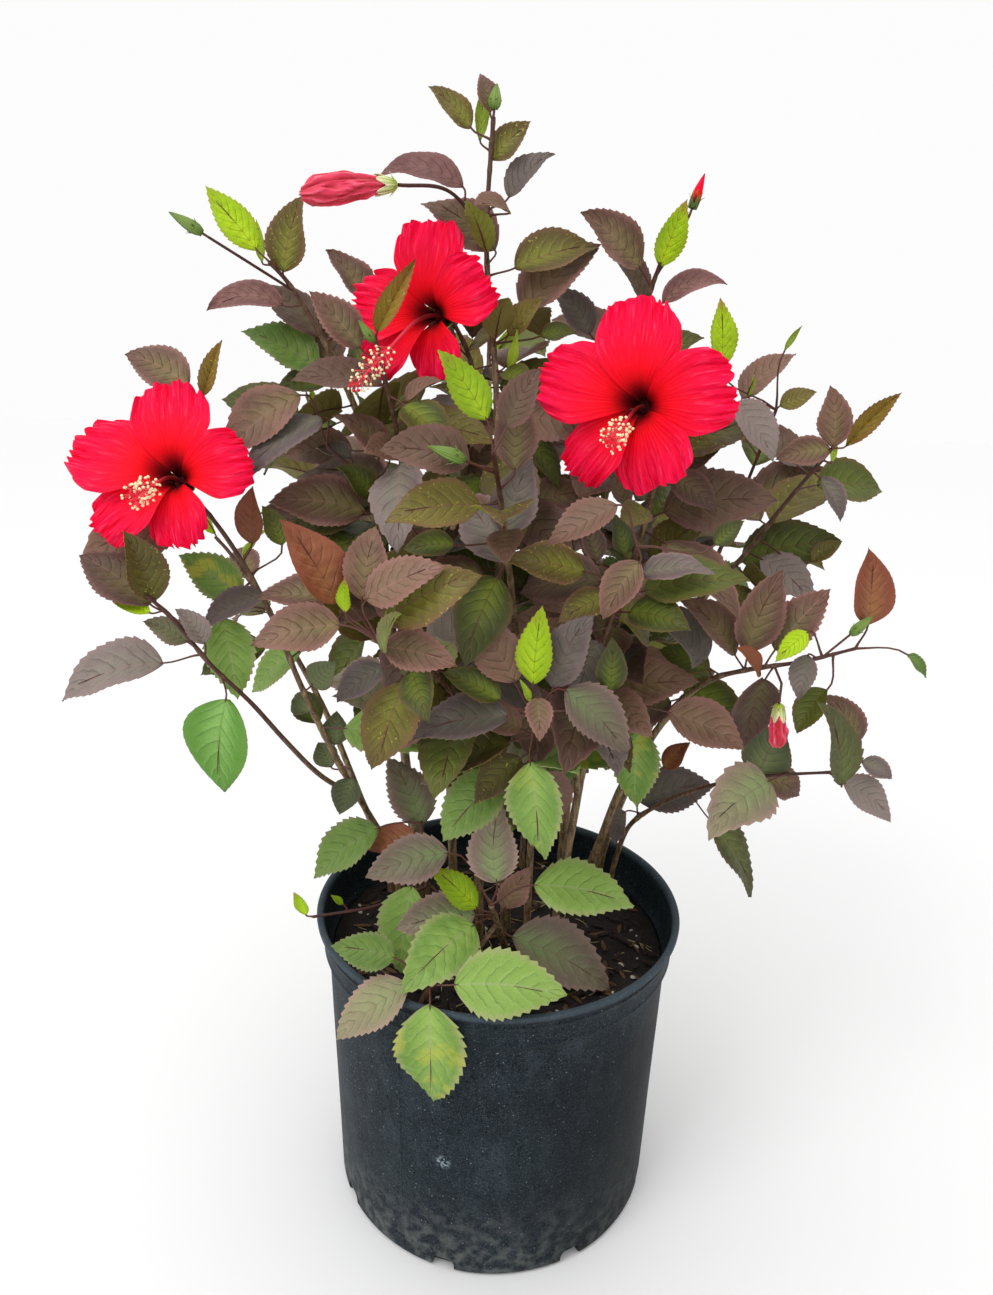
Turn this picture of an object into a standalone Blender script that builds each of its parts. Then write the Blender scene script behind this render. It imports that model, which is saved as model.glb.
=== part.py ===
"""Red hot hibiscus in a nursery pot.

Metres, +Z up. The origin is the centre of the pot's flat underside, and -Y is the front.
A moulded pot holds a plug of potting mix. Woody canes stand in plain holes in the mix and
carry the leaves; each cane with its leaves is one body. Three open blooms, two spent ones
and a few buds sit on the canes.
"""
import math
import random

import bpy
from mathutils import Matrix, Vector
from mathutils.bvhtree import BVHTree

# Pot
POT_HEIGHT = 0.241
RIM_RADIUS = 0.140
RIM_LIP = 0.0045
BAND_HEIGHT = 0.029
BAND_FOOT_RADIUS = 0.1345
BODY_TOP_RADIUS = 0.1312
BASE_RADIUS = 0.1256
BASE_CHAMFER = 0.005
WALL = 0.0024
POT_SIDES = 30
SOIL_SIDES = 15
DRAIN_HOLES = 8
DRAIN_SIZE = (0.016, 0.018, 0.012)
DRAIN_FIRST_ANGLE = 29.5
GAP = 0.0003

# Potting mix
SOIL_TOP = 0.209
SOIL_MOUND = 0.004
SOIL_RINGS = (0.118, 0.085, 0.045)
STEM_DEPTH = 0.026
HOLE_SIDES = 6

# Canes and leaves
STEM_SIDES = 5
CURVE_STEP = 0.0022
PETIOLE_WIDTH = 0.0015
PETIOLE_LEAST = 0.006
ROOT_SHARE = 0.5
BLADE = 0.0007
TEST_BLADE = 0.0030
TEST_GROWTH = 1.05
FOLD = math.radians(9)
SPEAR_RIM = ((0.24, 1.0), (0.62, 1.0))
TINY_RIM = ((0.26, 1.0), (0.62, 1.0))
SMALL_RIM = ((0.18, 1.02), (0.45, 1.06), (0.62, 0.90))
LARGE_RIM = ((0.15, 1.0), (0.42, 1.06), (0.50, 0.86), (0.74, 1.08))
SMALL_FROM = 0.042
LARGE_FROM = 0.078
MIDRIB_POINT = 0.45
LEAF_SEED = 41
SWAY = 0.34
LEAF_BELLY = 0.74
LEAF_POINT = 0.95
TEST_PETIOLE = 0.0016

# Kind of leaf: width over length, droop in degrees, petiole over length
LEAF_KINDS = {
    "dark": (0.59, 28, 0.24),
    "dusk": (0.59, 28, 0.24),
    "grey": (0.59, 34, 0.24),
    "arch": (0.38, 74, 0.14),
    "green": (0.60, 26, 0.26),
    "shade": (0.60, 26, 0.26),
    "slim": (0.45, 24, 0.22),
    "olive": (0.60, 18, 0.22),
    "pink": (0.57, 16, 0.22),
    "red": (0.62, 6, 0.24),
    "bronze": (0.38, 8, 0.16),
    "lime": (0.47, 8, 0.18),
    "heart": (0.82, 20, 0.30),
    "spear": (0.24, 4, 0.22),
    "round": (0.84, 10, 0.12),
}

# Blooms
PETALS = 5
PETAL_WIDTH = 0.88
PETAL_BLADE = 0.0008
PETAL_ROLL = math.radians(9)
PETAL_RIM = ((0.0, 0.045), (0.30, 0.28), (0.55, 0.76), (0.78, 1.0))
PETAL_END = ((0.93, 0.80), (0.99, 0.44), (0.965, 0.22), (1.01, 0.0))
PETAL_MIDDLE = 0.58
PETAL_ARC = 1.12
PETAL_FOOT = (0.0088, 0.0028)
HUB_FROM = 0.0016
HUB_TO = 0.0120
HUB_RADIUS = 0.0046
HUB_SIDES = 8
COLUMN_RADIUS = 0.0013
COLUMN_TAPER = (1.0, 1.0, 0.9, 0.8, 0.6)
COLUMN_SIDES = 6
COLUMN_CROOK = 0.4
COLUMN_ROOM = (0.0035, 0.0035, 0.007, 0.009, 0.006)
STAMENS = 8
STAMENS_FROM = 0.56
STAMENS_SPAN = 0.36
STAMEN_TURN = 2.4
STAMEN_SPREAD = 0.85
STAMEN_REACH = 0.0062
STAMEN_WIDTH = 0.0008
STIGMAS = 5
STIGMA_SPREAD = 0.75
STIGMA_REACH = 0.0055
STIGMA_WIDTH = 0.0011

# Colours, linear
POT_COLOUR = (0.028, 0.036, 0.044)
SOIL_COLOUR = (0.030, 0.022, 0.017)
BARK_COLOUR = (0.20, 0.13, 0.08)
PETAL_COLOUR = (0.85, 0.01, 0.03)
COLUMN_COLOUR = (0.75, 0.06, 0.06)
CALYX_COLOUR = (0.16, 0.25, 0.05)
SPENT_COLOUR = (0.45, 0.03, 0.06)
SPENT_CALYX_COLOUR = (0.22, 0.30, 0.08)

# Way that sighted leaves face
FRONT = Vector((0.0, -0.72, 0.69))


def heading(azimuth, rise):
    """Unit vector; azimuth turns from +X towards +Y, rise is measured up from level."""
    level = math.cos(rise)
    return Vector((level * math.cos(azimuth), level * math.sin(azimuth), math.sin(rise)))


# Where the plant was sighted from: an eye in front of the pot, looking down at it. A sighting
# is a place in its picture, in steps across and down, made real by its depth behind the eye.
EYE = Vector((0.0, -0.663, 0.667))
EYE_PITCH = math.radians(18.3)
EYE_YAW = math.radians(-0.58)
EYE_ROLL = math.radians(1.5)
PICTURE_MIDDLE = (496.5, 647.5)
PICTURE_FOCAL = 975.0

# Canes: name, points, radius at the foot and at the tip in mm, number of seeded leaves. A first
# point that is a name and a distance starts on that cane, so far from its tip in mm.
CANES = (
    ("cane_lead", ((0.006, -0.002), (-0.004, 0.002, 0.400), (-0.007, 0.000, 0.540),
                   (-0.012, 0.008, 0.632), (-0.020, 0.008, 0.719), (-0.017, 0.000, 0.787)), 4.6, 1.3, 3),
    ("cane_lead_spur", (("cane_lead", 64), (-0.044, -0.014, 0.744), (-0.071, -0.036, 0.7435)), 1.2, 1.1, 0),
    ("cane_centre_upper", (("cane_lead", 430), (0.009, -0.050, 0.440), (-0.003, -0.084, 0.550),
                           (-0.010, -0.118, 0.600)), 3.0, 1.2, 0),
    ("cane_left_top", ((-0.066, 0.040), (-0.083, 0.056, 0.381), (-0.097, 0.050, 0.543),
                       (-0.113, 0.040, 0.614), (-0.143, 0.022, 0.679), (-0.160, 0.010, 0.702)), 3.8, 1.2, 4),
    ("cane_left_top_spur", (("cane_left_top", 24), (-0.174, -0.003, 0.703), (-0.191, -0.015, 0.714)),
     1.0, 0.9, 0),
    ("cane_left_middle", ((-0.036, 0.016), (-0.044, 0.008, 0.420), (-0.060, -0.004, 0.510),
                          (-0.096, -0.008, 0.564), (-0.122, -0.012, 0.588)), 4.2, 1.2, 2),
    ("cane_left_back", (("cane_left_middle", 130), (-0.064, 0.020, 0.530), (-0.076, -0.008, 0.598),
                        (-0.0845, -0.032, 0.652)), 2.4, 1.2, 0),
    ("cane_left_bloom", ((-0.080, 0.022), (-0.083, 0.020, 0.262), (-0.098, 0.008, 0.300),
                         (-0.116, -0.020, 0.357), (-0.140, -0.034, 0.425), (-0.160, -0.040, 0.485),
                         (-0.186, -0.042, 0.535), (-0.2050, -0.046, 0.5630)), 3.6, 1.3, 0),
    ("cane_left_low", (("cane_left_bloom", 262), (-0.130, -0.058, 0.376), (-0.163, -0.078, 0.430),
                       (-0.184, -0.090, 0.460), (-0.207, -0.100, 0.498), (-0.216, -0.103, 0.508)),
     2.0, 1.1, 0),
    ("cane_left_rosette", ((-0.014, -0.024), (-0.018, -0.040, 0.378), (-0.035, -0.080, 0.445),
                           (-0.056, -0.124, 0.478), (-0.071, -0.148, 0.498)), 3.6, 1.2, 0),
    ("cane_centre_rosette", ((0.022, -0.026), (0.022, -0.040, 0.308), (0.021, -0.080, 0.390),
                             (0.017, -0.118, 0.444)), 3.8, 1.2, 0),
    ("cane_front_low", ((0.006, -0.036), (0.002, -0.052, 0.245), (-0.005, -0.076, 0.284)), 4.0, 1.8, 0),
    ("cane_front_left", (("cane_front_low", 30), (-0.020, -0.090, 0.248), (-0.0435, -0.122, 0.251)),
     2.0, 1.4, 0),
    ("cane_low_left", ((-0.052, -0.014), (-0.056, -0.024, 0.285), (-0.058, -0.030, 0.322)), 2.8, 1.4, 0),
    ("cane_low_twig", (("cane_low_left", 60), (-0.092, -0.036, 0.254), (-0.136, -0.046, 0.250)),
     1.4, 1.0, 0),
    ("cane_right_top", ((0.052, 0.060), (0.060, 0.058, 0.468), (0.077, 0.046, 0.598),
                        (0.086, 0.036, 0.672), (0.093, 0.020, 0.708)), 4.8, 1.2, 5),
    ("cane_right_top_spur", (("cane_right_top", 10), (0.104, 0.026, 0.722), (0.111, 0.028, 0.738)),
     0.9, 0.9, 0),
    ("cane_right_bloom", ((0.046, 0.004), (0.066, 0.004, 0.400), (0.086, -0.016, 0.520),
                          (0.094, -0.030, 0.585), (0.0855, -0.038, 0.6200)), 4.2, 1.3, 2),
    ("cane_middle_right", (("cane_right_bloom", 300), (0.052, -0.034, 0.400), (0.062, -0.072, 0.480),
                           (0.074, -0.110, 0.548)), 2.6, 1.2, 0),
    ("cane_right_middle", ((0.086, 0.084), (0.112, 0.080, 0.326), (0.141, 0.060, 0.455),
                           (0.167, 0.040, 0.504), (0.190, 0.020, 0.550), (0.214, 0.002, 0.594)),
     5.0, 1.1, 3),
    ("cane_right_upper", (("cane_right_middle", 176), (0.160, 0.096, 0.480), (0.180, 0.098, 0.545),
                          (0.196, 0.086, 0.612)), 2.2, 1.1, 2),
    ("cane_right_low", ((0.072, 0.054), (0.092, 0.010, 0.338), (0.128, -0.022, 0.424),
                        (0.160, -0.046, 0.452), (0.196, -0.058, 0.464), (0.226, -0.060, 0.474)),
     4.2, 1.0, 0),
    ("cane_right_lowest", ((0.094, 0.060), (0.104, 0.036, 0.290), (0.149, 0.006, 0.338),
                           (0.193, -0.026, 0.366), (0.235, -0.038, 0.376)), 2.8, 1.0, 0),
    ("cane_centre_bloom", ((-0.018, 0.064), (-0.026, 0.060, 0.400), (-0.034, 0.046, 0.560),
                           (-0.028, 0.034, 0.634), (-0.0430, 0.012, 0.671)), 3.8, 1.3, 5),
    ("cane_back_left", ((-0.074, 0.078), (-0.100, 0.110, 0.400), (-0.150, 0.140, 0.560),
                        (-0.168, 0.150, 0.610)), 4.0, 1.2, 6),
    ("cane_back_low_left", (("cane_back_left", 380), (-0.094, 0.150, 0.320), (-0.108, 0.206, 0.400),
                            (-0.112, 0.222, 0.420)), 2.2, 1.2, 4),
    ("cane_back_far_left", ((-0.092, 0.060), (-0.150, 0.090, 0.360), (-0.212, 0.100, 0.470),
                            (-0.236, 0.104, 0.500)), 3.6, 1.2, 5),
    ("cane_back_middle", ((-0.006, 0.094), (-0.014, 0.130, 0.420), (-0.020, 0.176, 0.600),
                          (-0.022, 0.190, 0.664)), 4.2, 1.2, 7),
    ("cane_back_low", ((0.020, 0.104), (0.034, 0.160, 0.330), (0.052, 0.226, 0.430),
                       (0.058, 0.244, 0.452)), 3.2, 1.2, 5),
    ("cane_back_right", ((0.060, 0.098), (0.084, 0.130, 0.420), (0.104, 0.160, 0.560),
                         (0.110, 0.172, 0.612)), 4.2, 1.2, 6),
)
SEEDED_FIRST = 0.004
SEEDED_SPACING = 0.024
INNER_FIRST = 0.110
INNER_SPACING = 0.036
INNER_LENGTH = 64
INNER_RISE = (-20, 14)
LENGTH_SPREAD = 5
SEEDED_TURN = math.radians(137.5)
YOUNG_LEAVES = 5
YOUNG_RISE = 66
RISE_STEP = 14
OLD_RISE = (-34, 2)
YOUNG_LENGTH = 30
LENGTH_STEP = 9
SEEDED_SIZES = (1.0, 0.86, 0.72)
SEEDED_TURNS = (7, 13, 20, 28, 37, 48)
SEEDED_KINDS = ("lime", "spear", "dark", "dark", "grey", "dark", "shade", "grey", "shade")

# Leaves as sighted, by cane: across and down of the blade's foot, across and down of its tip,
# how much nearer the eye the tip stands than the foot in mm, kind
SIGHTED = {
    "cane_lead": (
        (471, 128, 430, 84, 6, "olive"), (490, 112, 482, 72, -8, "dark"), (480, 140, 484, 79, 4, "spear"),
        (492, 160, 530, 121, 6, "olive"), (509, 197, 553, 150, 4, "grey"), (509, 211, 475, 203, 10, "dark"),
        (495, 250, 423, 196, -6, "dark"), (487, 252, 465, 196, 10, "slim"),
        (515, 268, 599, 242, -6, "olive"), (524, 312, 600, 241, 10, "dark"),
        (541, 336, 577, 330, 0, "shade"), (508, 335, 543, 300, 5, "olive"),
        (510, 372, 516, 332, 8, "spear"), (500, 330, 462, 352, 0, "olive"),
        (520, 430, 560, 487, 5, "shade"), (545, 440, 566, 411, 0, "slim"),
        (527, 505, 592, 492, 2, "dark")),
    "cane_lead_spur": ((463, 187, 381, 178, 6, "arch"),),
    "cane_centre_upper": (
        (487, 420, 441, 348, 6, "lime"), (506, 428, 540, 366, -4, "pink"),
        (515, 470, 525, 390, 4, "dark"), (470, 463, 378, 447, 8, "dark"),
        (480, 505, 383, 515, 12, "olive"), (455, 545, 403, 550, 4, "shade")),
    "cane_left_top": (
        (257, 250, 203, 187, 4, "lime"), (262, 262, 256, 218, 2, "spear"),
        (283, 272, 300, 195, -4, "olive"), (283, 305, 207, 312, 8, "arch"),
        (318, 368, 241, 329, 4, "green"), (330, 372, 308, 302, -4, "dark"),
        (368, 304, 326, 248, -8, "dark")),
    "cane_left_middle": (
        (322, 418, 240, 476, 12, "grey"), (300, 395, 222, 455, 8, "dark"),
        (388, 455, 335, 410, 0, "dark"),
        (350, 458, 315, 447, 2, "grey"), (365, 512, 268, 500, 10, "dark"),
        (360, 515, 285, 527, 2, "shade"), (374, 497, 338, 466, 0, "shade"),
        (420, 560, 470, 520, 0, "dark")),
    "cane_left_back": (
        (360, 348, 310, 290, 6, "pink"), (377, 332, 417, 259, 8, "bronze"),
        (382, 385, 290, 378, 6, "dark"),
        (405, 400, 440, 378, 0, "dark"), (408, 480, 418, 440, 2, "slim"), (440, 492, 447, 452, 0, "slim")),
    "cane_left_bloom": (
        (188, 385, 124, 353, -4, "dark"), (203, 396, 221, 340, 0, "bronze"),
        (252, 543, 254, 487, 6, "red"), (282, 545, 262, 505, 4, "shade"),
        (240, 600, 180, 552, -4, "green"), (264, 594, 201, 628, 8, "grey"),
        (222, 618, 237, 700, 12, "green"), (300, 650, 250, 692, 6, "green"),
        (312, 685, 336, 662, 4, "round"), (310, 712, 292, 698, 2, "round"),
        (334, 745, 338, 711, 2, "round"), (331, 767, 318, 741, 2, "round"),
        (352, 778, 340, 815, 4, "round")),
    "cane_left_low": (
        (155, 600, 123, 532, 2, "olive"), (150, 604, 76, 556, -2, "dark"),
        (150, 613, 113, 601, 4, "lime"), (188, 642, 143, 620, 6, "dusk"),
        (205, 644, 176, 608, 2, "grey"), (163, 663, 56, 696, 6, "grey"),
        (226, 699, 217, 795, 10, "heart")),
    "cane_left_rosette": (
        (345, 612, 343, 578, 4, "lime"), (338, 603, 285, 517, 4, "red"),
        (340, 625, 251, 648, 10, "dark"), (334, 598, 258, 600, 0, "dark"),
        (362, 600, 377, 524, 0, "dark"), (366, 600, 443, 562, 8, "pink"),
        (384, 620, 479, 570, 6, "olive"), (383, 647, 458, 662, 8, "pink"),
        (382, 652, 397, 610, 2, "slim"), (384, 668, 336, 702, 4, "grey"),
        (405, 683, 377, 773, 10, "olive"), (440, 660, 398, 674, 0, "shade")),
    "cane_centre_rosette": (
        (533, 684, 541, 607, 4, "lime"), (531, 702, 521, 681, 2, "spear"),
        (515, 682, 462, 615, 0, "dark"), (553, 688, 592, 614, 0, "grey"),
        (610, 692, 613, 640, 2, "shade"), (508, 716, 408, 737, 10, "grey"),
        (538, 698, 540, 740, 8, "pink"), (565, 690, 628, 755, 10, "dusk"),
        (500, 700, 442, 674, 0, "shade"), (530, 762, 537, 862, 12, "green"),
        (505, 776, 440, 844, 8, "green")),
    "cane_front_low": (
        (497, 882, 500, 803, 0, "dusk"), (477, 908, 432, 866, 4, "lime"),
        (505, 908, 530, 868, 4, "pink"), (512, 937, 611, 990, 8, "dusk"),
        (534, 885, 637, 906, 6, "green"), (475, 915, 394, 930, 6, "dusk"),
        (474, 925, 402, 992, 36, "green"), (448, 853, 365, 878, 10, "dusk")),
    "cane_front_left": (
        (430, 1006, 430, 1108, 4, "green"), (454, 985, 567, 998, 8, "green"),
        (408, 985, 338, 1043, 8, "dusk"), (395, 958, 330, 947, 4, "green")),
    "cane_low_left": (
        (422, 826, 389, 755, -2, "dusk"), (378, 828, 313, 878, 8, "green"),
        (412, 886, 398, 974, 6, "green"), (415, 835, 363, 848, 0, "red")),
    "cane_low_twig": ((306, 915, 294, 893, 2, "lime"), (343, 904, 331, 896, 2, "lime")),
    "cane_right_top": (
        (660, 266, 688, 200, 2, "lime"), (640, 268, 581, 212, 2, "dark"),
        (644, 300, 599, 236, -4, "dark"), (663, 303, 728, 284, 4, "arch"),
        (590, 334, 553, 288, -6, "grey")),
    "cane_right_bloom": (
        (690, 470, 725, 440, 0, "dark"), (625, 505, 598, 462, 0, "dark"),
        (733, 404, 774, 462, 2, "grey"),
        (664, 512, 780, 500, 6, "dark"), (650, 560, 712, 515, -2, "olive")),
    "cane_middle_right": (
        (617, 505, 549, 548, 8, "pink"), (640, 562, 604, 621, 8, "dark"),
        (585, 572, 502, 560, 6, "olive"), (598, 560, 580, 520, 0, "dark"),
        (625, 555, 612, 515, 0, "shade"), (715, 545, 745, 522, 0, "shade"),
        (605, 694, 700, 682, 4, "dark"), (668, 712, 745, 751, 6, "dark")),
    "cane_right_middle": (
        (832, 447, 832, 385, 0, "dark"), (846, 446, 900, 389, 4, "bronze"),
        (832, 462, 836, 436, 3, "spear"), (820, 478, 843, 521, 4, "grey"),
        (830, 450, 777, 462, 2, "dark"), (742, 562, 841, 543, 8, "shade"),
        (812, 562, 842, 540, -4, "olive")),
    "cane_right_upper": (
        (722, 367, 722, 298, 2, "lime"), (742, 398, 797, 354, 2, "dark"),
        (780, 406, 817, 393, 4, "olive"), (785, 350, 801, 325, 0, "spear"),
        (748, 395, 756, 376, 4, "spear")),
    "cane_right_low": (
        (868, 625, 875, 549, 2, "red"), (808, 632, 775, 660, 6, "lime"),
        (760, 674, 738, 645, 4, "red"), (735, 655, 683, 596, 2, "dark"),
        (748, 652, 786, 571, 0, "dark"), (775, 650, 833, 591, 4, "pink"),
        (808, 655, 797, 700, 2, "grey"), (765, 680, 745, 752, 2, "dark"),
        (827, 690, 795, 733, -4, "shade"), (908, 655, 927, 678, 2, "green"),
        (640, 730, 632, 806, 4, "green"), (664, 768, 688, 742, 4, "red")),
    "cane_right_lowest": (
        (862, 762, 893, 779, 2, "grey"), (843, 783, 894, 820, 4, "grey"),
        (842, 785, 829, 702, 0, "slim"), (856, 745, 828, 692, 0, "dark"),
        (757, 776, 786, 724, 2, "round"), (762, 776, 803, 797, 2, "dark"),
        (710, 820, 756, 897, 4, "slim"), (640, 802, 716, 785, 2, "grey"),
        (625, 812, 613, 845, 2, "grey")),
    "cane_centre_bloom": (
        (478, 300, 470, 340, -4, "olive"), (470, 400, 430, 385, 0, "olive"),
        (465, 480, 500, 440, 0, "dark"), (478, 560, 540, 590, 0, "shade")),
}
LEAN_STEPS = (0, 8, -8, 16, -16)
DEPTH_STEPS = (0, 4, -4, 8, -8, 13, -13, 19, -19, 26, -26)
SIZE_STEPS = (1.0, 0.9, 0.8)
ROOT_STEP = 0.003
TIP_MARGIN = 0.0015
STRAIGHT = 0.05

# Blooms: cane that carries it, way it faces, petal length and column length in metres, column
# bend in degrees, and each petal's turn in degrees with its shares of the length and the width
BLOOMS = (
    ("bloom_right", "cane_right_bloom", (-0.41, -0.90, 0.14), 0.059, 0.058, 28,
     ((95, 1.04, 1.0), (14, 1.01, 0.96), (293, 0.88, 1.0), (232, 1.00, 0.74), (164, 1.10, 0.98))),
    ("bloom_left", "cane_left_bloom", (-0.07, -0.87, 0.48), 0.055, 0.062, 34,
     ((96, 1.08, 1.0), (15, 0.89, 0.90), (283, 0.84, 0.80), (226, 1.04, 0.84), (167, 1.18, 1.06))),
    ("bloom_centre", "cane_centre_bloom", (-0.47, -0.88, 0.06), 0.053, 0.098, 34,
     ((90, 1.06, 1.0), (29, 0.90, 0.94), (280, 0.74, 0.92), (217, 1.12, 0.80), (172, 1.10, 0.98))),
)
# Spent blooms: cane, way it points, length and radius of the rolled petals in metres
SPENT = (
    ("spent_top", "cane_lead_spur", (-0.955, -0.290, -0.060), 0.055, 0.0090),
    ("spent_right", "cane_right_low", (0.08, 0.02, -0.99), 0.030, 0.0062),
)
SPENT_RIGHT_FROM_TIP = 0.052
SPENT_STALK = Vector((0.002, -0.014, -0.021))
SPENT_ELBOW = 0.35
SPENT_CUP = 67.0
SPENT_CUP_LEAST = 0.1
SPENT_SIDES = 10
SPENT_FURROW = 0.72
SPENT_ROOM = 0.002
# Rolled petals from foot to end: share of their length, share of their radius
SPENT_OUTLINE = ((0.0, 0.14), (0.10, 0.22), (0.32, 0.62), (0.62, 1.0), (0.86, 0.86), (1.0, 0.34))

# Calyx: radius and height of its lobes' points and notches, outside and inside
CALYX_FOOT_RADIUS = 0.0026
CALYX_OUTSIDE = ((0.0104, 0.0126), (0.0084, 0.0070))
CALYX_INSIDE = ((0.0098, 0.0130), (0.0078, 0.0074))
CALYX_FLOOR_RADIUS = 0.0030
CALYX_FLOOR = 0.0012

# Buds: cane, distance from its tip, way it points, length and radius in metres
BUDS = (
    ("cane_left_top_spur", 0, (-0.80, -0.30, 0.50), 0.022, 0.0038),
    ("cane_right_top_spur", 0, (0.30, 0.05, 0.95), 0.022, 0.0032),
    ("cane_lead", 0, (0.10, 0.00, 1.00), 0.014, 0.0040),
    ("cane_right_bloom", 0.022, (0.80, 0.30, 0.50), 0.026, 0.0040),
    ("cane_right_low", 0.020, (0.60, -0.20, 0.75), 0.018, 0.0034),
    ("cane_centre_upper", 0.016, (-0.80, -0.45, 0.35), 0.024, 0.0040),
    ("cane_left_back", 0, (-0.60, -0.10, 0.80), 0.016, 0.0030),
)
BUD_STALK = 0.022
BUD_STALK_SHORT = 0.004
BUD_STALK_RADIUS = 0.0008
BUD_SIDES = 5
# Bud from foot to point: share of its length, share of its radius
BUD_OUTLINE = ((0.0, 0.5), (0.35, 1.0), (0.75, 0.7), (1.0, 0.15))
SPENT_STALK_RADIUS = 0.0009


def catmull(a, b, c, d, t):
    """Point between b and c on the smooth curve through a, b, c and d."""
    return 0.5 * (2 * b + (c - a) * t + (2 * a - 5 * b + 4 * c - d) * t * t
                  + (3 * b - a - 3 * c + d) * t ** 3)


def smooth_path(points):
    """Given points with one more between two wherever the smooth curve leaves their chord."""
    ends = [2 * points[0] - points[1]] + points + [2 * points[-1] - points[-2]]
    path = []
    for i in range(1, len(ends) - 2):
        middle = catmull(*ends[i - 1:i + 3], 0.5)
        path.append(ends[i])
        if (middle - (ends[i] + ends[i + 1]) / 2).length > CURVE_STEP:
            path.append(middle)
    return path + [points[-1]]


def along(path, from_end):
    """Point of a path at a distance from its last point."""
    for b, a in zip(path[::-1], path[-2::-1]):
        step = (b - a).length
        if from_end <= step:
            return b.lerp(a, from_end / step)
        from_end -= step
    return path[0].copy()


def cane_node(name):
    """A spur or a side shoot belongs to the body of the cane it grows from."""
    parents = {cane[0]: cane[1][0][0] for cane in CANES if isinstance(cane[1][0][0], str)}
    while name in parents:
        name = parents[name]
    return name


def cane_paths():
    """Coarse path and radii of every cane, by name; feet start below the soil's top."""
    paths = {}
    for name, points, foot, tip, _ in CANES:
        first = points[0]
        rest = [Vector(p) for p in points[1:]]
        if isinstance(first[0], str):
            path = smooth_path([along(paths[first[0]][0], first[1] / 1000)] + rest)
        else:
            ground = Vector((first[0], first[1], SOIL_TOP + 0.010))
            path = smooth_path([ground] + rest)
            path.insert(0, Vector((first[0], first[1], SOIL_TOP - STEM_DEPTH)))
        steps = len(path) - 1
        radii = [(foot + (tip - foot) * (i / steps) ** 0.8) / 1000 for i in range(steps + 1)]
        paths[name] = (path, radii)
    return paths


class Leaf:
    """One leaf, on a cane, with its petiole; lengths in metres, angles in radians."""

    def __init__(self, root, foot, azimuth, rise, length, kind, face):
        wide, droop, _ = LEAF_KINDS[kind]
        self.root, self.foot, self.azimuth, self.rise = root, foot, azimuth, rise
        self.length, self.kind, self.face = length, kind, face
        self.width = wide * length
        self.droop = math.radians(droop)

    def frame(self, u):
        """Midrib point at u of the blade's length, and directions along, across and out."""
        turned = self.rise - self.droop * u
        level = (math.sin(self.rise) - math.sin(turned)) / self.droop * self.length
        up = (math.cos(turned) - math.cos(self.rise)) / self.droop * self.length
        flat = heading(self.azimuth, 0)
        ahead = heading(self.azimuth, turned)
        out = self.face - ahead * self.face.dot(ahead)
        if out.length < 0.15:
            out = heading(self.azimuth, turned + math.pi / 2)
        out.normalize()
        return self.foot + flat * level + Vector((0, 0, up)), ahead, out.cross(ahead), out

    def at(self, u, v):
        """Point of the blade at u of its length and v metres across, and its outward way."""
        point, _, across, out = self.frame(u)
        point = point + across * v * math.cos(FOLD) + out * abs(v) * math.sin(FOLD)
        lean = -math.sin(FOLD) if v > 0 else math.sin(FOLD) if v < 0 else 0
        return point, out * math.cos(FOLD) + across * lean

    def half_width(self, u):
        """Half the blade's width at u of its length, before teeth."""
        return 0.5 * self.width * math.sin(math.pi * min(max(u, 0), 1) ** LEAF_BELLY) ** LEAF_POINT


def prism(tops, bottoms, centre):
    """Closed blade from a rim on two faces, each a fan round the last point in its list."""
    count = len(tops) - 1
    verts = tops + bottoms
    low = count + 1
    faces = []
    for i in range(count):
        j = (i + 1) % count
        faces.append((centre, j, i))
        faces.append((low + centre, low + i, low + j))
        faces.append((i, low + j, low + i))
        faces.append((i, j, low + j))
    return verts, faces


def rim_of(leaf):
    """Places of a leaf's teeth and notches, fewer on a small leaf."""
    if leaf.kind == "spear":
        return SPEAR_RIM
    if leaf.length < SMALL_FROM:
        return TINY_RIM
    return LARGE_RIM if leaf.length > LARGE_FROM else SMALL_RIM


def leaf_blade(leaf, thick, grow=1.0, start=0.0):
    """Blade of a leaf: rim points from its left foot round the tip to its right foot."""
    rim = [(u, leaf.half_width(u) * out * grow) for u, out in rim_of(leaf)]
    foot = max(PETIOLE_WIDTH * 0.5, leaf.half_width(start) * 0.6)
    left = [(start, foot)] + rim
    places = left + [(1.0 + (grow - 1) * 0.5, 0.0)] + [(u, -v) for u, v in left[::-1]]
    places.append((MIDRIB_POINT, 0.0))
    tops, bottoms = [], []
    for u, v in places:
        point, out = leaf.at(u, v)
        tops.append(point + out * thick / 2)
        bottoms.append(point - out * thick / 2)
    return prism(tops, bottoms, len(places) - 1)


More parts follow.
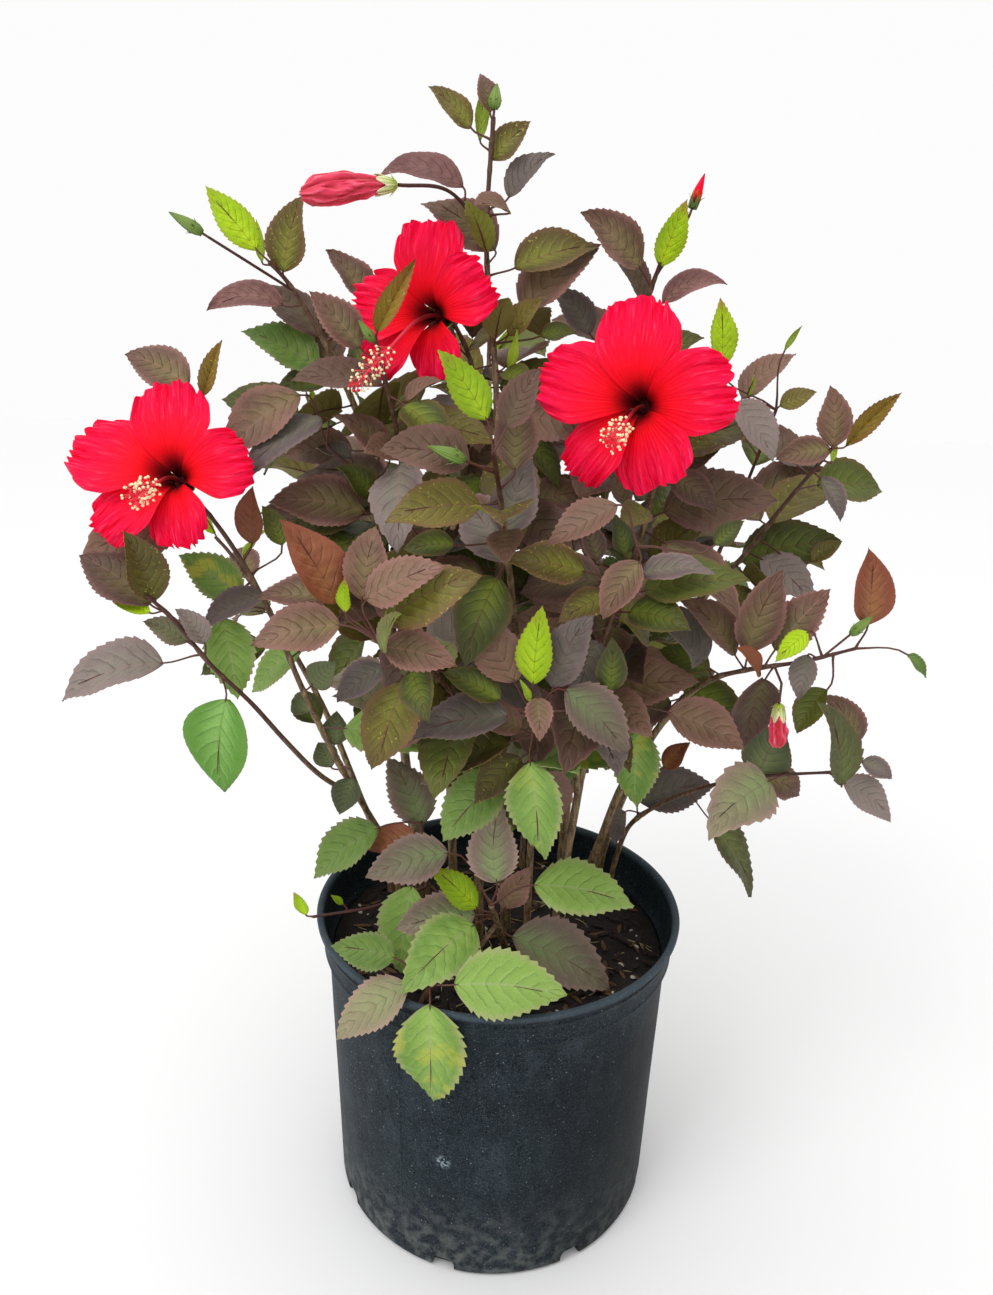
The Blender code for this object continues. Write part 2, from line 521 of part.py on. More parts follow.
def leaf_solid(leaf):
    """Blade and three-sided petiole as one closed mesh; the petiole's root is in the cane."""
    verts, faces = leaf_blade(leaf, BLADE)
    count = len(verts) // 2
    left, right, low_left, low_right = 0, count - 2, count, 2 * count - 2
    merged = [tuple(low_left if i == low_right else i for i in face) for face in faces]
    faces = [face for face in merged if len(set(face)) == 3 and not {left, right, low_left} >= set(face)]
    verts[low_left] = (verts[low_left] + verts[low_right]) / 2
    _, _, _, out = leaf.frame(0)
    ahead = (leaf.foot - leaf.root).normalized()
    across = out.cross(ahead).normalized()
    root = len(verts)
    for side, up in ((1, 0.45), (0, -0.55), (-1, 0.45)):
        corner = across * side * PETIOLE_WIDTH * 0.5 + ahead.cross(across) * up * PETIOLE_WIDTH
        verts.append(leaf.root + corner * ROOT_SHARE)
    ring = [left, low_left, right]
    for i in range(3):
        j = (i + 1) % 3
        faces.append((ring[i], ring[j], root + j))
        faces.append((ring[i], root + j, root + i))
    faces.append((root, root + 1, root + 2))
    used = sorted({i for face in faces for i in face})
    renumbered = {old: new for new, old in enumerate(used)}
    return [verts[i] for i in used], [tuple(renumbered[i] for i in face) for face in faces]


def leaf_petiole(leaf, radius):
    """Plain tube of a petiole, for trying where it passes."""
    start = leaf.root.lerp(leaf.foot, 0.15)
    return tube([start, leaf.foot], [radius, radius], 3)


def tube(points, radii, sides):
    """Closed round tube along points."""
    ahead = (points[1] - points[0]).normalized()
    side = ahead.orthogonal().normalized()
    verts, faces = [], []
    for i, point in enumerate(points):
        before, after = points[max(i - 1, 0)], points[min(i + 1, len(points) - 1)]
        ahead = (after - before).normalized()
        side = (side - ahead * side.dot(ahead)).normalized()
        up = ahead.cross(side)
        for k in range(sides):
            turn = 2 * math.pi * k / sides
            verts.append(point + (side * math.cos(turn) + up * math.sin(turn)) * radii[i])
    for i in range(len(points) - 1):
        for k in range(sides):
            a, b = i * sides + k, i * sides + (k + 1) % sides
            faces.append((a, b, b + sides, a + sides))
    last = (len(points) - 1) * sides
    faces.append(tuple(range(sides))[::-1])
    faces.append(tuple(range(last, last + sides)))
    return verts, faces


def turned(profile, sides, axis_start, axis_end):
    """Solid of revolution about Z from radius and height pairs, closed at both ends."""
    verts, faces = [Vector((0, 0, axis_start))], []
    for radius, height in profile:
        for k in range(sides):
            turn = 2 * math.pi * k / sides
            verts.append(Vector((radius * math.cos(turn), radius * math.sin(turn), height)))
    verts.append(Vector((0, 0, axis_end)))
    end = len(verts) - 1
    last = 1 + (len(profile) - 1) * sides
    for k in range(sides):
        j = (k + 1) % sides
        faces.append((0, 1 + j, 1 + k))
        faces.append((end, last + k, last + j))
        for ring in range(len(profile) - 1):
            a, b = 1 + ring * sides + k, 1 + ring * sides + j
            faces.append((a, b, b + sides, a + sides))
    return verts, faces


class Clearance:
    """What already stands, for trying whether a new shape is clear of it."""

    def __init__(self):
        self.items = []

    @staticmethod
    def box(verts):
        low = [min(v[i] for v in verts) for i in range(3)]
        high = [max(v[i] for v in verts) for i in range(3)]
        return low, high

    def add(self, node, part, verts, faces):
        low, high = self.box(verts)
        self.items.append((node, part, low, high, BVHTree.FromPolygons(verts, faces)))

    def is_clear(self, node, part, verts, faces):
        low, high = self.box(verts)
        tree = None
        for other, other_part, a, b, other_tree in self.items:
            if other == node and "blade" not in (part, other_part):
                continue
            if any(low[i] > b[i] or high[i] < a[i] for i in range(3)):
                continue
            tree = tree or BVHTree.FromPolygons(verts, faces)
            if tree.overlap(other_tree):
                return False
        return True


class Bloom:
    """An open bloom: base on the cane's end, axis out of its face, and its petals."""

    def __init__(self, name, base, axis, petal, column, bend, petals):
        self.name, self.base, self.axis = name, base, Vector(axis).normalized()
        self.petal, self.column, self.bend = petal, column, math.radians(bend)
        self.petals = petals
        level = Vector((0, 0, 1)).cross(self.axis).normalized()
        self.right = level
        self.up = self.axis.cross(level)

    def way(self, angle):
        """Radial direction seen from the front; 0 is to the viewer's right."""
        return self.right * math.cos(angle) + self.up * math.sin(angle)

    def spine(self, u, share):
        """Height over the base, radius and slope from the axis along a petal's middle."""
        height, radius, slope = PETAL_FOOT[0], PETAL_FOOT[1], 0.0
        reach = self.petal * share * PETAL_ARC
        steps = max(int(round(u * 24)), 1)
        for k in range(steps):
            s = (k + 0.5) * u / steps
            rise = min(max((s - 0.04) / 0.50, 0), 1)
            slope = math.radians(17 + 74 * rise * rise * (3 - 2 * rise))
            height += reach * u / steps * math.cos(slope)
            radius += reach * u / steps * math.sin(slope)
        return height, radius, slope

    def petal_at(self, index, u, v):
        """Point and outward way of a petal at u of its length and v of its half width."""
        turn, long_share, wide_share = self.petals[index]
        radial = self.way(math.radians(turn))
        side = self.axis.cross(radial)
        height, radius, slope = self.spine(u, long_share)
        out = self.axis * math.sin(slope) - radial * math.cos(slope)
        across = side * math.cos(PETAL_ROLL) + out * math.sin(PETAL_ROLL)
        out = out * math.cos(PETAL_ROLL) - side * math.sin(PETAL_ROLL)
        half = 0.5 * PETAL_WIDTH * self.petal * wide_share
        point = self.base + self.axis * height + radial * radius
        return point + across * v * half, out


def bloom_base(paths, cane, axis):
    """A bloom's base: where its cane's slanted end stops, measured along the bloom's axis."""
    path, radii = paths[cane]
    slant = (path[-1] - path[-2]).normalized().cross(axis).length
    return path[-1] + axis * radii[-1] * slant


def petal_blade(bloom, index, thick):
    """One petal as a closed blade, wide and scalloped at its end."""
    left = list(PETAL_RIM + PETAL_END)
    places = left + [(u, -v) for u, v in left[-2::-1]]
    places.append((PETAL_MIDDLE, 0.0))
    tops, bottoms = [], []
    for u, v in places:
        point, out = bloom.petal_at(index, u, v)
        tops.append(point + out * thick / 2)
        bottoms.append(point - out * thick / 2)
    return prism(tops, bottoms, len(places) - 1)


def column_path(bloom, steps):
    """Middle of the staminal column, bent downwards near its foot."""
    start = bloom.base + bloom.axis * (HUB_TO + GAP)
    down = Vector((0, 0, -1))
    down = (down - bloom.axis * down.dot(bloom.axis)).normalized()
    points, point = [start], start.copy()
    for k in range(steps):
        angle = bloom.bend * min((k + 0.5) / steps / COLUMN_CROOK, 1.0)
        point = point + (bloom.axis * math.cos(angle) + down * math.sin(angle)) * bloom.column / steps
        points.append(point.copy())
    return points


def on_axis(verts, base, axis):
    """Points modelled along +Z from the origin, set on a base and turned to an axis."""
    turn = Vector((0, 0, 1)).rotation_difference(axis).to_matrix()
    return [base + turn @ v for v in verts]


def bloom_list(paths):
    """The open blooms, each on its cane's end."""
    return [Bloom(name, bloom_base(paths, cane, Vector(axis).normalized()), axis, *rest)
            for name, cane, axis, *rest in BLOOMS]


def pot_profile():
    """Outer and inner outline of the pot, from its underside round the lip to its floor."""
    shoulder = POT_HEIGHT - BAND_HEIGHT
    return (
        (BASE_RADIUS - BASE_CHAMFER, 0.0), (BASE_RADIUS, BASE_CHAMFER),
        (BODY_TOP_RADIUS, shoulder - 0.001), (BAND_FOOT_RADIUS, shoulder),
        (RIM_RADIUS - 0.0032, POT_HEIGHT - RIM_LIP), (RIM_RADIUS, POT_HEIGHT - RIM_LIP + 0.0015),
        (RIM_RADIUS - 0.0005, POT_HEIGHT), (RIM_RADIUS - 0.0050, POT_HEIGHT),
        (BAND_FOOT_RADIUS - WALL, shoulder - 0.001), (BODY_TOP_RADIUS - WALL, shoulder - 0.004),
        (BASE_RADIUS - WALL, BASE_CHAMFER + WALL), (BASE_RADIUS - BASE_CHAMFER, WALL))


def pot_inner_radius(height):
    """Radius of the pot's inner wall between its floor and the shoulder."""
    low, high = BASE_CHAMFER + WALL, POT_HEIGHT - BAND_HEIGHT - 0.004
    share = (height - low) / (high - low)
    return BASE_RADIUS - WALL + share * (BODY_TOP_RADIUS - BASE_RADIUS)


def soil_height(radius):
    """Top of the potting mix: a low mound that sinks at the wall."""
    return SOIL_TOP + SOIL_MOUND * (0.5 - radius / RIM_RADIUS)


def soil_profile():
    """Outline of the potting mix, from the pot's floor up the wall and in over the top."""
    low = BASE_CHAMFER + WALL
    edge = SOIL_TOP - 0.003
    flat_share = math.cos(math.pi / POT_SIDES)
    fit = GAP / flat_share
    profile = [(BASE_RADIUS - BASE_CHAMFER - fit, WALL + GAP), (BASE_RADIUS - WALL - fit - GAP, low + GAP)]
    profile.append((pot_inner_radius(edge) - fit, edge))
    for radius in SOIL_RINGS:
        profile.append((radius, soil_height(radius)))
    return profile


def plan():
    """Canes, blooms and leaves, each placed clear of those before it."""
    paths = cane_paths()
    space = Clearance()
    space.add("pot", "pot", *turned(pot_profile(), POT_SIDES, 0, WALL))
    space.add("potting_mix", "soil", *turned(soil_profile(), SOIL_SIDES, WALL + GAP, soil_height(0)))
    for name, (path, radii) in paths.items():
        verts, faces = tube(path[1:] if path[0].z < SOIL_TOP else path, radii, STEM_SIDES)
        space.add(cane_node(name), "stem", verts, faces)
    blooms = bloom_list(paths)
    for bloom in blooms:
        for index in range(PETALS):
            verts, faces = petal_blade(bloom, index, TEST_BLADE)
            space.add(bloom.name, "petal", verts, faces)
        path = column_path(bloom, len(COLUMN_ROOM) - 1)
        space.add(bloom.name, "column", *tube(path, COLUMN_ROOM, COLUMN_SIDES))
    for name, cane, axis, length, radius in SPENT:
        axis = Vector(axis).normalized()
        base = spent_base(paths, name, cane, axis)
        ends = [base, base + axis * length * 1.25]
        space.add(name, "petal", *tube(ends, [radius + SPENT_ROOM] * 2, 6))
    leaves = {}
    draws = random.Random(LEAF_SEED)
    for cane in CANES:
        name, path = cane[0], paths[cane[0]][0]
        found = [sighted_leaf(space, cane_node(name), path, sighting, draws)
                 for sighting in SIGHTED.get(name, ())]
        rule = inner_leaves if name in SIGHTED else seeded_leaves
        found += [seeded_leaf(space, cane_node(name), path, place, draws)
                  for place in rule(cane[4], draws)]
        leaves[name] = [leaf for leaf in found if leaf]
    return paths, blooms, leaves


def inner_leaves(count, draws):
    """Leaves low on a cane at the front, hidden by those sighted before them."""
    azimuth = draws.uniform(0, 2 * math.pi)
    wanted = []
    for k in range(count):
        back = 1000 * (INNER_FIRST + INNER_SPACING * k)
        length = INNER_LENGTH + draws.uniform(-LENGTH_SPREAD, LENGTH_SPREAD)
        kind = "dark" if k % 2 == 0 else "green"
        wanted.append((back, math.degrees(azimuth), draws.uniform(*INNER_RISE), length, kind))
        azimuth += SEEDED_TURN
    return wanted


def seeded_leaves(count, draws):
    """Leaves of a cane at the back, turned from node to node as they grow."""
    azimuth = draws.uniform(0, 2 * math.pi)
    wanted = []
    for k in range(count):
        back = 1000 * (SEEDED_FIRST + SEEDED_SPACING * k)
        rise = YOUNG_RISE - RISE_STEP * k if k < YOUNG_LEAVES else draws.uniform(*OLD_RISE)
        length = min(YOUNG_LENGTH + LENGTH_STEP * k, INNER_LENGTH)
        length += draws.uniform(-LENGTH_SPREAD, LENGTH_SPREAD)
        kind = SEEDED_KINDS[min(k, len(SEEDED_KINDS) - 1)]
        wanted.append((back, math.degrees(azimuth), rise, length, kind))
        azimuth += SEEDED_TURN
    return wanted


def turns():
    """Small changes of a leaf's azimuth, rise and size, the smallest first."""
    yield 0, 0, 1.0
    for size in SEEDED_SIZES:
        for turn in SEEDED_TURNS:
            for a, b in ((1, 0), (-1, 0), (0, 1), (0, -1), (1, 1), (-1, -1), (1, -1), (-1, 1)):
                yield turn * a, turn * b, size


def eye_frame():
    """Directions of the eye: ahead, to its right and up in its picture."""
    ahead = Vector((math.sin(EYE_YAW) * math.cos(EYE_PITCH), math.cos(EYE_YAW) * math.cos(EYE_PITCH),
                    -math.sin(EYE_PITCH)))
    level = Vector((math.cos(EYE_YAW), -math.sin(EYE_YAW), 0))
    steep = level.cross(ahead)
    right = level * math.cos(EYE_ROLL) + steep * math.sin(EYE_ROLL)
    up = steep * math.cos(EYE_ROLL) - level * math.sin(EYE_ROLL)
    return ahead, right, up


def sighted(across, down, y):
    """Real place with the given y of a place sighted in the picture."""
    ahead, right, up = eye_frame()
    ray = ahead + right * ((across - PICTURE_MIDDLE[0]) / PICTURE_FOCAL)
    ray -= up * ((down - PICTURE_MIDDLE[1]) / PICTURE_FOCAL)
    return EYE + ray * ((y - EYE.y) / ray.y)


def between(foot, tip, kind):
    """Azimuth, rise at the foot and blade length of a leaf from its foot to its tip."""
    chord = tip - foot
    droop = math.radians(LEAF_KINDS[kind][1])
    azimuth = math.atan2(chord.y, chord.x)
    rise = math.asin(chord.z / chord.length) + droop / 2
    return azimuth, rise, chord.length * (droop / 2) / math.sin(droop / 2)


def petiole_length(kind, length):
    """Length of the petiole under a blade of the given length."""
    return max(LEAF_KINDS[kind][2] * length, PETIOLE_LEAST)


def nearest_on(path, point):
    """Point of a cane's middle line above the soil and short of its tip, nearest to a place."""
    best = None
    for a, b in zip(path, path[1:]):
        run = b - a
        if a.z < SOIL_TOP:
            continue
        share = min(max((point - a).dot(run) / run.length_squared, 0.0), 1.0 - TIP_MARGIN / run.length)
        place = a + run * share
        if best is None or (place - point).length < (best - point).length:
            best = place
    return best


def depth_of(path, sighting):
    """The y of a sighted leaf's foot, from the place on the cane that it fits best."""
    foot_across, foot_down, tip_across, tip_down, lean, kind = sighting
    best = None
    reach = sum((b - a).length for a, b in zip(path, path[1:])) * 0.97
    for k in range(1, int(reach / ROOT_STEP)):
        root = along(path, k * ROOT_STEP)
        depth = root.y
        for _ in range(2):
            foot = sighted(foot_across, foot_down, depth)
            tip = sighted(tip_across, tip_down, depth - lean / 1000)
            azimuth, rise, length = between(foot, tip, kind)
            petiole = heading(azimuth, rise) * petiole_length(kind, length)
            depth = root.y + petiole.y
        miss = (foot - petiole - root).length
        if best is None or miss < best[0]:
            best = (miss, depth)
    return best[1]


def sighted_leaf(space, node, path, sighting, draws):
    """A sighted leaf at the depth nearest its cane's where it is clear, or none."""
    foot_across, foot_down, tip_across, tip_down, lean, kind = sighting
    depth = depth_of(path, sighting)
    sway = heading(draws.uniform(0, 2 * math.pi), 0) * SWAY
    for size in SIZE_STEPS:
        for depth_step in DEPTH_STEPS:
            for lean_step in LEAN_STEPS:
                foot = sighted(foot_across, foot_down, depth + depth_step / 1000)
                tip = sighted(tip_across, tip_down, foot.y - (lean + lean_step) / 1000)
                azimuth, rise, length = between(foot, foot.lerp(tip, size), kind)
                way = heading(azimuth, rise)
                root = nearest_on(path, foot - way * petiole_length(kind, length))
                leaf = Leaf(root, foot, azimuth, rise, length, kind, (FRONT + sway).normalized())
                if (foot - root).normalized().dot(way) > STRAIGHT and placed(space, node, leaf):
                    return leaf
    return None


def placed(space, node, leaf):
    """Whether a leaf is clear of all that stands; if so it is added to it."""
    blade = leaf_blade(leaf, TEST_BLADE, TEST_GROWTH, 0.08)
    whole = leaf_blade(leaf, TEST_BLADE, TEST_GROWTH)
    petiole = leaf_petiole(leaf, TEST_PETIOLE)
    if not space.is_clear(node, "blade", *blade):
        return False
    if not (space.is_clear(node, "petiole", *whole) and space.is_clear(node, "petiole", *petiole)):
        return False
    space.add(node, "blade", *blade)
    space.add(node, "petiole", *petiole)
    return True


def seeded_leaf(space, node, path, place, draws):
    """A leaf of a cane at the back, turned as little as it takes to be clear, or none."""
    back, azimuth, rise, length, kind = place
    root = along(path, back / 1000)
    sway = heading(draws.uniform(0, 2 * math.pi), 0) * SWAY
    outward = Vector((root.x, root.y - 0.02, 0)).normalized()
    face = (outward * 0.70 + Vector((0, 0, 0.72)) + sway).normalized()
    for more_azimuth, more_rise, size in turns():
        way = math.radians(azimuth + more_azimuth), math.radians(rise + more_rise)
        blade = length * size / 1000
        foot = root + heading(*way) * petiole_length(kind, blade)
        leaf = Leaf(root, foot, *way, blade, kind, face)
        if placed(space, node, leaf):
            return leaf
    return None


def spent_stalk(paths):
    """Points of the stalk that leaves its cane sideways and then hangs straight down."""
    top = along(paths["cane_right_low"][0], SPENT_RIGHT_FROM_TIP)
    elbow = top + Vector((SPENT_STALK.x, SPENT_STALK.y, SPENT_STALK.z * SPENT_ELBOW))
    return [top, elbow, top + SPENT_STALK]


def spent_base(paths, name, cane, axis):
    """Where a spent bloom's calyx starts: on the spur's end, or under the cane on a stalk."""
    if name == "spent_right":
        return spent_stalk(paths)[-1]
    return bloom_base(paths, cane, axis)


def material(name, colour, roughness):
    """Plain material in the part's own colour."""
    made = bpy.data.materials.new(name)
    made.use_nodes = True
    shader = made.node_tree.nodes["Principled BSDF"]
    shader.inputs["Base Color"].default_value = (*colour, 1.0)
    shader.inputs["Roughness"].default_value = roughness
    return made


def add_object(name, verts, faces, look=None):
    """Mesh object from points and faces."""
    mesh = bpy.data.meshes.new(name)
    mesh.from_pydata([tuple(v) for v in verts], [], faces)
    made = bpy.data.objects.new(name, mesh)
    bpy.context.scene.collection.objects.link(made)
    if look:
        mesh.materials.append(look)
    return made


def hidden(cutter):
    """A shape that only cuts another is left out of the part."""
    cutter.hide_render = True
    cutter.display_type = "WIRE"
    return cutter


def cut(target, cutter, solver="EXACT"):
    """Take a closed shape out of another."""
    change = target.modifiers.new("cut", "BOOLEAN")
    change.operation = "DIFFERENCE"
    change.solver = solver
    change.object = hidden(cutter)


def fused(name, shapes, look):
    """One body from closed shapes that reach into each other."""
    body = add_object(name, *shapes[0], look)
    if len(shapes) == 1:
        return body
    repeats = bpy.data.collections.new(name + "_repeats")
    bpy.context.scene.collection.children.link(repeats)
    for verts, faces in shapes[1:]:
        piece = add_object(name + "_repeat", verts, faces)
        bpy.context.scene.collection.objects.unlink(piece)
        repeats.objects.link(piece)
    change = body.modifiers.new("fuse", "BOOLEAN")
    change.operation = "UNION"
    change.operand_type = "COLLECTION"
    change.collection = repeats
    change.solver = "MANIFOLD"
    bpy.context.view_layer.update()
    shape = bpy.data.meshes.new_from_object(body.evaluated_get(bpy.context.evaluated_depsgraph_get()))
    body.modifiers.clear()
    body.data = shape
    for piece in list(repeats.objects):
        bpy.data.objects.remove(piece)
    bpy.data.collections.remove(repeats)
    shape.materials.clear()
    shape.materials.append(look)
    return body


def build_pot():
    """Moulded pot with a flared band, a rolled lip and drain holes round its foot."""
    pot = add_object("pot", *turned(pot_profile(), POT_SIDES, 0, WALL),
                     material("pot_plastic", POT_COLOUR, 0.55))
    verts, faces = [], []
    for k in range(DRAIN_HOLES):
        turn = Matrix.Rotation(math.radians(DRAIN_FIRST_ANGLE + 360 / DRAIN_HOLES * k), 3, "Z")
        start = len(verts)
        for x in (-1, 1):
            for y in (-1, 1):
                for z in (-1, 1):
                    corner = Vector((BASE_RADIUS + x * DRAIN_SIZE[0] / 2, y * DRAIN_SIZE[1] / 2,
                                     z * DRAIN_SIZE[2]))
                    verts.append(turn @ corner)
        for face in ((0, 1, 3, 2), (4, 6, 7, 5), (0, 4, 5, 1), (2, 3, 7, 6), (0, 2, 6, 4), (1, 5, 7, 3)):
            faces.append(tuple(start + i for i in face))
    cut(pot, add_object("drain_cutter", verts, faces))
    return pot


def build_soil(paths):
    """Plug of potting mix with a plain hole round each cane's foot."""
    top = soil_height(SOIL_RINGS[-1]) + 0.0005
    soil = add_object("potting_mix", *turned(soil_profile(), SOIL_SIDES, WALL + GAP, top),
                      material("potting_mix", SOIL_COLOUR, 0.95))
    verts, faces = [], []
    for path, radii in paths.values():
        if path[0].z > SOIL_TOP:
            continue
        radius = (radii[0] + GAP) / math.cos(math.pi / HOLE_SIDES) + GAP
        foot = path[0] - Vector((0, 0, GAP))
        ring_verts, ring_faces = tube([foot, foot + Vector((0, 0, 2 * STEM_DEPTH))],
                                      [radius, radius], HOLE_SIDES)
        faces += [tuple(i + len(verts) for i in face) for face in ring_faces]
        verts += ring_verts
    cut(soil, add_object("hole_cutter", verts, faces))
    return soil


def bud(base, axis, length, radius):
    """Closed flower bud: a small pointed spindle."""
    middles = [base + axis * length * share for share, _ in BUD_OUTLINE]
    return tube(middles, [radius * width for _, width in BUD_OUTLINE], BUD_SIDES)


def build_canes(paths, leaves):
    """Each cane with its spurs, side shoots, buds and leaves fused into one body."""
    bark = material("cane_bark", BARK_COLOUR, 0.7)
    shapes = {}
    for name, (path, radii) in paths.items():
        group = shapes.setdefault(cane_node(name), [])
        group.append(tube(path, radii, STEM_SIDES))
        group += [leaf_solid(leaf) for leaf in leaves[name]]
    for cane, back, axis, length, radius in BUDS:
        start = along(paths[cane][0], back)
        axis = Vector(axis).normalized()
        stalk_end = start + axis * (BUD_STALK if back else BUD_STALK_SHORT)
        group = shapes[cane_node(cane)]
        group.append(tube([start, stalk_end + axis * 0.002], [BUD_STALK_RADIUS] * 2, 4))
        group.append(bud(stalk_end, axis, length, radius))
    shapes["cane_right_low"].append(tube(spent_stalk(paths), [SPENT_STALK_RADIUS] * 3, 4))
    for name, group in shapes.items():
        fused(name, group, bark)


def calyx_rings(scale):
    """Outer and inner rings of a five-lobed cup that stands on its axis."""
    sides = 2 * PETALS
    rings = [[(CALYX_FOOT_RADIUS, GAP)] * sides, CALYX_OUTSIDE * PETALS, CALYX_INSIDE * PETALS,
             [(CALYX_FLOOR_RADIUS, CALYX_FLOOR)] * sides]
    verts = []
    for ring in rings:
        for k, (radius, height) in enumerate(ring):
            turn = 2 * math.pi * k / sides
            verts.append(Vector((radius * math.cos(turn), radius * math.sin(turn), height)) * scale)
    faces = [tuple(range(sides))[::-1], tuple(range(len(verts) - sides, len(verts)))]
    for ring in range(len(rings) - 1):
        for k in range(sides):
            a, b = ring * sides + k, ring * sides + (k + 1) % sides
            faces.append((a, b, b + sides))
            faces.append((a, b + sides, a + sides))
    return verts, faces


def build_blooms(blooms):
    """Corolla, staminal column and calyx of each open bloom."""
    red = material("petal_red", PETAL_COLOUR, 0.5)
    crimson = material("column_red", COLUMN_COLOUR, 0.5)
    green = material("calyx_green", CALYX_COLOUR, 0.6)
    for bloom in blooms:
        hub = tube([bloom.base + bloom.axis * HUB_FROM, bloom.base + bloom.axis * HUB_TO],
                   [HUB_RADIUS * 0.55, HUB_RADIUS], HUB_SIDES)
        petals = [petal_blade(bloom, k, PETAL_BLADE) for k in range(PETALS)]
        fused(bloom.name + "_petals", [hub] + petals, red)
        path = column_path(bloom, len(COLUMN_TAPER) - 1)
        shapes = [tube(path, [COLUMN_RADIUS * share for share in COLUMN_TAPER], COLUMN_SIDES)]
        shapes += stamens(bloom, path) + stigmas(bloom, path)
        fused(bloom.name + "_column", shapes, crimson)
        verts, faces = calyx_rings(1.0)
        add_object(bloom.name + "_calyx", on_axis(verts, bloom.base, bloom.axis), faces, green)


def pin(start, way, length, thick):
    """Filament with its anther: a three-sided pin, stout at the end."""
    return tube([start, start + way * length], [thick * 0.5, thick], 3)


def stamens(bloom, path):
    """Pins that stand out all round the outer part of the column."""
    pins = []
    for k in range(STAMENS):
        share = STAMENS_FROM + STAMENS_SPAN * k / (STAMENS - 1)
        start = along(path, bloom.column * (1 - share))
        way = bloom.way(STAMEN_TURN * k) * STAMEN_SPREAD + bloom.axis * (1 - STAMEN_SPREAD ** 2) ** 0.5
        pins.append(pin(start, way.normalized(), STAMEN_REACH, STAMEN_WIDTH))
    return pins


def stigmas(bloom, path):
    """Five short branches with pads at the column's end."""
    ahead = (path[-1] - path[-2]).normalized()
    pins = []
    for k in range(STIGMAS):
        way = bloom.way(2 * math.pi * k / STIGMAS) * STIGMA_SPREAD + ahead * (1 - STIGMA_SPREAD ** 2) ** 0.5
        pins.append(pin(path[-1] - ahead * 0.001, way.normalized(), STIGMA_REACH, STIGMA_WIDTH))
    return pins


def build_spent(paths):
    """Rolled-up corollas of the spent blooms, each with its calyx."""
    red = material("spent_red", SPENT_COLOUR, 0.6)
    green = material("calyx_green_spent", SPENT_CALYX_COLOUR, 0.6)
    for name, cane, axis, length, radius in SPENT:
        axis = Vector(axis).normalized()
        base = spent_base(paths, name, cane, axis)
        cup = SPENT_CUP * radius + SPENT_CUP_LEAST
        cup_verts, cup_faces = calyx_rings(cup)
        add_object(name + "_calyx", on_axis(cup_verts, base, axis), cup_faces, green)
        start = base + axis * (CALYX_FLOOR * cup + GAP)
        points = [start + axis * length * share for share, _ in SPENT_OUTLINE]
        verts, faces = tube(points, [radius * width for _, width in SPENT_OUTLINE], SPENT_SIDES)
        for i, vert in enumerate(verts):
            ring = i // SPENT_SIDES
            if ring >= 2 and i % 2:
                verts[i] = points[ring] + (vert - points[ring]) * SPENT_FURROW
        add_object(name + "_petals", verts, faces, red)


def clear_scene():
    for old in list(bpy.data.objects):
        bpy.data.objects.remove(old)


def main():
    clear_scene()
    paths, blooms, leaves = plan()
    build_pot()
    build_soil(paths)
    build_canes(paths, leaves)
    build_blooms(blooms)
    build_spent(paths)


main()
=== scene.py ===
"""Looks of the red hot hibiscus in its nursery pot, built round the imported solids.

Metres, +Z up. The plan repeats the part's own: where its canes, leaves and blooms stand. Each of
them is then built finely at that place, with its material.
"""
import math
import random

import bpy
import numpy as np
from mathutils import Matrix, Vector, noise
from mathutils.bvhtree import BVHTree


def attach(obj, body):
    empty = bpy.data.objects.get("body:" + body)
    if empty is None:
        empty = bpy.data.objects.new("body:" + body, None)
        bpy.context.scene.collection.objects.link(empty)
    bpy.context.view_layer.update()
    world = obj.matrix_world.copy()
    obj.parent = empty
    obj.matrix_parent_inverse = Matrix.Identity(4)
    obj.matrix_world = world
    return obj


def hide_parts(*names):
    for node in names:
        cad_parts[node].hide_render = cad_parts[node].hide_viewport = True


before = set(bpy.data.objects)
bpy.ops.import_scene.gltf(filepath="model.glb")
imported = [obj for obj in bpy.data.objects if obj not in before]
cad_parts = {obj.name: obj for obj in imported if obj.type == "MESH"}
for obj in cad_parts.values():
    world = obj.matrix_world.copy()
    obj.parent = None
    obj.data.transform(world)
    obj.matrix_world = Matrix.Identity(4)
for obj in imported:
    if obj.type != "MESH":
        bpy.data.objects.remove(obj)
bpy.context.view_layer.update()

# Pot
POT_HEIGHT = 0.241
RIM_RADIUS = 0.140
RIM_LIP = 0.0045
BAND_HEIGHT = 0.029
BAND_FOOT_RADIUS = 0.1345
BODY_TOP_RADIUS = 0.1312
BASE_RADIUS = 0.1256
BASE_CHAMFER = 0.005
WALL = 0.0024
INSIDE_SHORT = 0.004
POT_SIDES = 30
SOIL_SIDES = 15
DRAIN_HOLES = 8
DRAIN_SIZE = (0.016, 0.018, 0.012)
DRAIN_SIDES = 16
DRAIN_FIRST_ANGLE = 29.5
GAP = 0.0003

# Potting mix
SOIL_TOP = 0.209
SOIL_MOUND = 0.004
SOIL_EDGE = 0.003
SOIL_RINGS = (0.118, 0.085, 0.045)
STEM_DEPTH = 0.026

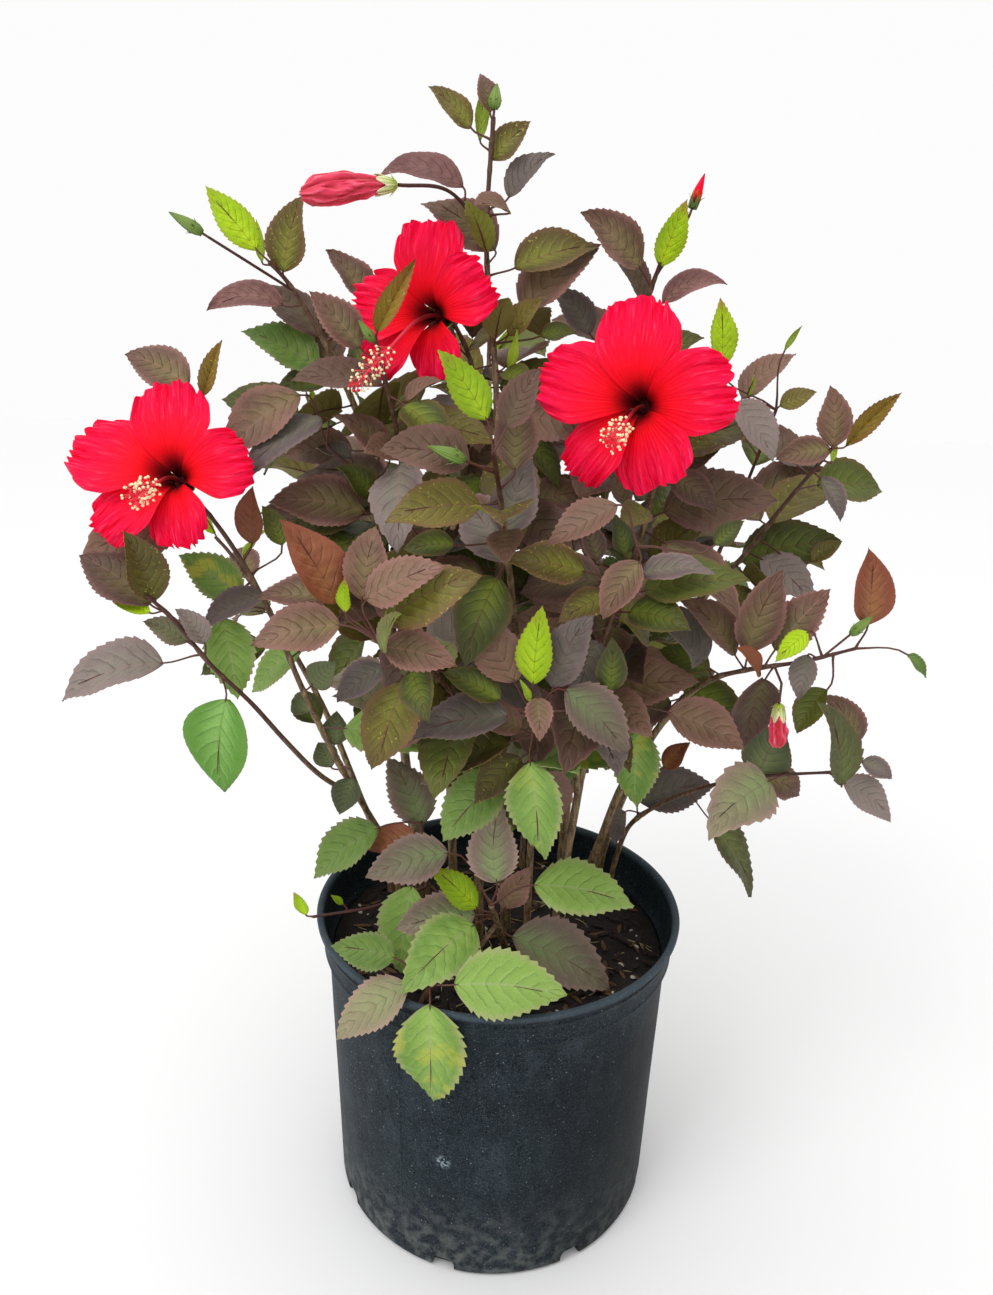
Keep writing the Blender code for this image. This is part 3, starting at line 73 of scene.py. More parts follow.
# Canes and leaves
STEM_SIDES = 5
CURVE_STEP = 0.0022
PETIOLE_WIDTH = 0.0015
PETIOLE_LEAST = 0.006
TEST_BLADE = 0.0030
TEST_GROWTH = 1.05
TEST_FROM = 0.08
FOLD = math.radians(9)
FACE_LEAST = 0.15
SPEAR_RIM = ((0.24, 1.0), (0.62, 1.0))
TINY_RIM = ((0.26, 1.0), (0.62, 1.0))
SMALL_RIM = ((0.18, 1.02), (0.45, 1.06), (0.62, 0.90))
LARGE_RIM = ((0.15, 1.0), (0.42, 1.06), (0.50, 0.86), (0.74, 1.08))
SMALL_FROM = 0.042
LARGE_FROM = 0.078
MIDRIB_POINT = 0.45
LEAF_SEED = 41
SEEDED_OUTWARD = 0.70
SEEDED_UPWARD = 0.72
SWAY = 0.34
LEAF_BELLY = 0.74
LEAF_POINT = 0.95
TEST_PETIOLE = 0.0016

# Kind of leaf: width over length, droop in degrees, petiole over length
LEAF_KINDS = {
    "dark": (0.59, 28, 0.24),
    "dusk": (0.59, 28, 0.24),
    "grey": (0.59, 34, 0.24),
    "arch": (0.38, 74, 0.14),
    "green": (0.60, 26, 0.26),
    "shade": (0.60, 26, 0.26),
    "slim": (0.45, 24, 0.22),
    "olive": (0.60, 18, 0.22),
    "pink": (0.57, 16, 0.22),
    "red": (0.62, 6, 0.24),
    "bronze": (0.38, 8, 0.16),
    "lime": (0.47, 8, 0.18),
    "heart": (0.82, 20, 0.30),
    "spear": (0.24, 4, 0.22),
    "round": (0.84, 10, 0.12),
}

# Blooms
PETALS = 5
PETAL_WIDTH = 0.88
PETAL_ROLL = math.radians(9)
PETAL_RIM = ((0.0, 0.045), (0.30, 0.28), (0.55, 0.76), (0.78, 1.0))
PETAL_END = ((0.93, 0.80), (0.99, 0.44), (0.965, 0.22), (1.01, 0.0))
PETAL_MIDDLE = 0.58
PETAL_ARC = 1.12
PETAL_STEPS = 24
# Slope of a petal from its axis at the foot, what it gains, and where along the petal it gains it
PETAL_SLOPE = (17, 74)
PETAL_OPENS = (0.04, 0.50)
PETAL_FOOT = (0.0088, 0.0028)
HUB_FROM = 0.0016
HUB_TO = 0.0120
HUB_RADIUS = 0.0046
COLUMN_RADIUS = 0.0013
COLUMN_SIDES = 6
COLUMN_CROOK = 0.4
COLUMN_ROOM = (0.0035, 0.0035, 0.007, 0.009, 0.006)
STIGMAS = 5

# Way that sighted leaves face
FRONT = Vector((0.0, -0.72, 0.69))

# Where the plant was sighted from: an eye in front of the pot, looking down at it. A sighting
# is a place in its picture, in steps across and down, made real by its depth behind the eye.
EYE = Vector((0.0, -0.663, 0.667))
EYE_PITCH = math.radians(18.3)
EYE_YAW = math.radians(-0.58)
EYE_ROLL = math.radians(1.5)
PICTURE_MIDDLE = (496.5, 647.5)
PICTURE_FOCAL = 975.0
PICTURE_HEIGHT = 1295
SENSOR_HEIGHT = 36

# Canes: name, points, radius at the foot and at the tip in mm, number of seeded leaves. A first
# point that is a name and a distance starts on that cane, so far from its tip in mm.
CANES = (
    ("cane_lead", ((0.006, -0.002), (-0.004, 0.002, 0.400), (-0.007, 0.000, 0.540),
                   (-0.012, 0.008, 0.632), (-0.020, 0.008, 0.719), (-0.017, 0.000, 0.787)), 4.6, 1.3, 3),
    ("cane_lead_spur", (("cane_lead", 64), (-0.044, -0.014, 0.744), (-0.071, -0.036, 0.7435)), 1.2, 1.1, 0),
    ("cane_centre_upper", (("cane_lead", 430), (0.009, -0.050, 0.440), (-0.003, -0.084, 0.550),
                           (-0.010, -0.118, 0.600)), 3.0, 1.2, 0),
    ("cane_left_top", ((-0.066, 0.040), (-0.083, 0.056, 0.381), (-0.097, 0.050, 0.543),
                       (-0.113, 0.040, 0.614), (-0.143, 0.022, 0.679), (-0.160, 0.010, 0.702)), 3.8, 1.2, 4),
    ("cane_left_top_spur", (("cane_left_top", 24), (-0.174, -0.003, 0.703), (-0.191, -0.015, 0.714)),
     1.0, 0.9, 0),
    ("cane_left_middle", ((-0.036, 0.016), (-0.044, 0.008, 0.420), (-0.060, -0.004, 0.510),
                          (-0.096, -0.008, 0.564), (-0.122, -0.012, 0.588)), 4.2, 1.2, 2),
    ("cane_left_back", (("cane_left_middle", 130), (-0.064, 0.020, 0.530), (-0.076, -0.008, 0.598),
                        (-0.0845, -0.032, 0.652)), 2.4, 1.2, 0),
    ("cane_left_bloom", ((-0.080, 0.022), (-0.083, 0.020, 0.262), (-0.098, 0.008, 0.300),
                         (-0.116, -0.020, 0.357), (-0.140, -0.034, 0.425), (-0.160, -0.040, 0.485),
                         (-0.186, -0.042, 0.535), (-0.2050, -0.046, 0.5630)), 3.6, 1.3, 0),
    ("cane_left_low", (("cane_left_bloom", 262), (-0.130, -0.058, 0.376), (-0.163, -0.078, 0.430),
                       (-0.184, -0.090, 0.460), (-0.207, -0.100, 0.498), (-0.216, -0.103, 0.508)),
     2.0, 1.1, 0),
    ("cane_left_rosette", ((-0.014, -0.024), (-0.018, -0.040, 0.378), (-0.035, -0.080, 0.445),
                           (-0.056, -0.124, 0.478), (-0.071, -0.148, 0.498)), 3.6, 1.2, 0),
    ("cane_centre_rosette", ((0.022, -0.026), (0.022, -0.040, 0.308), (0.021, -0.080, 0.390),
                             (0.017, -0.118, 0.444)), 3.8, 1.2, 0),
    ("cane_front_low", ((0.006, -0.036), (0.002, -0.052, 0.245), (-0.005, -0.076, 0.284)), 4.0, 1.8, 0),
    ("cane_front_left", (("cane_front_low", 30), (-0.020, -0.090, 0.248), (-0.0435, -0.122, 0.251)),
     2.0, 1.4, 0),
    ("cane_low_left", ((-0.052, -0.014), (-0.056, -0.024, 0.285), (-0.058, -0.030, 0.322)), 2.8, 1.4, 0),
    ("cane_low_twig", (("cane_low_left", 60), (-0.092, -0.036, 0.254), (-0.136, -0.046, 0.250)),
     1.4, 1.0, 0),
    ("cane_right_top", ((0.052, 0.060), (0.060, 0.058, 0.468), (0.077, 0.046, 0.598),
                        (0.086, 0.036, 0.672), (0.093, 0.020, 0.708)), 4.8, 1.2, 5),
    ("cane_right_top_spur", (("cane_right_top", 10), (0.104, 0.026, 0.722), (0.111, 0.028, 0.738)),
     0.9, 0.9, 0),
    ("cane_right_bloom", ((0.046, 0.004), (0.066, 0.004, 0.400), (0.086, -0.016, 0.520),
                          (0.094, -0.030, 0.585), (0.0855, -0.038, 0.6200)), 4.2, 1.3, 2),
    ("cane_middle_right", (("cane_right_bloom", 300), (0.052, -0.034, 0.400), (0.062, -0.072, 0.480),
                           (0.074, -0.110, 0.548)), 2.6, 1.2, 0),
    ("cane_right_middle", ((0.086, 0.084), (0.112, 0.080, 0.326), (0.141, 0.060, 0.455),
                           (0.167, 0.040, 0.504), (0.190, 0.020, 0.550), (0.214, 0.002, 0.594)),
     5.0, 1.1, 3),
    ("cane_right_upper", (("cane_right_middle", 176), (0.160, 0.096, 0.480), (0.180, 0.098, 0.545),
                          (0.196, 0.086, 0.612)), 2.2, 1.1, 2),
    ("cane_right_low", ((0.072, 0.054), (0.092, 0.010, 0.338), (0.128, -0.022, 0.424),
                        (0.160, -0.046, 0.452), (0.196, -0.058, 0.464), (0.226, -0.060, 0.474)),
     4.2, 1.0, 0),
    ("cane_right_lowest", ((0.094, 0.060), (0.104, 0.036, 0.290), (0.149, 0.006, 0.338),
                           (0.193, -0.026, 0.366), (0.235, -0.038, 0.376)), 2.8, 1.0, 0),
    ("cane_centre_bloom", ((-0.018, 0.064), (-0.026, 0.060, 0.400), (-0.034, 0.046, 0.560),
                           (-0.028, 0.034, 0.634), (-0.0430, 0.012, 0.671)), 3.8, 1.3, 5),
    ("cane_back_left", ((-0.074, 0.078), (-0.100, 0.110, 0.400), (-0.150, 0.140, 0.560),
                        (-0.168, 0.150, 0.610)), 4.0, 1.2, 6),
    ("cane_back_low_left", (("cane_back_left", 380), (-0.094, 0.150, 0.320), (-0.108, 0.206, 0.400),
                            (-0.112, 0.222, 0.420)), 2.2, 1.2, 4),
    ("cane_back_far_left", ((-0.092, 0.060), (-0.150, 0.090, 0.360), (-0.212, 0.100, 0.470),
                            (-0.236, 0.104, 0.500)), 3.6, 1.2, 5),
    ("cane_back_middle", ((-0.006, 0.094), (-0.014, 0.130, 0.420), (-0.020, 0.176, 0.600),
                          (-0.022, 0.190, 0.664)), 4.2, 1.2, 7),
    ("cane_back_low", ((0.020, 0.104), (0.034, 0.160, 0.330), (0.052, 0.226, 0.430),
                       (0.058, 0.244, 0.452)), 3.2, 1.2, 5),
    ("cane_back_right", ((0.060, 0.098), (0.084, 0.130, 0.420), (0.104, 0.160, 0.560),
                         (0.110, 0.172, 0.612)), 4.2, 1.2, 6),
)
SEEDED_FIRST = 0.004
SEEDED_SPACING = 0.024
INNER_FIRST = 0.110
INNER_SPACING = 0.036
INNER_LENGTH = 64
INNER_RISE = (-20, 14)
LENGTH_SPREAD = 5
SEEDED_TURN = math.radians(137.5)
YOUNG_LEAVES = 5
YOUNG_RISE = 66
RISE_STEP = 14
OLD_RISE = (-34, 2)
YOUNG_LENGTH = 30
LENGTH_STEP = 9
SEEDED_SIZES = (1.0, 0.86, 0.72)
SEEDED_TURNS = (7, 13, 20, 28, 37, 48)
SEEDED_KINDS = ("lime", "spear", "dark", "dark", "grey", "dark", "shade", "grey", "shade")

# Leaves as sighted, by cane: across and down of the blade's foot, across and down of its tip,
# how much nearer the eye the tip stands than the foot in mm, kind
SIGHTED = {
    "cane_lead": (
        (471, 128, 430, 84, 6, "olive"), (490, 112, 482, 72, -8, "dark"), (480, 140, 484, 79, 4, "spear"),
        (492, 160, 530, 121, 6, "olive"), (509, 197, 553, 150, 4, "grey"), (509, 211, 475, 203, 10, "dark"),
        (495, 250, 423, 196, -6, "dark"), (487, 252, 465, 196, 10, "slim"),
        (515, 268, 599, 242, -6, "olive"), (524, 312, 600, 241, 10, "dark"),
        (541, 336, 577, 330, 0, "shade"), (508, 335, 543, 300, 5, "olive"),
        (510, 372, 516, 332, 8, "spear"), (500, 330, 462, 352, 0, "olive"),
        (520, 430, 560, 487, 5, "shade"), (545, 440, 566, 411, 0, "slim"),
        (527, 505, 592, 492, 2, "dark")),
    "cane_lead_spur": ((463, 187, 381, 178, 6, "arch"),),
    "cane_centre_upper": (
        (487, 420, 441, 348, 6, "lime"), (506, 428, 540, 366, -4, "pink"),
        (515, 470, 525, 390, 4, "dark"), (470, 463, 378, 447, 8, "dark"),
        (480, 505, 383, 515, 12, "olive"), (455, 545, 403, 550, 4, "shade")),
    "cane_left_top": (
        (257, 250, 203, 187, 4, "lime"), (262, 262, 256, 218, 2, "spear"),
        (283, 272, 300, 195, -4, "olive"), (283, 305, 207, 312, 8, "arch"),
        (318, 368, 241, 329, 4, "green"), (330, 372, 308, 302, -4, "dark"),
        (368, 304, 326, 248, -8, "dark")),
    "cane_left_middle": (
        (322, 418, 240, 476, 12, "grey"), (300, 395, 222, 455, 8, "dark"),
        (388, 455, 335, 410, 0, "dark"),
        (350, 458, 315, 447, 2, "grey"), (365, 512, 268, 500, 10, "dark"),
        (360, 515, 285, 527, 2, "shade"), (374, 497, 338, 466, 0, "shade"),
        (420, 560, 470, 520, 0, "dark")),
    "cane_left_back": (
        (360, 348, 310, 290, 6, "pink"), (377, 332, 417, 259, 8, "bronze"),
        (382, 385, 290, 378, 6, "dark"),
        (405, 400, 440, 378, 0, "dark"), (408, 480, 418, 440, 2, "slim"), (440, 492, 447, 452, 0, "slim")),
    "cane_left_bloom": (
        (188, 385, 124, 353, -4, "dark"), (203, 396, 221, 340, 0, "bronze"),
        (252, 543, 254, 487, 6, "red"), (282, 545, 262, 505, 4, "shade"),
        (240, 600, 180, 552, -4, "green"), (264, 594, 201, 628, 8, "grey"),
        (222, 618, 237, 700, 12, "green"), (300, 650, 250, 692, 6, "green"),
        (312, 685, 336, 662, 4, "round"), (310, 712, 292, 698, 2, "round"),
        (334, 745, 338, 711, 2, "round"), (331, 767, 318, 741, 2, "round"),
        (352, 778, 340, 815, 4, "round")),
    "cane_left_low": (
        (155, 600, 123, 532, 2, "olive"), (150, 604, 76, 556, -2, "dark"),
        (150, 613, 113, 601, 4, "lime"), (188, 642, 143, 620, 6, "dusk"),
        (205, 644, 176, 608, 2, "grey"), (163, 663, 56, 696, 6, "grey"),
        (226, 699, 217, 795, 10, "heart")),
    "cane_left_rosette": (
        (345, 612, 343, 578, 4, "lime"), (338, 603, 285, 517, 4, "red"),
        (340, 625, 251, 648, 10, "dark"), (334, 598, 258, 600, 0, "dark"),
        (362, 600, 377, 524, 0, "dark"), (366, 600, 443, 562, 8, "pink"),
        (384, 620, 479, 570, 6, "olive"), (383, 647, 458, 662, 8, "pink"),
        (382, 652, 397, 610, 2, "slim"), (384, 668, 336, 702, 4, "grey"),
        (405, 683, 377, 773, 10, "olive"), (440, 660, 398, 674, 0, "shade")),
    "cane_centre_rosette": (
        (533, 684, 541, 607, 4, "lime"), (531, 702, 521, 681, 2, "spear"),
        (515, 682, 462, 615, 0, "dark"), (553, 688, 592, 614, 0, "grey"),
        (610, 692, 613, 640, 2, "shade"), (508, 716, 408, 737, 10, "grey"),
        (538, 698, 540, 740, 8, "pink"), (565, 690, 628, 755, 10, "dusk"),
        (500, 700, 442, 674, 0, "shade"), (530, 762, 537, 862, 12, "green"),
        (505, 776, 440, 844, 8, "green")),
    "cane_front_low": (
        (497, 882, 500, 803, 0, "dusk"), (477, 908, 432, 866, 4, "lime"),
        (505, 908, 530, 868, 4, "pink"), (512, 937, 611, 990, 8, "dusk"),
        (534, 885, 637, 906, 6, "green"), (475, 915, 394, 930, 6, "dusk"),
        (474, 925, 402, 992, 36, "green"), (448, 853, 365, 878, 10, "dusk")),
    "cane_front_left": (
        (430, 1006, 430, 1108, 4, "green"), (454, 985, 567, 998, 8, "green"),
        (408, 985, 338, 1043, 8, "dusk"), (395, 958, 330, 947, 4, "green")),
    "cane_low_left": (
        (422, 826, 389, 755, -2, "dusk"), (378, 828, 313, 878, 8, "green"),
        (412, 886, 398, 974, 6, "green"), (415, 835, 363, 848, 0, "red")),
    "cane_low_twig": ((306, 915, 294, 893, 2, "lime"), (343, 904, 331, 896, 2, "lime")),
    "cane_right_top": (
        (660, 266, 688, 200, 2, "lime"), (640, 268, 581, 212, 2, "dark"),
        (644, 300, 599, 236, -4, "dark"), (663, 303, 728, 284, 4, "arch"),
        (590, 334, 553, 288, -6, "grey")),
    "cane_right_bloom": (
        (690, 470, 725, 440, 0, "dark"), (625, 505, 598, 462, 0, "dark"),
        (733, 404, 774, 462, 2, "grey"),
        (664, 512, 780, 500, 6, "dark"), (650, 560, 712, 515, -2, "olive")),
    "cane_middle_right": (
        (617, 505, 549, 548, 8, "pink"), (640, 562, 604, 621, 8, "dark"),
        (585, 572, 502, 560, 6, "olive"), (598, 560, 580, 520, 0, "dark"),
        (625, 555, 612, 515, 0, "shade"), (715, 545, 745, 522, 0, "shade"),
        (605, 694, 700, 682, 4, "dark"), (668, 712, 745, 751, 6, "dark")),
    "cane_right_middle": (
        (832, 447, 832, 385, 0, "dark"), (846, 446, 900, 389, 4, "bronze"),
        (832, 462, 836, 436, 3, "spear"), (820, 478, 843, 521, 4, "grey"),
        (830, 450, 777, 462, 2, "dark"), (742, 562, 841, 543, 8, "shade"),
        (812, 562, 842, 540, -4, "olive")),
    "cane_right_upper": (
        (722, 367, 722, 298, 2, "lime"), (742, 398, 797, 354, 2, "dark"),
        (780, 406, 817, 393, 4, "olive"), (785, 350, 801, 325, 0, "spear"),
        (748, 395, 756, 376, 4, "spear")),
    "cane_right_low": (
        (868, 625, 875, 549, 2, "red"), (808, 632, 775, 660, 6, "lime"),
        (760, 674, 738, 645, 4, "red"), (735, 655, 683, 596, 2, "dark"),
        (748, 652, 786, 571, 0, "dark"), (775, 650, 833, 591, 4, "pink"),
        (808, 655, 797, 700, 2, "grey"), (765, 680, 745, 752, 2, "dark"),
        (827, 690, 795, 733, -4, "shade"), (908, 655, 927, 678, 2, "green"),
        (640, 730, 632, 806, 4, "green"), (664, 768, 688, 742, 4, "red")),
    "cane_right_lowest": (
        (862, 762, 893, 779, 2, "grey"), (843, 783, 894, 820, 4, "grey"),
        (842, 785, 829, 702, 0, "slim"), (856, 745, 828, 692, 0, "dark"),
        (757, 776, 786, 724, 2, "round"), (762, 776, 803, 797, 2, "dark"),
        (710, 820, 756, 897, 4, "slim"), (640, 802, 716, 785, 2, "grey"),
        (625, 812, 613, 845, 2, "grey")),
    "cane_centre_bloom": (
        (478, 300, 470, 340, -4, "olive"), (470, 400, 430, 385, 0, "olive"),
        (465, 480, 500, 440, 0, "dark"), (478, 560, 540, 590, 0, "shade")),
}
LEAN_STEPS = (0, 8, -8, 16, -16)
DEPTH_STEPS = (0, 4, -4, 8, -8, 13, -13, 19, -19, 26, -26)
SIZE_STEPS = (1.0, 0.9, 0.8)
ROOT_STEP = 0.003
TIP_MARGIN = 0.0015
STRAIGHT = 0.05

# Blooms: cane that carries it, way it faces, petal length and column length in metres, column
# bend in degrees, and each petal's turn in degrees with its shares of the length and the width
BLOOMS = (
    ("bloom_right", "cane_right_bloom", (-0.41, -0.90, 0.14), 0.059, 0.058, 28,
     ((95, 1.04, 1.0), (14, 1.01, 0.96), (293, 0.88, 1.0), (232, 1.00, 0.74), (164, 1.10, 0.98))),
    ("bloom_left", "cane_left_bloom", (-0.07, -0.87, 0.48), 0.055, 0.062, 34,
     ((96, 1.08, 1.0), (15, 0.89, 0.90), (283, 0.84, 0.80), (226, 1.04, 0.84), (167, 1.18, 1.06))),
    ("bloom_centre", "cane_centre_bloom", (-0.47, -0.88, 0.06), 0.053, 0.098, 34,
     ((90, 1.06, 1.0), (29, 0.90, 0.94), (280, 0.74, 0.92), (217, 1.12, 0.80), (172, 1.10, 0.98))),
)
# Spent blooms: cane, way it points, length and radius of the rolled petals in metres
SPENT = (
    ("spent_top", "cane_lead_spur", (-0.955, -0.290, -0.060), 0.055, 0.0090),
    ("spent_right", "cane_right_low", (0.08, 0.02, -0.99), 0.030, 0.0062),
)
SPENT_RIGHT_FROM_TIP = 0.052
SPENT_STALK = Vector((0.002, -0.014, -0.021))
SPENT_ELBOW = 0.35
SPENT_CUP = 67.0
SPENT_CUP_LEAST = 0.1
SPENT_ROOM = 0.002
SPENT_REACH = 1.25

# Calyx: radius and height of its lobes' points and of the notches between them
CALYX_FOOT_RADIUS = 0.0026
CALYX_OUTSIDE = ((0.0104, 0.0126), (0.0084, 0.0070))
CALYX_FLOOR = 0.0012

# Buds: cane, distance from its tip, way it points, length and radius in metres
BUDS = (
    ("cane_left_top_spur", 0, (-0.80, -0.30, 0.50), 0.022, 0.0038),
    ("cane_right_top_spur", 0, (0.30, 0.05, 0.95), 0.022, 0.0032),
    ("cane_lead", 0, (0.10, 0.00, 1.00), 0.014, 0.0040),
    ("cane_right_bloom", 0.022, (0.80, 0.30, 0.50), 0.026, 0.0040),
    ("cane_right_low", 0.020, (0.60, -0.20, 0.75), 0.018, 0.0034),
    ("cane_centre_upper", 0.016, (-0.80, -0.45, 0.35), 0.024, 0.0040),
    ("cane_left_back", 0, (-0.60, -0.10, 0.80), 0.016, 0.0030),
)
BUD_STALK = 0.022
BUD_STALK_SHORT = 0.004
BUD_STALK_RADIUS = 0.0008
SPENT_STALK_RADIUS = 0.0009

# Leaves as they are built: thickness, edge teeth, veins and waves; lengths in metres or in
# shares of the blade's size
LEAF_THICK = 0.00042
TEETH_SMALL = 8
TEETH_LARGE = 11
TEETH_FROM = 0.10
TEETH_TO = 0.94
# One tooth from notch to notch: share of its length, share of its height
TOOTH = ((0.0, 0.0), (0.45, 0.50), (0.86, 1.0))
TOOTH_DEPTH = 0.052
# Most that a tooth may take of the half width, and its height that lies on the outline
TOOTH_MOST = 0.35
TOOTH_MIDDLE = 0.35
# How tall the teeth of some kinds are, over the other kinds'
SMOOTH_EDGED = {
    "red": 0.15, "spear": 0.5, "arch": 0.3, "heart": 0.15, "dark": 0.6, "round": 0.25,
    "olive": 0.5, "shade": 0.45, "grey": 0.7, "lime": 0.85,
}
# Points across half a blade, in shares of its half width
ACROSS = (0.34, 0.66, 0.89)
# Small inner leaves are built with fewer teeth and fewer points across
INNER_TEETH = 7
INNER_ACROSS = (0.46, 0.87)
LEAST_HALF = 0.0003
VEIN_FIRST = 0.045
VEIN_STEP = 0.135
VEIN_SLOPE = 0.30
VEIN_BEND = 1.25
VEIN_WANDER = 0.07
# Painted light on the quilting: how strong the painted highlight on the bulges between side veins is, and how
# much lighter than the wash
BULGE_LIGHT = 0.26
BULGE_HIGHLIGHT_LIFT = 34
# How strong the darker tone of a kind's darkest leaves is, and how dark
DEEPEST = 0.5
DEEP_TONE = 0.45
# How strong the painted shade is on the vein's side of the bulges
BAND_SHADE = 0.44
QUILT = 0.0120
WAVE = 0.020
WAVE_STRENGTH = (0.5, 1.0)
WAVES = (1.2, 2.3)
EDGE_ROLL = (-0.02, 0.05)
# About a full turn, for waves that may start anywhere
ROUND = 6.28
MORE_FOLD = math.radians(12)
FOLDED = {"bronze": math.radians(24)}
TWIST = math.radians(22)
SIDE_BEND = 0.05
TIP_DIP = 0.09
MIDRIB_GROOVE = 0.00030
MIDRIB_WIDTH = 0.0011
MIDRIB_SHARES = (0.06, 0.20, 0.38, 0.58, 0.78)
PETIOLE_RADIUS = 0.00066
PETIOLE_BASE = 1.55
PETIOLE_STEPS = 5
PETIOLE_SIDES = 6
RIM_ANGLE = math.radians(55)

# Canes
RING_STEP = 0.0032
NODE_SWELL = 0.22
NODE_REACH = 0.0026
CANE_SIDES = 10
CANE_UNEVEN = 0.05
CANE_LUMPS = 160

# Small leaves that fill the plant, by cane
FILLERS = {
    "cane_lead": 24, "cane_centre_upper": 9, "cane_left_top": 14, "cane_left_middle": 15,
    "cane_left_back": 6, "cane_left_bloom": 3, "cane_left_rosette": 12,
    "cane_centre_rosette": 12, "cane_front_low": 5, "cane_low_left": 4, "cane_right_top": 14,
    "cane_right_bloom": 20, "cane_middle_right": 12, "cane_right_middle": 9, "cane_right_upper": 6,
    "cane_right_low": 6, "cane_right_lowest": 1, "cane_centre_bloom": 20, "cane_back_left": 12,
    "cane_back_middle": 18, "cane_back_right": 16, "cane_back_low": 6,
}
FILLER_SEED = 7
FILLER_KINDS = ("dark", "shade", "dark", "grey", "olive", "dark", "shade")
FILLER_LOW_KINDS = ("green", "dusk", "shade")
FILLER_LENGTHS = ((56, 76), (30, 54))
LOW_LEAVES = 0.40
FILLER_HEIGHTS = (0.365, 0.66)
# How wide a small leaf counts as hiding, over its length, and how much nearer the eye it is then
HIDING_REACH = 0.42
HIDING_NEARER = 0.985
SEEN_PETAL = (0.45, 0.85)
FILLER_FROM = 0.020
FILLER_SHARE = 0.86
FILLER_RISE = (-25, 60)
FILLER_SWAY = 0.5

# Petals
PETAL_THICK = 0.00040
PETAL_ROWS = 35
PETAL_COLUMNS = 61
PETAL_SHOULDER = 0.80
PETAL_CROWN = 0.21
CRENATIONS = 9
CRENATION_DEPTH = 0.036
NOTCHES = 3
NOTCH_DEPTH = (0.02, 0.055)
NOTCH_WIDTH = 0.060
NOTCH_PLACES = (-0.85, 0.85)
PETAL_WIDEST = 0.78
PETAL_FLARE = 1.85
PETAL_SKEW = 0.10
PETAL_LEAN = 0.018
RUFFLE = 0.0022
RUFFLES = 1.5
FRILL = 0.0022
FRILLS = 4.3
PETAL_CUP = 0.006
PETAL_VEINS = 7.5
PETAL_VEIN_DEPTH = 0.00030
PETAL_REFLEX = 0.0026

# Spent blooms' calyces: height over a cup's, how soon they widen, width over a cup's
SPENT_SLEEVES = {"spent_right": (1.9, 0.34, 1.0), "spent_top": (1.5, 0.60, 0.9)}
# Rolled petals from foot to end: share of their length, share of their radius; how far they sag
SPENT_OUTLINE = ((0.0, 0.20), (0.10, 0.40), (0.30, 0.74), (0.60, 1.0), (0.86, 0.92), (1.0, 0.42))
SPENT_SAG = 0.075
SPENT_ROWS = 44
SPENT_SIDES = 64

# Calyces: cup's wall, and the bracts under it
CALYX_SIDES = 60
CALYX_SWELL = 0.72
CALYX_INSET = 0.93
CALYX_WALL = 0.0004
CALYX_BRACTS = 7
BRACT_LENGTH = 0.0085
BRACT_WIDTH = 0.0013
BRACT_CURL = 0.5
SHEET_ROWS = 7
SHEET_THICK = 0.00036

# Buds from foot to point: share of their length, share of their radius
BUD_OUTLINE = ((0.0, 0.40), (0.05, 0.66), (0.16, 0.92), (0.32, 1.0), (0.50, 0.88), (0.66, 0.68),
               (0.80, 0.46), (0.92, 0.24), (1.0, 0.06))
BUD_SIDES = 20
BUD_RIB = 0.10
BUD_BRACTS = 6
BUD_STALK_INSIDE = 0.002
STALK_SIDES = 8
RED_BUD = "cane_right_top_spur"

# Column and stamens
COLUMN_STEPS = 22
COLUMN_FINE_SIDES = 14
HUB_SIDES = 24
HUB_TAPER = (0.55, 0.8, 1.0)
STAMENS = 62
STAMENS_FROM = 0.60
STAMENS_SPAN = 0.38
STAMEN_TURN = 2.4
STAMEN_LEAN = 0.45
FILAMENT_RADIUS = 0.00017
FILAMENT_LENGTH = (0.0062, 0.0104)
ANTHER = (0.00100, 0.00078)
STIGMA_RADIUS = 0.00042
STIGMA_LENGTH = 0.0050
STIGMA_PAD = 0.00115
STIGMA_LEAN = 0.55
STIGMA_FIRST = 0.4
THREAD_STEPS = 4
THREAD_BEND = 0.14
THREAD_SIDES = 5

# Colours as they look, red, green and blue out of 255
MIDRIB_TONES = {
    "green": (156, 168, 116), "dusk": (140, 128, 104), "dark": (140, 108, 92), "lime": (132, 160, 20),
}
BARK = {"young": (86, 44, 40), "young brown": (62, 44, 36), "dark": (92, 72, 52), "old": (150, 126, 92),
        "warts": (186, 168, 136)}
UNDER_VEIN = (112, 60, 52)
LIME_END = (170, 110, 66)
SPECKLED = ("bronze", "lime", "olive")
LEAF_SPECK = (196, 190, 84)
LEAF_PATCH = (188, 184, 72)
# Petal tones, with painted highlights and painted shade for the crinkles of the outer part
PETAL = {"inner": (240, 0, 44), "outer": (248, 34, 82), "rays": (204, 0, 44), "fold highlights": (255, 92, 126),
         "hollow shade": (206, 0, 46), "under": (240, 66, 96)}
# The throat's darker tones, the bloom's own crimson eye deepened by painted shade of the deep hole: share of
# the petal's length where each starts and where it is full
THROAT = ((0.46, 0.24, (196, 0, 28)), (0.36, 0.18, (104, 2, 20)), (0.20, 0.10, (70, 2, 14)))
# Column tones; the throat tone is partly painted shade of the deep hole
COLUMN = {"dark": (222, 28, 58), "rose": (238, 66, 90), "throat": (112, 0, 20)}
CALYX = {"foot": (104, 134, 58), "points": (140, 166, 84), "spent foot": (172, 192, 48),
         "spent points": (230, 228, 180), "ribs": (96, 120, 48)}
CALYX_RIBS = 15
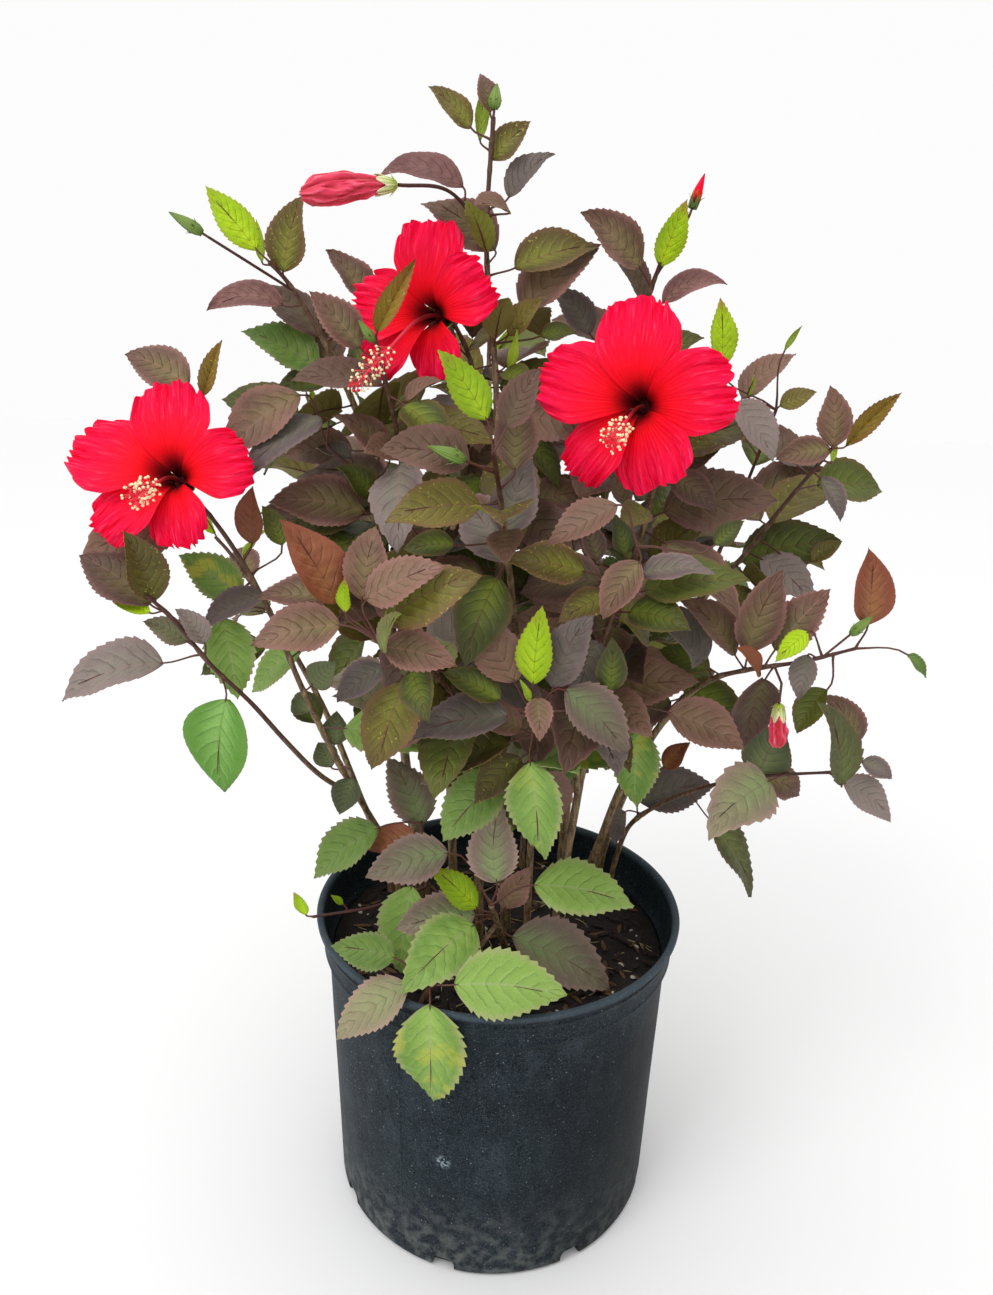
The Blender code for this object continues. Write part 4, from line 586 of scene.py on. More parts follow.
# Spent petals: painted shade in the troughs of the crumples, their own tone, and painted highlights on the
# ridges
SPENT_PETAL = {"hollow shade": (176, 16, 48), "body": (226, 56, 88), "fold highlights": (244, 112, 136)}
SOIL = {"damp": (10, 8, 8), "dry": (50, 40, 34)}
# Tones of the pot's plastic; the last one is painted shade for its right side
PLASTIC = {
    "dark": (34, 42, 46), "body": (52, 60, 64), "streaks": (74, 82, 88), "grain": (104, 112, 118),
    "pits": (14, 20, 25), "worn": (96, 108, 118), "dust": (112, 114, 112), "specks": (150, 156, 158),
    "scuff": (166, 184, 192), "painted_right_shade": (8, 14, 19),
}
# Plain stuffs: two tones, patches and grain per metre, roughness, depth of the grain in metres
PLAIN_STUFFS = {
    "petiole": ((96, 46, 44), (78, 58, 40), 120, 900, 0.5, 0.0001),
    "filament": ((236, 84, 96), (246, 120, 120), 400, 2400, 0.5, 0.0002),
    "anther": ((255, 232, 168), (255, 246, 212), 900, 5400, 0.7, 0.0002),
    "stigma": ((206, 12, 40), (232, 40, 66), 700, 4200, 0.7, 0.0002),
    "bark_chip_dark": ((26, 18, 15), (58, 42, 32), 240, 1440, 0.9, 0.0006),
    "bark_chip": ((70, 48, 34), (112, 84, 58), 220, 1320, 0.85, 0.0006),
    "straw": ((150, 128, 88), (196, 178, 136), 200, 1200, 0.7, 0.0003),
    "grit": ((170, 160, 146), (214, 208, 196), 400, 2400, 0.8, 0.0005),
}

# Share of the sky's light that a satin surface throws back, whatever its colour
SKY_SHEEN = 0.016

# Colours of each kind of leaf: blade, its second tone, wash along the midrib that the painted
# highlights on the quilting are lifted from, edge, veins that also tint the painted shade, and underside
LEAF_COLOURS = {
    "dark": ((118, 90, 76), (92, 68, 60), (112, 104, 66), (128, 92, 84), (66, 48, 42), (112, 104, 60)),
    "dusk": ((136, 130, 100), (124, 106, 96), (126, 146, 94), (154, 126, 118), (92, 92, 70), (126, 134, 86)),
    "grey": ((142, 128, 122), (112, 98, 96), (130, 128, 108), (146, 122, 120), (94, 87, 81), (124, 124, 81)),
    "arch": ((126, 90, 86), (94, 66, 64), (114, 84, 74), (134, 96, 96), (78, 56, 56), (98, 90, 52)),
    "green": ((138, 168, 84), (114, 148, 70), (152, 180, 92), (162, 162, 114), (93, 129, 62),
              (157, 180, 109)),
    "shade": ((82, 88, 42), (66, 70, 38), (108, 122, 44), (96, 78, 50), (50, 56, 32), (104, 116, 48)),
    "slim": ((110, 112, 66), (88, 88, 56), (124, 138, 72), (112, 96, 72), (76, 80, 46), (120, 128, 60)),
    "olive": ((108, 98, 50), (88, 76, 44), (122, 124, 50), (114, 84, 64), (68, 62, 36), (124, 124, 44)),
    "pink": ((138, 106, 90), (116, 84, 74), (116, 114, 76), (156, 112, 104), (88, 64, 56), (122, 112, 68)),
    "red": ((134, 82, 58), (112, 64, 48), (132, 92, 58), (118, 70, 54), (92, 52, 40), (122, 78, 48)),
    "bronze": ((134, 112, 50), (132, 86, 52), (150, 140, 52), (126, 84, 58), (94, 72, 40), (130, 118, 46)),
    "lime": ((168, 200, 6), (148, 184, 4), (184, 212, 34), (150, 160, 34), (110, 144, 4), (162, 196, 40)),
    "heart": ((112, 158, 70), (96, 142, 58), (140, 182, 100), (104, 144, 66), (74, 116, 48), (120, 156, 84)),
    "spear": ((152, 178, 52), (132, 156, 42), (172, 192, 74), (146, 150, 54), (112, 138, 36), (156, 182, 66)),
    "round": ((98, 106, 74), (80, 88, 60), (118, 128, 84), (104, 90, 72), (66, 70, 50), (104, 106, 66)),
}
# How much lighter or darker each kind is than its row: the light of the room, and age
LEAF_LIGHT = {
    "dark": 1.14, "dusk": 1.11, "arch": 1.30, "shade": 1.145, "slim": 1.09, "olive": 1.11,
    "red": 1.17, "bronze": 1.12, "lime": 1.05, "heart": 0.98, "spear": 1.12, "round": 1.05,
}
# Strength of the veins and of the painted shade beside them, and how far the edge's colour runs into the tip
VEIN_STRENGTH = {"dark": 0.55, "arch": 0.45, "red": 0.4, "heart": 0.6, "spear": 0.4, "round": 0.45}
TIP_SHARE = {"dark": 0.1, "dusk": 0.1, "green": 0.2, "shade": 0.2, "slim": 0.1, "olive": 0.3, "pink": 0.2,
             "bronze": 0.4, "lime": 0.5, "spear": 0.2}

# Potting mix: its lumps' height in metres, layer and number a metre, and how far out bits lie
SOIL_FINE_SIDES = 120
SOIL_FINE_RINGS = 34
SOIL_LUMPS = ((0.0028, 0.3, 34), (0.0016, 1.7, 110))
SOIL_STREWN = 0.122
SOIL_SEED = 5
# Bits on the mix: how many, longest length, width and thickness in metres, look
SOIL_BITS = (
    (300, 0.014, 0.0060, 0.0030, "bark_chip_dark"),
    (170, 0.016, 0.0050, 0.0024, "bark_chip"),
    (90, 0.026, 0.0011, 0.0009, "straw"),
    (60, 0.0045, 0.0036, 0.0026, "grit"),
)
# A bit from end to end: share of its length, share of its width
SOIL_BIT_OUTLINE = ((-0.5, 0.45), (-0.3, 0.9), (0.0, 1.0), (0.3, 0.85), (0.5, 0.4))
SOIL_BIT_SIDES = 6

# Pot as it is built: steps of its foot and walls, and steps out and up along its beads and lip
POT_FINE_SIDES = 168
FOOT_STEPS = 6
WALL_STEPS = 24
INSIDE_STEPS = 5
WALL_SHORT = 0.0024
LOW_BEAD = ((-0.0008, -0.0004), (0.0002, 0.0008), (0.0006, 0.0022), (0.0001, 0.0036))
BAND_ROWS = (0.006, 0.010, 0.014, 0.0165)
BAND_INSET = 0.0034
BAND_SHORT = 0.012
HIGH_BEAD = ((0.0007, 0.0174), (0.0009, 0.0186), (0.0004, 0.0198))
LIP = ((-0.0026, -0.0060), (-0.0012, -0.0050), (-0.0002, -0.0036), (0.0, -0.0018),
       (-0.0006, -0.0005), (-0.0018, 0.0), (-0.0036, -0.0001), (-0.0048, -0.0010),
       (-0.0056, -0.0030), (-0.0060, -0.0080))
POT_EDGE_ANGLE = math.radians(38)
POT_UNEVEN = 0.00035
SEAMS = (4.18, 4.18 - math.pi)
SEAM_HEIGHT = 0.00030
SEAM_STEPS = (0.0015, 0.0045, 0.010)
SEAM_CLEAR = 0.02
SEAM_WIDTH = 0.003
SEAM_ROWS = (6, 31)
# Across the pot, where the painted shade of its right side starts and where it is full
PAINTED_SHADE_SIDE = (-0.02, 0.12)
SCUFF_PLACE = (-0.0340, -0.1240, 0.1045)

# Sky: its light from a height of so much to so much of the way up, and how strong at each
SKY_RISE = (0.30, 1.0, 0.98, 1.40)
# And its share of that light from so far to the right to wholly from the right
SKY_SHADE = (0.50, 1.0, 1.0, 0.40)
FLOOR_SHADE = 0.84
FLOOR_REACH = 6.0
LAMP_PLACE = Vector((-1.0, -1.2, 2.2))
LAMP_AIM = Vector((0, 0, 0.4))
LAMP_SIZE = 0.9
LAMP_POWER = 16


def heading(azimuth, rise):
    """Unit vector; azimuth turns from +X towards +Y, rise is measured up from level."""
    level = math.cos(rise)
    return Vector((level * math.cos(azimuth), level * math.sin(azimuth), math.sin(rise)))


def catmull(a, b, c, d, t):
    """Point between b and c on the smooth curve through a, b, c and d."""
    return 0.5 * (2 * b + (c - a) * t + (2 * a - 5 * b + 4 * c - d) * t * t
                  + (3 * b - a - 3 * c + d) * t ** 3)


def smooth_path(points):
    """Given points with one more between two wherever the smooth curve leaves their chord."""
    ends = [2 * points[0] - points[1]] + points + [2 * points[-1] - points[-2]]
    path = []
    for i in range(1, len(ends) - 2):
        middle = catmull(*ends[i - 1:i + 3], 0.5)
        path.append(ends[i])
        if (middle - (ends[i] + ends[i + 1]) / 2).length > CURVE_STEP:
            path.append(middle)
    return path + [points[-1]]


def along(path, from_end):
    """Point of a path at a distance from its last point."""
    for b, a in zip(path[::-1], path[-2::-1]):
        step = (b - a).length
        if from_end <= step:
            return b.lerp(a, from_end / step)
        from_end -= step
    return path[0].copy()


def cane_node(name):
    """A spur or a side shoot belongs to the body of the cane it grows from."""
    parents = {cane[0]: cane[1][0][0] for cane in CANES if isinstance(cane[1][0][0], str)}
    while name in parents:
        name = parents[name]
    return name


def cane_paths():
    """Coarse path and radii of every cane, by name; feet start below the soil's top."""
    paths = {}
    for name, points, foot, tip, _ in CANES:
        first = points[0]
        rest = [Vector(p) for p in points[1:]]
        if isinstance(first[0], str):
            path = smooth_path([along(paths[first[0]][0], first[1] / 1000)] + rest)
        else:
            ground = Vector((first[0], first[1], SOIL_TOP + 0.010))
            path = smooth_path([ground] + rest)
            path.insert(0, Vector((first[0], first[1], SOIL_TOP - STEM_DEPTH)))
        steps = len(path) - 1
        radii = [(foot + (tip - foot) * (i / steps) ** 0.8) / 1000 for i in range(steps + 1)]
        paths[name] = (path, radii)
    return paths


def basis(axis):
    """Two directions square to an axis and to each other."""
    side = Vector(axis).orthogonal().normalized()
    return side, Vector(axis).cross(side)


def round_ways(side, up, count, first=0.0):
    """Evenly spaced ways round an axis, between two that are square to it, each with its angle."""
    for k in range(count):
        turn = 2 * math.pi * k / count + first
        yield turn, side * math.cos(turn) + up * math.sin(turn)


def skin(rings):
    """Closed body through rings of equally many points, capped at both ends."""
    sides = len(rings[0])
    points = [point for ring in rings for point in ring]
    faces = []
    for ring in range(len(rings) - 1):
        for k in range(sides):
            a, b = ring * sides + k, ring * sides + (k + 1) % sides
            faces.append((a, b, b + sides, a + sides))
    last = (len(rings) - 1) * sides
    faces.append(tuple(range(sides))[::-1])
    faces.append(tuple(range(last, last + sides)))
    return points, faces


def tube(points, radii, sides):
    """Closed round tube along points."""
    side = (points[1] - points[0]).normalized().orthogonal().normalized()
    rings = []
    for i, (point, radius) in enumerate(zip(points, radii)):
        before, after = points[max(i - 1, 0)], points[min(i + 1, len(points) - 1)]
        ahead = (after - before).normalized()
        side = (side - ahead * side.dot(ahead)).normalized()
        rings.append([point + way * radius for _, way in round_ways(side, ahead.cross(side), sides)])
    return skin(rings)


class Leaf:
    """One leaf, on a cane, with its petiole; lengths in metres, angles in radians."""

    def __init__(self, root, foot, azimuth, rise, length, kind, face):
        wide, droop, _ = LEAF_KINDS[kind]
        self.root, self.foot, self.azimuth, self.rise = root, foot, azimuth, rise
        self.length, self.kind, self.face = length, kind, face
        self.width = wide * length
        self.droop = math.radians(droop)

    def frame(self, u):
        """Midrib point at u of the blade's length, and directions along, across and out."""
        turned = self.rise - self.droop * u
        level = (math.sin(self.rise) - math.sin(turned)) / self.droop * self.length
        up = (math.cos(turned) - math.cos(self.rise)) / self.droop * self.length
        flat = heading(self.azimuth, 0)
        ahead = heading(self.azimuth, turned)
        out = self.face - ahead * self.face.dot(ahead)
        if out.length < FACE_LEAST:
            out = heading(self.azimuth, turned + math.pi / 2)
        out.normalize()
        return self.foot + flat * level + Vector((0, 0, up)), ahead, out.cross(ahead), out

    def at(self, u, v):
        """Point of the blade at u of its length and v metres across, and its outward way."""
        point, _, across, out = self.frame(u)
        point = point + across * v * math.cos(FOLD) + out * abs(v) * math.sin(FOLD)
        lean = -math.sin(FOLD) if v > 0 else math.sin(FOLD) if v < 0 else 0
        return point, out * math.cos(FOLD) + across * lean

    def half_width(self, u):
        """Half the blade's width at u of its length, before teeth."""
        return 0.5 * self.width * math.sin(math.pi * min(max(u, 0), 1) ** LEAF_BELLY) ** LEAF_POINT


def prism(rim, thick):
    """Closed blade on points that each have their outward way: a rim, then the blade's middle."""
    tops = [point + out * thick / 2 for point, out in rim]
    bottoms = [point - out * thick / 2 for point, out in rim]
    count = len(rim) - 1
    low = len(rim)
    faces = []
    for i in range(count):
        j = (i + 1) % count
        faces.append((count, j, i))
        faces.append((low + count, low + i, low + j))
        faces.append((i, low + j, low + i))
        faces.append((i, j, low + j))
    return tops + bottoms, faces


def rim_of(leaf):
    """Places of a leaf's teeth and notches, fewer on a small leaf."""
    if leaf.kind == "spear":
        return SPEAR_RIM
    if leaf.length < SMALL_FROM:
        return TINY_RIM
    return LARGE_RIM if leaf.length > LARGE_FROM else SMALL_RIM


def leaf_blade(leaf, thick, grow=1.0, start=0.0):
    """Blade of a leaf: rim points from its left foot round the tip to its right foot."""
    rim = [(u, leaf.half_width(u) * out * grow) for u, out in rim_of(leaf)]
    foot = max(PETIOLE_WIDTH * 0.5, leaf.half_width(start) * 0.6)
    left = [(start, foot)] + rim
    places = left + [(1.0 + (grow - 1) * 0.5, 0.0)] + [(u, -v) for u, v in left[::-1]]
    places.append((MIDRIB_POINT, 0.0))
    return prism([leaf.at(u, v) for u, v in places], thick)


def leaf_petiole(leaf, radius):
    """Plain tube of a petiole, for trying where it passes."""
    start = leaf.root.lerp(leaf.foot, 0.15)
    return tube([start, leaf.foot], [radius, radius], 3)


def turned(profile, sides, axis_start, axis_end):
    """Solid of revolution about Z from radius and height pairs, closed at both ends."""
    verts, faces = [Vector((0, 0, axis_start))], []
    for radius, height in profile:
        for k in range(sides):
            turn = 2 * math.pi * k / sides
            verts.append(Vector((radius * math.cos(turn), radius * math.sin(turn), height)))
    verts.append(Vector((0, 0, axis_end)))
    end = len(verts) - 1
    last = 1 + (len(profile) - 1) * sides
    for k in range(sides):
        j = (k + 1) % sides
        faces.append((0, 1 + j, 1 + k))
        faces.append((end, last + k, last + j))
        for ring in range(len(profile) - 1):
            a, b = 1 + ring * sides + k, 1 + ring * sides + j
            faces.append((a, b, b + sides, a + sides))
    return verts, faces


class Clearance:
    """What already stands, for trying whether a new shape is clear of it."""

    def __init__(self):
        self.items = []

    @staticmethod
    def box(verts):
        low = [min(v[i] for v in verts) for i in range(3)]
        high = [max(v[i] for v in verts) for i in range(3)]
        return low, high

    def add(self, node, part, verts, faces):
        low, high = self.box(verts)
        self.items.append((node, part, low, high, BVHTree.FromPolygons(verts, faces)))

    def is_clear(self, node, part, verts, faces):
        low, high = self.box(verts)
        tree = None
        for other, other_part, a, b, other_tree in self.items:
            if other == node and "blade" not in (part, other_part):
                continue
            if any(low[i] > b[i] or high[i] < a[i] for i in range(3)):
                continue
            tree = tree or BVHTree.FromPolygons(verts, faces)
            if tree.overlap(other_tree):
                return False
        return True


class Bloom:
    """An open bloom: base on the cane's end, axis out of its face, and its petals."""

    def __init__(self, name, base, axis, petal, column, bend, petals):
        self.name, self.base, self.axis = name, base, Vector(axis).normalized()
        self.petal, self.column, self.bend = petal, column, math.radians(bend)
        self.petals = petals
        level = Vector((0, 0, 1)).cross(self.axis).normalized()
        self.right = level
        self.up = self.axis.cross(level)

    def way(self, angle):
        """Radial direction seen from the front; 0 is to the viewer's right."""
        return self.right * math.cos(angle) + self.up * math.sin(angle)

    def spine(self, u, share):
        """Height over the base, radius and slope from the axis along a petal's middle."""
        height, radius, slope = PETAL_FOOT[0], PETAL_FOOT[1], 0.0
        reach = self.petal * share * PETAL_ARC
        steps = max(int(round(u * PETAL_STEPS)), 1)
        for k in range(steps):
            s = (k + 0.5) * u / steps
            rise = min(max((s - PETAL_OPENS[0]) / PETAL_OPENS[1], 0), 1)
            slope = math.radians(PETAL_SLOPE[0] + PETAL_SLOPE[1] * rise * rise * (3 - 2 * rise))
            height += reach * u / steps * math.cos(slope)
            radius += reach * u / steps * math.sin(slope)
        return height, radius, slope

    def petal_at(self, index, u, v):
        """Point and outward way of a petal at u of its length and v of its half width."""
        turn, long_share, wide_share = self.petals[index]
        radial = self.way(math.radians(turn))
        side = self.axis.cross(radial)
        height, radius, slope = self.spine(u, long_share)
        out = self.axis * math.sin(slope) - radial * math.cos(slope)
        across = side * math.cos(PETAL_ROLL) + out * math.sin(PETAL_ROLL)
        out = out * math.cos(PETAL_ROLL) - side * math.sin(PETAL_ROLL)
        half = 0.5 * PETAL_WIDTH * self.petal * wide_share
        point = self.base + self.axis * height + radial * radius
        return point + across * v * half, out


def bloom_base(paths, cane, axis):
    """A bloom's base: where its cane's slanted end stops, measured along the bloom's axis."""
    path, radii = paths[cane]
    slant = (path[-1] - path[-2]).normalized().cross(axis).length
    return path[-1] + axis * radii[-1] * slant


def petal_blade(bloom, index, thick):
    """One petal as a closed blade, wide and scalloped at its end."""
    left = list(PETAL_RIM + PETAL_END)
    places = left + [(u, -v) for u, v in left[-2::-1]]
    places.append((PETAL_MIDDLE, 0.0))
    return prism([bloom.petal_at(index, u, v) for u, v in places], thick)


def column_path(bloom, steps):
    """Middle of the staminal column, bent downwards near its foot."""
    start = bloom.base + bloom.axis * (HUB_TO + GAP)
    down = Vector((0, 0, -1))
    down = (down - bloom.axis * down.dot(bloom.axis)).normalized()
    points, point = [start], start.copy()
    for k in range(steps):
        angle = bloom.bend * min((k + 0.5) / steps / COLUMN_CROOK, 1.0)
        point = point + (bloom.axis * math.cos(angle) + down * math.sin(angle)) * bloom.column / steps
        points.append(point.copy())
    return points


def bloom_list(paths):
    """The open blooms, each on its cane's end."""
    return [Bloom(name, bloom_base(paths, cane, Vector(axis).normalized()), axis, *rest)
            for name, cane, axis, *rest in BLOOMS]


def pot_profile():
    """Outer and inner outline of the pot, from its underside round the lip to its floor."""
    shoulder = POT_HEIGHT - BAND_HEIGHT
    return (
        (BASE_RADIUS - BASE_CHAMFER, 0.0), (BASE_RADIUS, BASE_CHAMFER),
        (BODY_TOP_RADIUS, shoulder - 0.001), (BAND_FOOT_RADIUS, shoulder),
        (RIM_RADIUS - 0.0032, POT_HEIGHT - RIM_LIP), (RIM_RADIUS, POT_HEIGHT - RIM_LIP + 0.0015),
        (RIM_RADIUS - 0.0005, POT_HEIGHT), (RIM_RADIUS - 0.0050, POT_HEIGHT),
        (BAND_FOOT_RADIUS - WALL, shoulder - 0.001), (BODY_TOP_RADIUS - WALL, shoulder - INSIDE_SHORT),
        (BASE_RADIUS - WALL, BASE_CHAMFER + WALL), (BASE_RADIUS - BASE_CHAMFER, WALL))


def pot_inner_radius(height):
    """Radius of the pot's inner wall between its floor and the shoulder."""
    low, high = BASE_CHAMFER + WALL, POT_HEIGHT - BAND_HEIGHT - INSIDE_SHORT
    share = (height - low) / (high - low)
    return BASE_RADIUS - WALL + share * (BODY_TOP_RADIUS - BASE_RADIUS)


def soil_height(radius):
    """Top of the potting mix: a low mound that sinks at the wall."""
    return SOIL_TOP + SOIL_MOUND * (0.5 - radius / RIM_RADIUS)


def soil_profile():
    """Outline of the potting mix, from the pot's floor up the wall and in over the top."""
    low = BASE_CHAMFER + WALL
    edge = SOIL_TOP - SOIL_EDGE
    flat_share = math.cos(math.pi / POT_SIDES)
    fit = GAP / flat_share
    profile = [(BASE_RADIUS - BASE_CHAMFER - fit, WALL + GAP), (BASE_RADIUS - WALL - fit - GAP, low + GAP)]
    profile.append((pot_inner_radius(edge) - fit, edge))
    for radius in SOIL_RINGS:
        profile.append((radius, soil_height(radius)))
    return profile


def plan():
    """Canes, blooms and leaves, each placed clear of those before it."""
    paths = cane_paths()
    space = Clearance()
    space.add("pot", "pot", *turned(pot_profile(), POT_SIDES, 0, WALL))
    space.add("potting_mix", "soil", *turned(soil_profile(), SOIL_SIDES, WALL + GAP, soil_height(0)))
    for name, (path, radii) in paths.items():
        stem = tube(path[1:] if path[0].z < SOIL_TOP else path, radii, STEM_SIDES)
        space.add(cane_node(name), "stem", *stem)
    blooms = bloom_list(paths)
    for bloom in blooms:
        for index in range(PETALS):
            space.add(bloom.name, "petal", *petal_blade(bloom, index, TEST_BLADE))
        path = column_path(bloom, len(COLUMN_ROOM) - 1)
        space.add(bloom.name, "column", *tube(path, COLUMN_ROOM, COLUMN_SIDES))
    for name, cane, axis, length, radius in SPENT:
        axis = Vector(axis).normalized()
        base = spent_base(paths, name, cane, axis)
        ends = [base, base + axis * length * SPENT_REACH]
        space.add(name, "petal", *tube(ends, [radius + SPENT_ROOM] * 2, 6))
    leaves = {}
    draws = random.Random(LEAF_SEED)
    for cane in CANES:
        name, path = cane[0], paths[cane[0]][0]
        found = [sighted_leaf(space, cane_node(name), path, sighting, draws)
                 for sighting in SIGHTED.get(name, ())]
        rule = inner_leaves if name in SIGHTED else seeded_leaves
        found += [seeded_leaf(space, cane_node(name), path, place, draws)
                  for place in rule(cane[4], draws)]
        leaves[name] = [leaf for leaf in found if leaf]
    return paths, blooms, leaves, space


def inner_leaves(count, draws):
    """Leaves low on a cane at the front, hidden by those sighted before them."""
    azimuth = draws.uniform(0, 2 * math.pi)
    wanted = []
    for k in range(count):
        back = 1000 * (INNER_FIRST + INNER_SPACING * k)
        length = INNER_LENGTH + draws.uniform(-LENGTH_SPREAD, LENGTH_SPREAD)
        kind = "dark" if k % 2 == 0 else "green"
        wanted.append((back, math.degrees(azimuth), draws.uniform(*INNER_RISE), length, kind))
        azimuth += SEEDED_TURN
    return wanted


def seeded_leaves(count, draws):
    """Leaves of a cane at the back, turned from node to node as they grow."""
    azimuth = draws.uniform(0, 2 * math.pi)
    wanted = []
    for k in range(count):
        back = 1000 * (SEEDED_FIRST + SEEDED_SPACING * k)
        rise = YOUNG_RISE - RISE_STEP * k if k < YOUNG_LEAVES else draws.uniform(*OLD_RISE)
        length = min(YOUNG_LENGTH + LENGTH_STEP * k, INNER_LENGTH)
        length += draws.uniform(-LENGTH_SPREAD, LENGTH_SPREAD)
        kind = SEEDED_KINDS[min(k, len(SEEDED_KINDS) - 1)]
        wanted.append((back, math.degrees(azimuth), rise, length, kind))
        azimuth += SEEDED_TURN
    return wanted


def turns():
    """Small changes of a leaf's azimuth, rise and size, the smallest first."""
    yield 0, 0, 1.0
    for size in SEEDED_SIZES:
        for turn in SEEDED_TURNS:
            for a, b in ((1, 0), (-1, 0), (0, 1), (0, -1), (1, 1), (-1, -1), (1, -1), (-1, 1)):
                yield turn * a, turn * b, size


def eye_frame():
    """Directions of the eye: ahead, to its right and up in its picture."""
    ahead = Vector((math.sin(EYE_YAW) * math.cos(EYE_PITCH), math.cos(EYE_YAW) * math.cos(EYE_PITCH),
                    -math.sin(EYE_PITCH)))
    level = Vector((math.cos(EYE_YAW), -math.sin(EYE_YAW), 0))
    steep = level.cross(ahead)
    right = level * math.cos(EYE_ROLL) + steep * math.sin(EYE_ROLL)
    up = steep * math.cos(EYE_ROLL) - level * math.sin(EYE_ROLL)
    return ahead, right, up


def sighted(across, down, y):
    """Real place with the given y of a place sighted in the picture."""
    ahead, right, up = eye_frame()
    ray = ahead + right * ((across - PICTURE_MIDDLE[0]) / PICTURE_FOCAL)
    ray -= up * ((down - PICTURE_MIDDLE[1]) / PICTURE_FOCAL)
    return EYE + ray * ((y - EYE.y) / ray.y)


def between(foot, tip, kind):
    """Azimuth, rise at the foot and blade length of a leaf from its foot to its tip."""
    chord = tip - foot
    droop = math.radians(LEAF_KINDS[kind][1])
    azimuth = math.atan2(chord.y, chord.x)
    rise = math.asin(chord.z / chord.length) + droop / 2
    return azimuth, rise, chord.length * (droop / 2) / math.sin(droop / 2)


def petiole_length(kind, length):
    """Length of the petiole under a blade of the given length."""
    return max(LEAF_KINDS[kind][2] * length, PETIOLE_LEAST)


def nearest_on(path, point):
    """Point of a cane's middle line above the soil and short of its tip, nearest to a place."""
    best = None
    for a, b in zip(path, path[1:]):
        run = b - a
        if a.z < SOIL_TOP:
            continue
        share = min(max((point - a).dot(run) / run.length_squared, 0.0), 1.0 - TIP_MARGIN / run.length)
        place = a + run * share
        if best is None or (place - point).length < (best - point).length:
            best = place
    return best


def depth_of(path, sighting):
    """The y of a sighted leaf's foot, from the place on the cane that it fits best."""
    foot_across, foot_down, tip_across, tip_down, lean, kind = sighting
    best = None
    reach = sum((b - a).length for a, b in zip(path, path[1:])) * 0.97
    for k in range(1, int(reach / ROOT_STEP)):
        root = along(path, k * ROOT_STEP)
        depth = root.y
        for _ in range(2):
            foot = sighted(foot_across, foot_down, depth)
            tip = sighted(tip_across, tip_down, depth - lean / 1000)
            azimuth, rise, length = between(foot, tip, kind)
            petiole = heading(azimuth, rise) * petiole_length(kind, length)
            depth = root.y + petiole.y
        miss = (foot - petiole - root).length
        if best is None or miss < best[0]:
            best = (miss, depth)
    return best[1]


def sighted_leaf(space, node, path, sighting, draws):
    """A sighted leaf at the depth nearest its cane's where it is clear, or none."""
    foot_across, foot_down, tip_across, tip_down, lean, kind = sighting
    depth = depth_of(path, sighting)
    sway = heading(draws.uniform(0, 2 * math.pi), 0) * SWAY
    for size in SIZE_STEPS:
        for depth_step in DEPTH_STEPS:
            for lean_step in LEAN_STEPS:
                foot = sighted(foot_across, foot_down, depth + depth_step / 1000)
                tip = sighted(tip_across, tip_down, foot.y - (lean + lean_step) / 1000)
                azimuth, rise, length = between(foot, foot.lerp(tip, size), kind)
                way = heading(azimuth, rise)
                root = nearest_on(path, foot - way * petiole_length(kind, length))
                leaf = Leaf(root, foot, azimuth, rise, length, kind, (FRONT + sway).normalized())
                if (foot - root).normalized().dot(way) > STRAIGHT and placed(space, node, leaf):
                    return leaf
    return None


def placed(space, node, leaf):
    """Whether a leaf is clear of all that stands; if so it is added to it."""
    blade = leaf_blade(leaf, TEST_BLADE, TEST_GROWTH, TEST_FROM)
    whole = leaf_blade(leaf, TEST_BLADE, TEST_GROWTH)
    petiole = leaf_petiole(leaf, TEST_PETIOLE)
    if not space.is_clear(node, "blade", *blade):
        return False
    if not (space.is_clear(node, "petiole", *whole) and space.is_clear(node, "petiole", *petiole)):
        return False
    space.add(node, "blade", *blade)
    space.add(node, "petiole", *petiole)
    return True


def turned_leaf(space, node, root, place, face, seen=()):
    """A leaf turned as little as it takes to be clear and to hide no seen place, or none."""
    azimuth, rise, length, kind = place
    for more_azimuth, more_rise, size in turns():
        way = math.radians(azimuth + more_azimuth), math.radians(rise + more_rise)
        blade = length * size / 1000
        foot = root + heading(*way) * petiole_length(kind, blade)
        leaf = Leaf(root, foot, *way, blade, kind, face)
        if not hides(leaf, seen) and placed(space, node, leaf):
            return leaf
    return None


def seeded_leaf(space, node, path, place, draws):
    """A leaf that faces up and out of the plant, from its distance to the cane's tip, or none."""
    root = along(path, place[0] / 1000)
    sway = heading(draws.uniform(0, 2 * math.pi), 0) * SWAY
    outward = Vector((root.x, root.y - 0.02, 0)).normalized()
    face = (outward * SEEDED_OUTWARD + Vector((0, 0, SEEDED_UPWARD)) + sway).normalized()
    return turned_leaf(space, node, root, place[1:], face)


def spent_stalk(paths):
    """Points of the stalk that leaves its cane sideways and then hangs straight down."""
    top = along(paths["cane_right_low"][0], SPENT_RIGHT_FROM_TIP)
    elbow = top + Vector((SPENT_STALK.x, SPENT_STALK.y, SPENT_STALK.z * SPENT_ELBOW))
    return [top, elbow, top + SPENT_STALK]


def spent_base(paths, name, cane, axis):
    """Where a spent bloom's calyx starts: on the spur's end, or under the cane on a stalk."""
    if name == "spent_right":
        return spent_stalk(paths)[-1]
    return bloom_base(paths, cane, axis)


def spent_cup(radius):
    """Size of a spent bloom's calyx over an open one's, from its petals' radius."""
    return SPENT_CUP * radius + SPENT_CUP_LEAST


def blade_middle(leaf):
    """Place half way along a leaf's blade."""
    return leaf.foot + heading(leaf.azimuth, leaf.rise - leaf.droop / 4) * leaf.length / 2


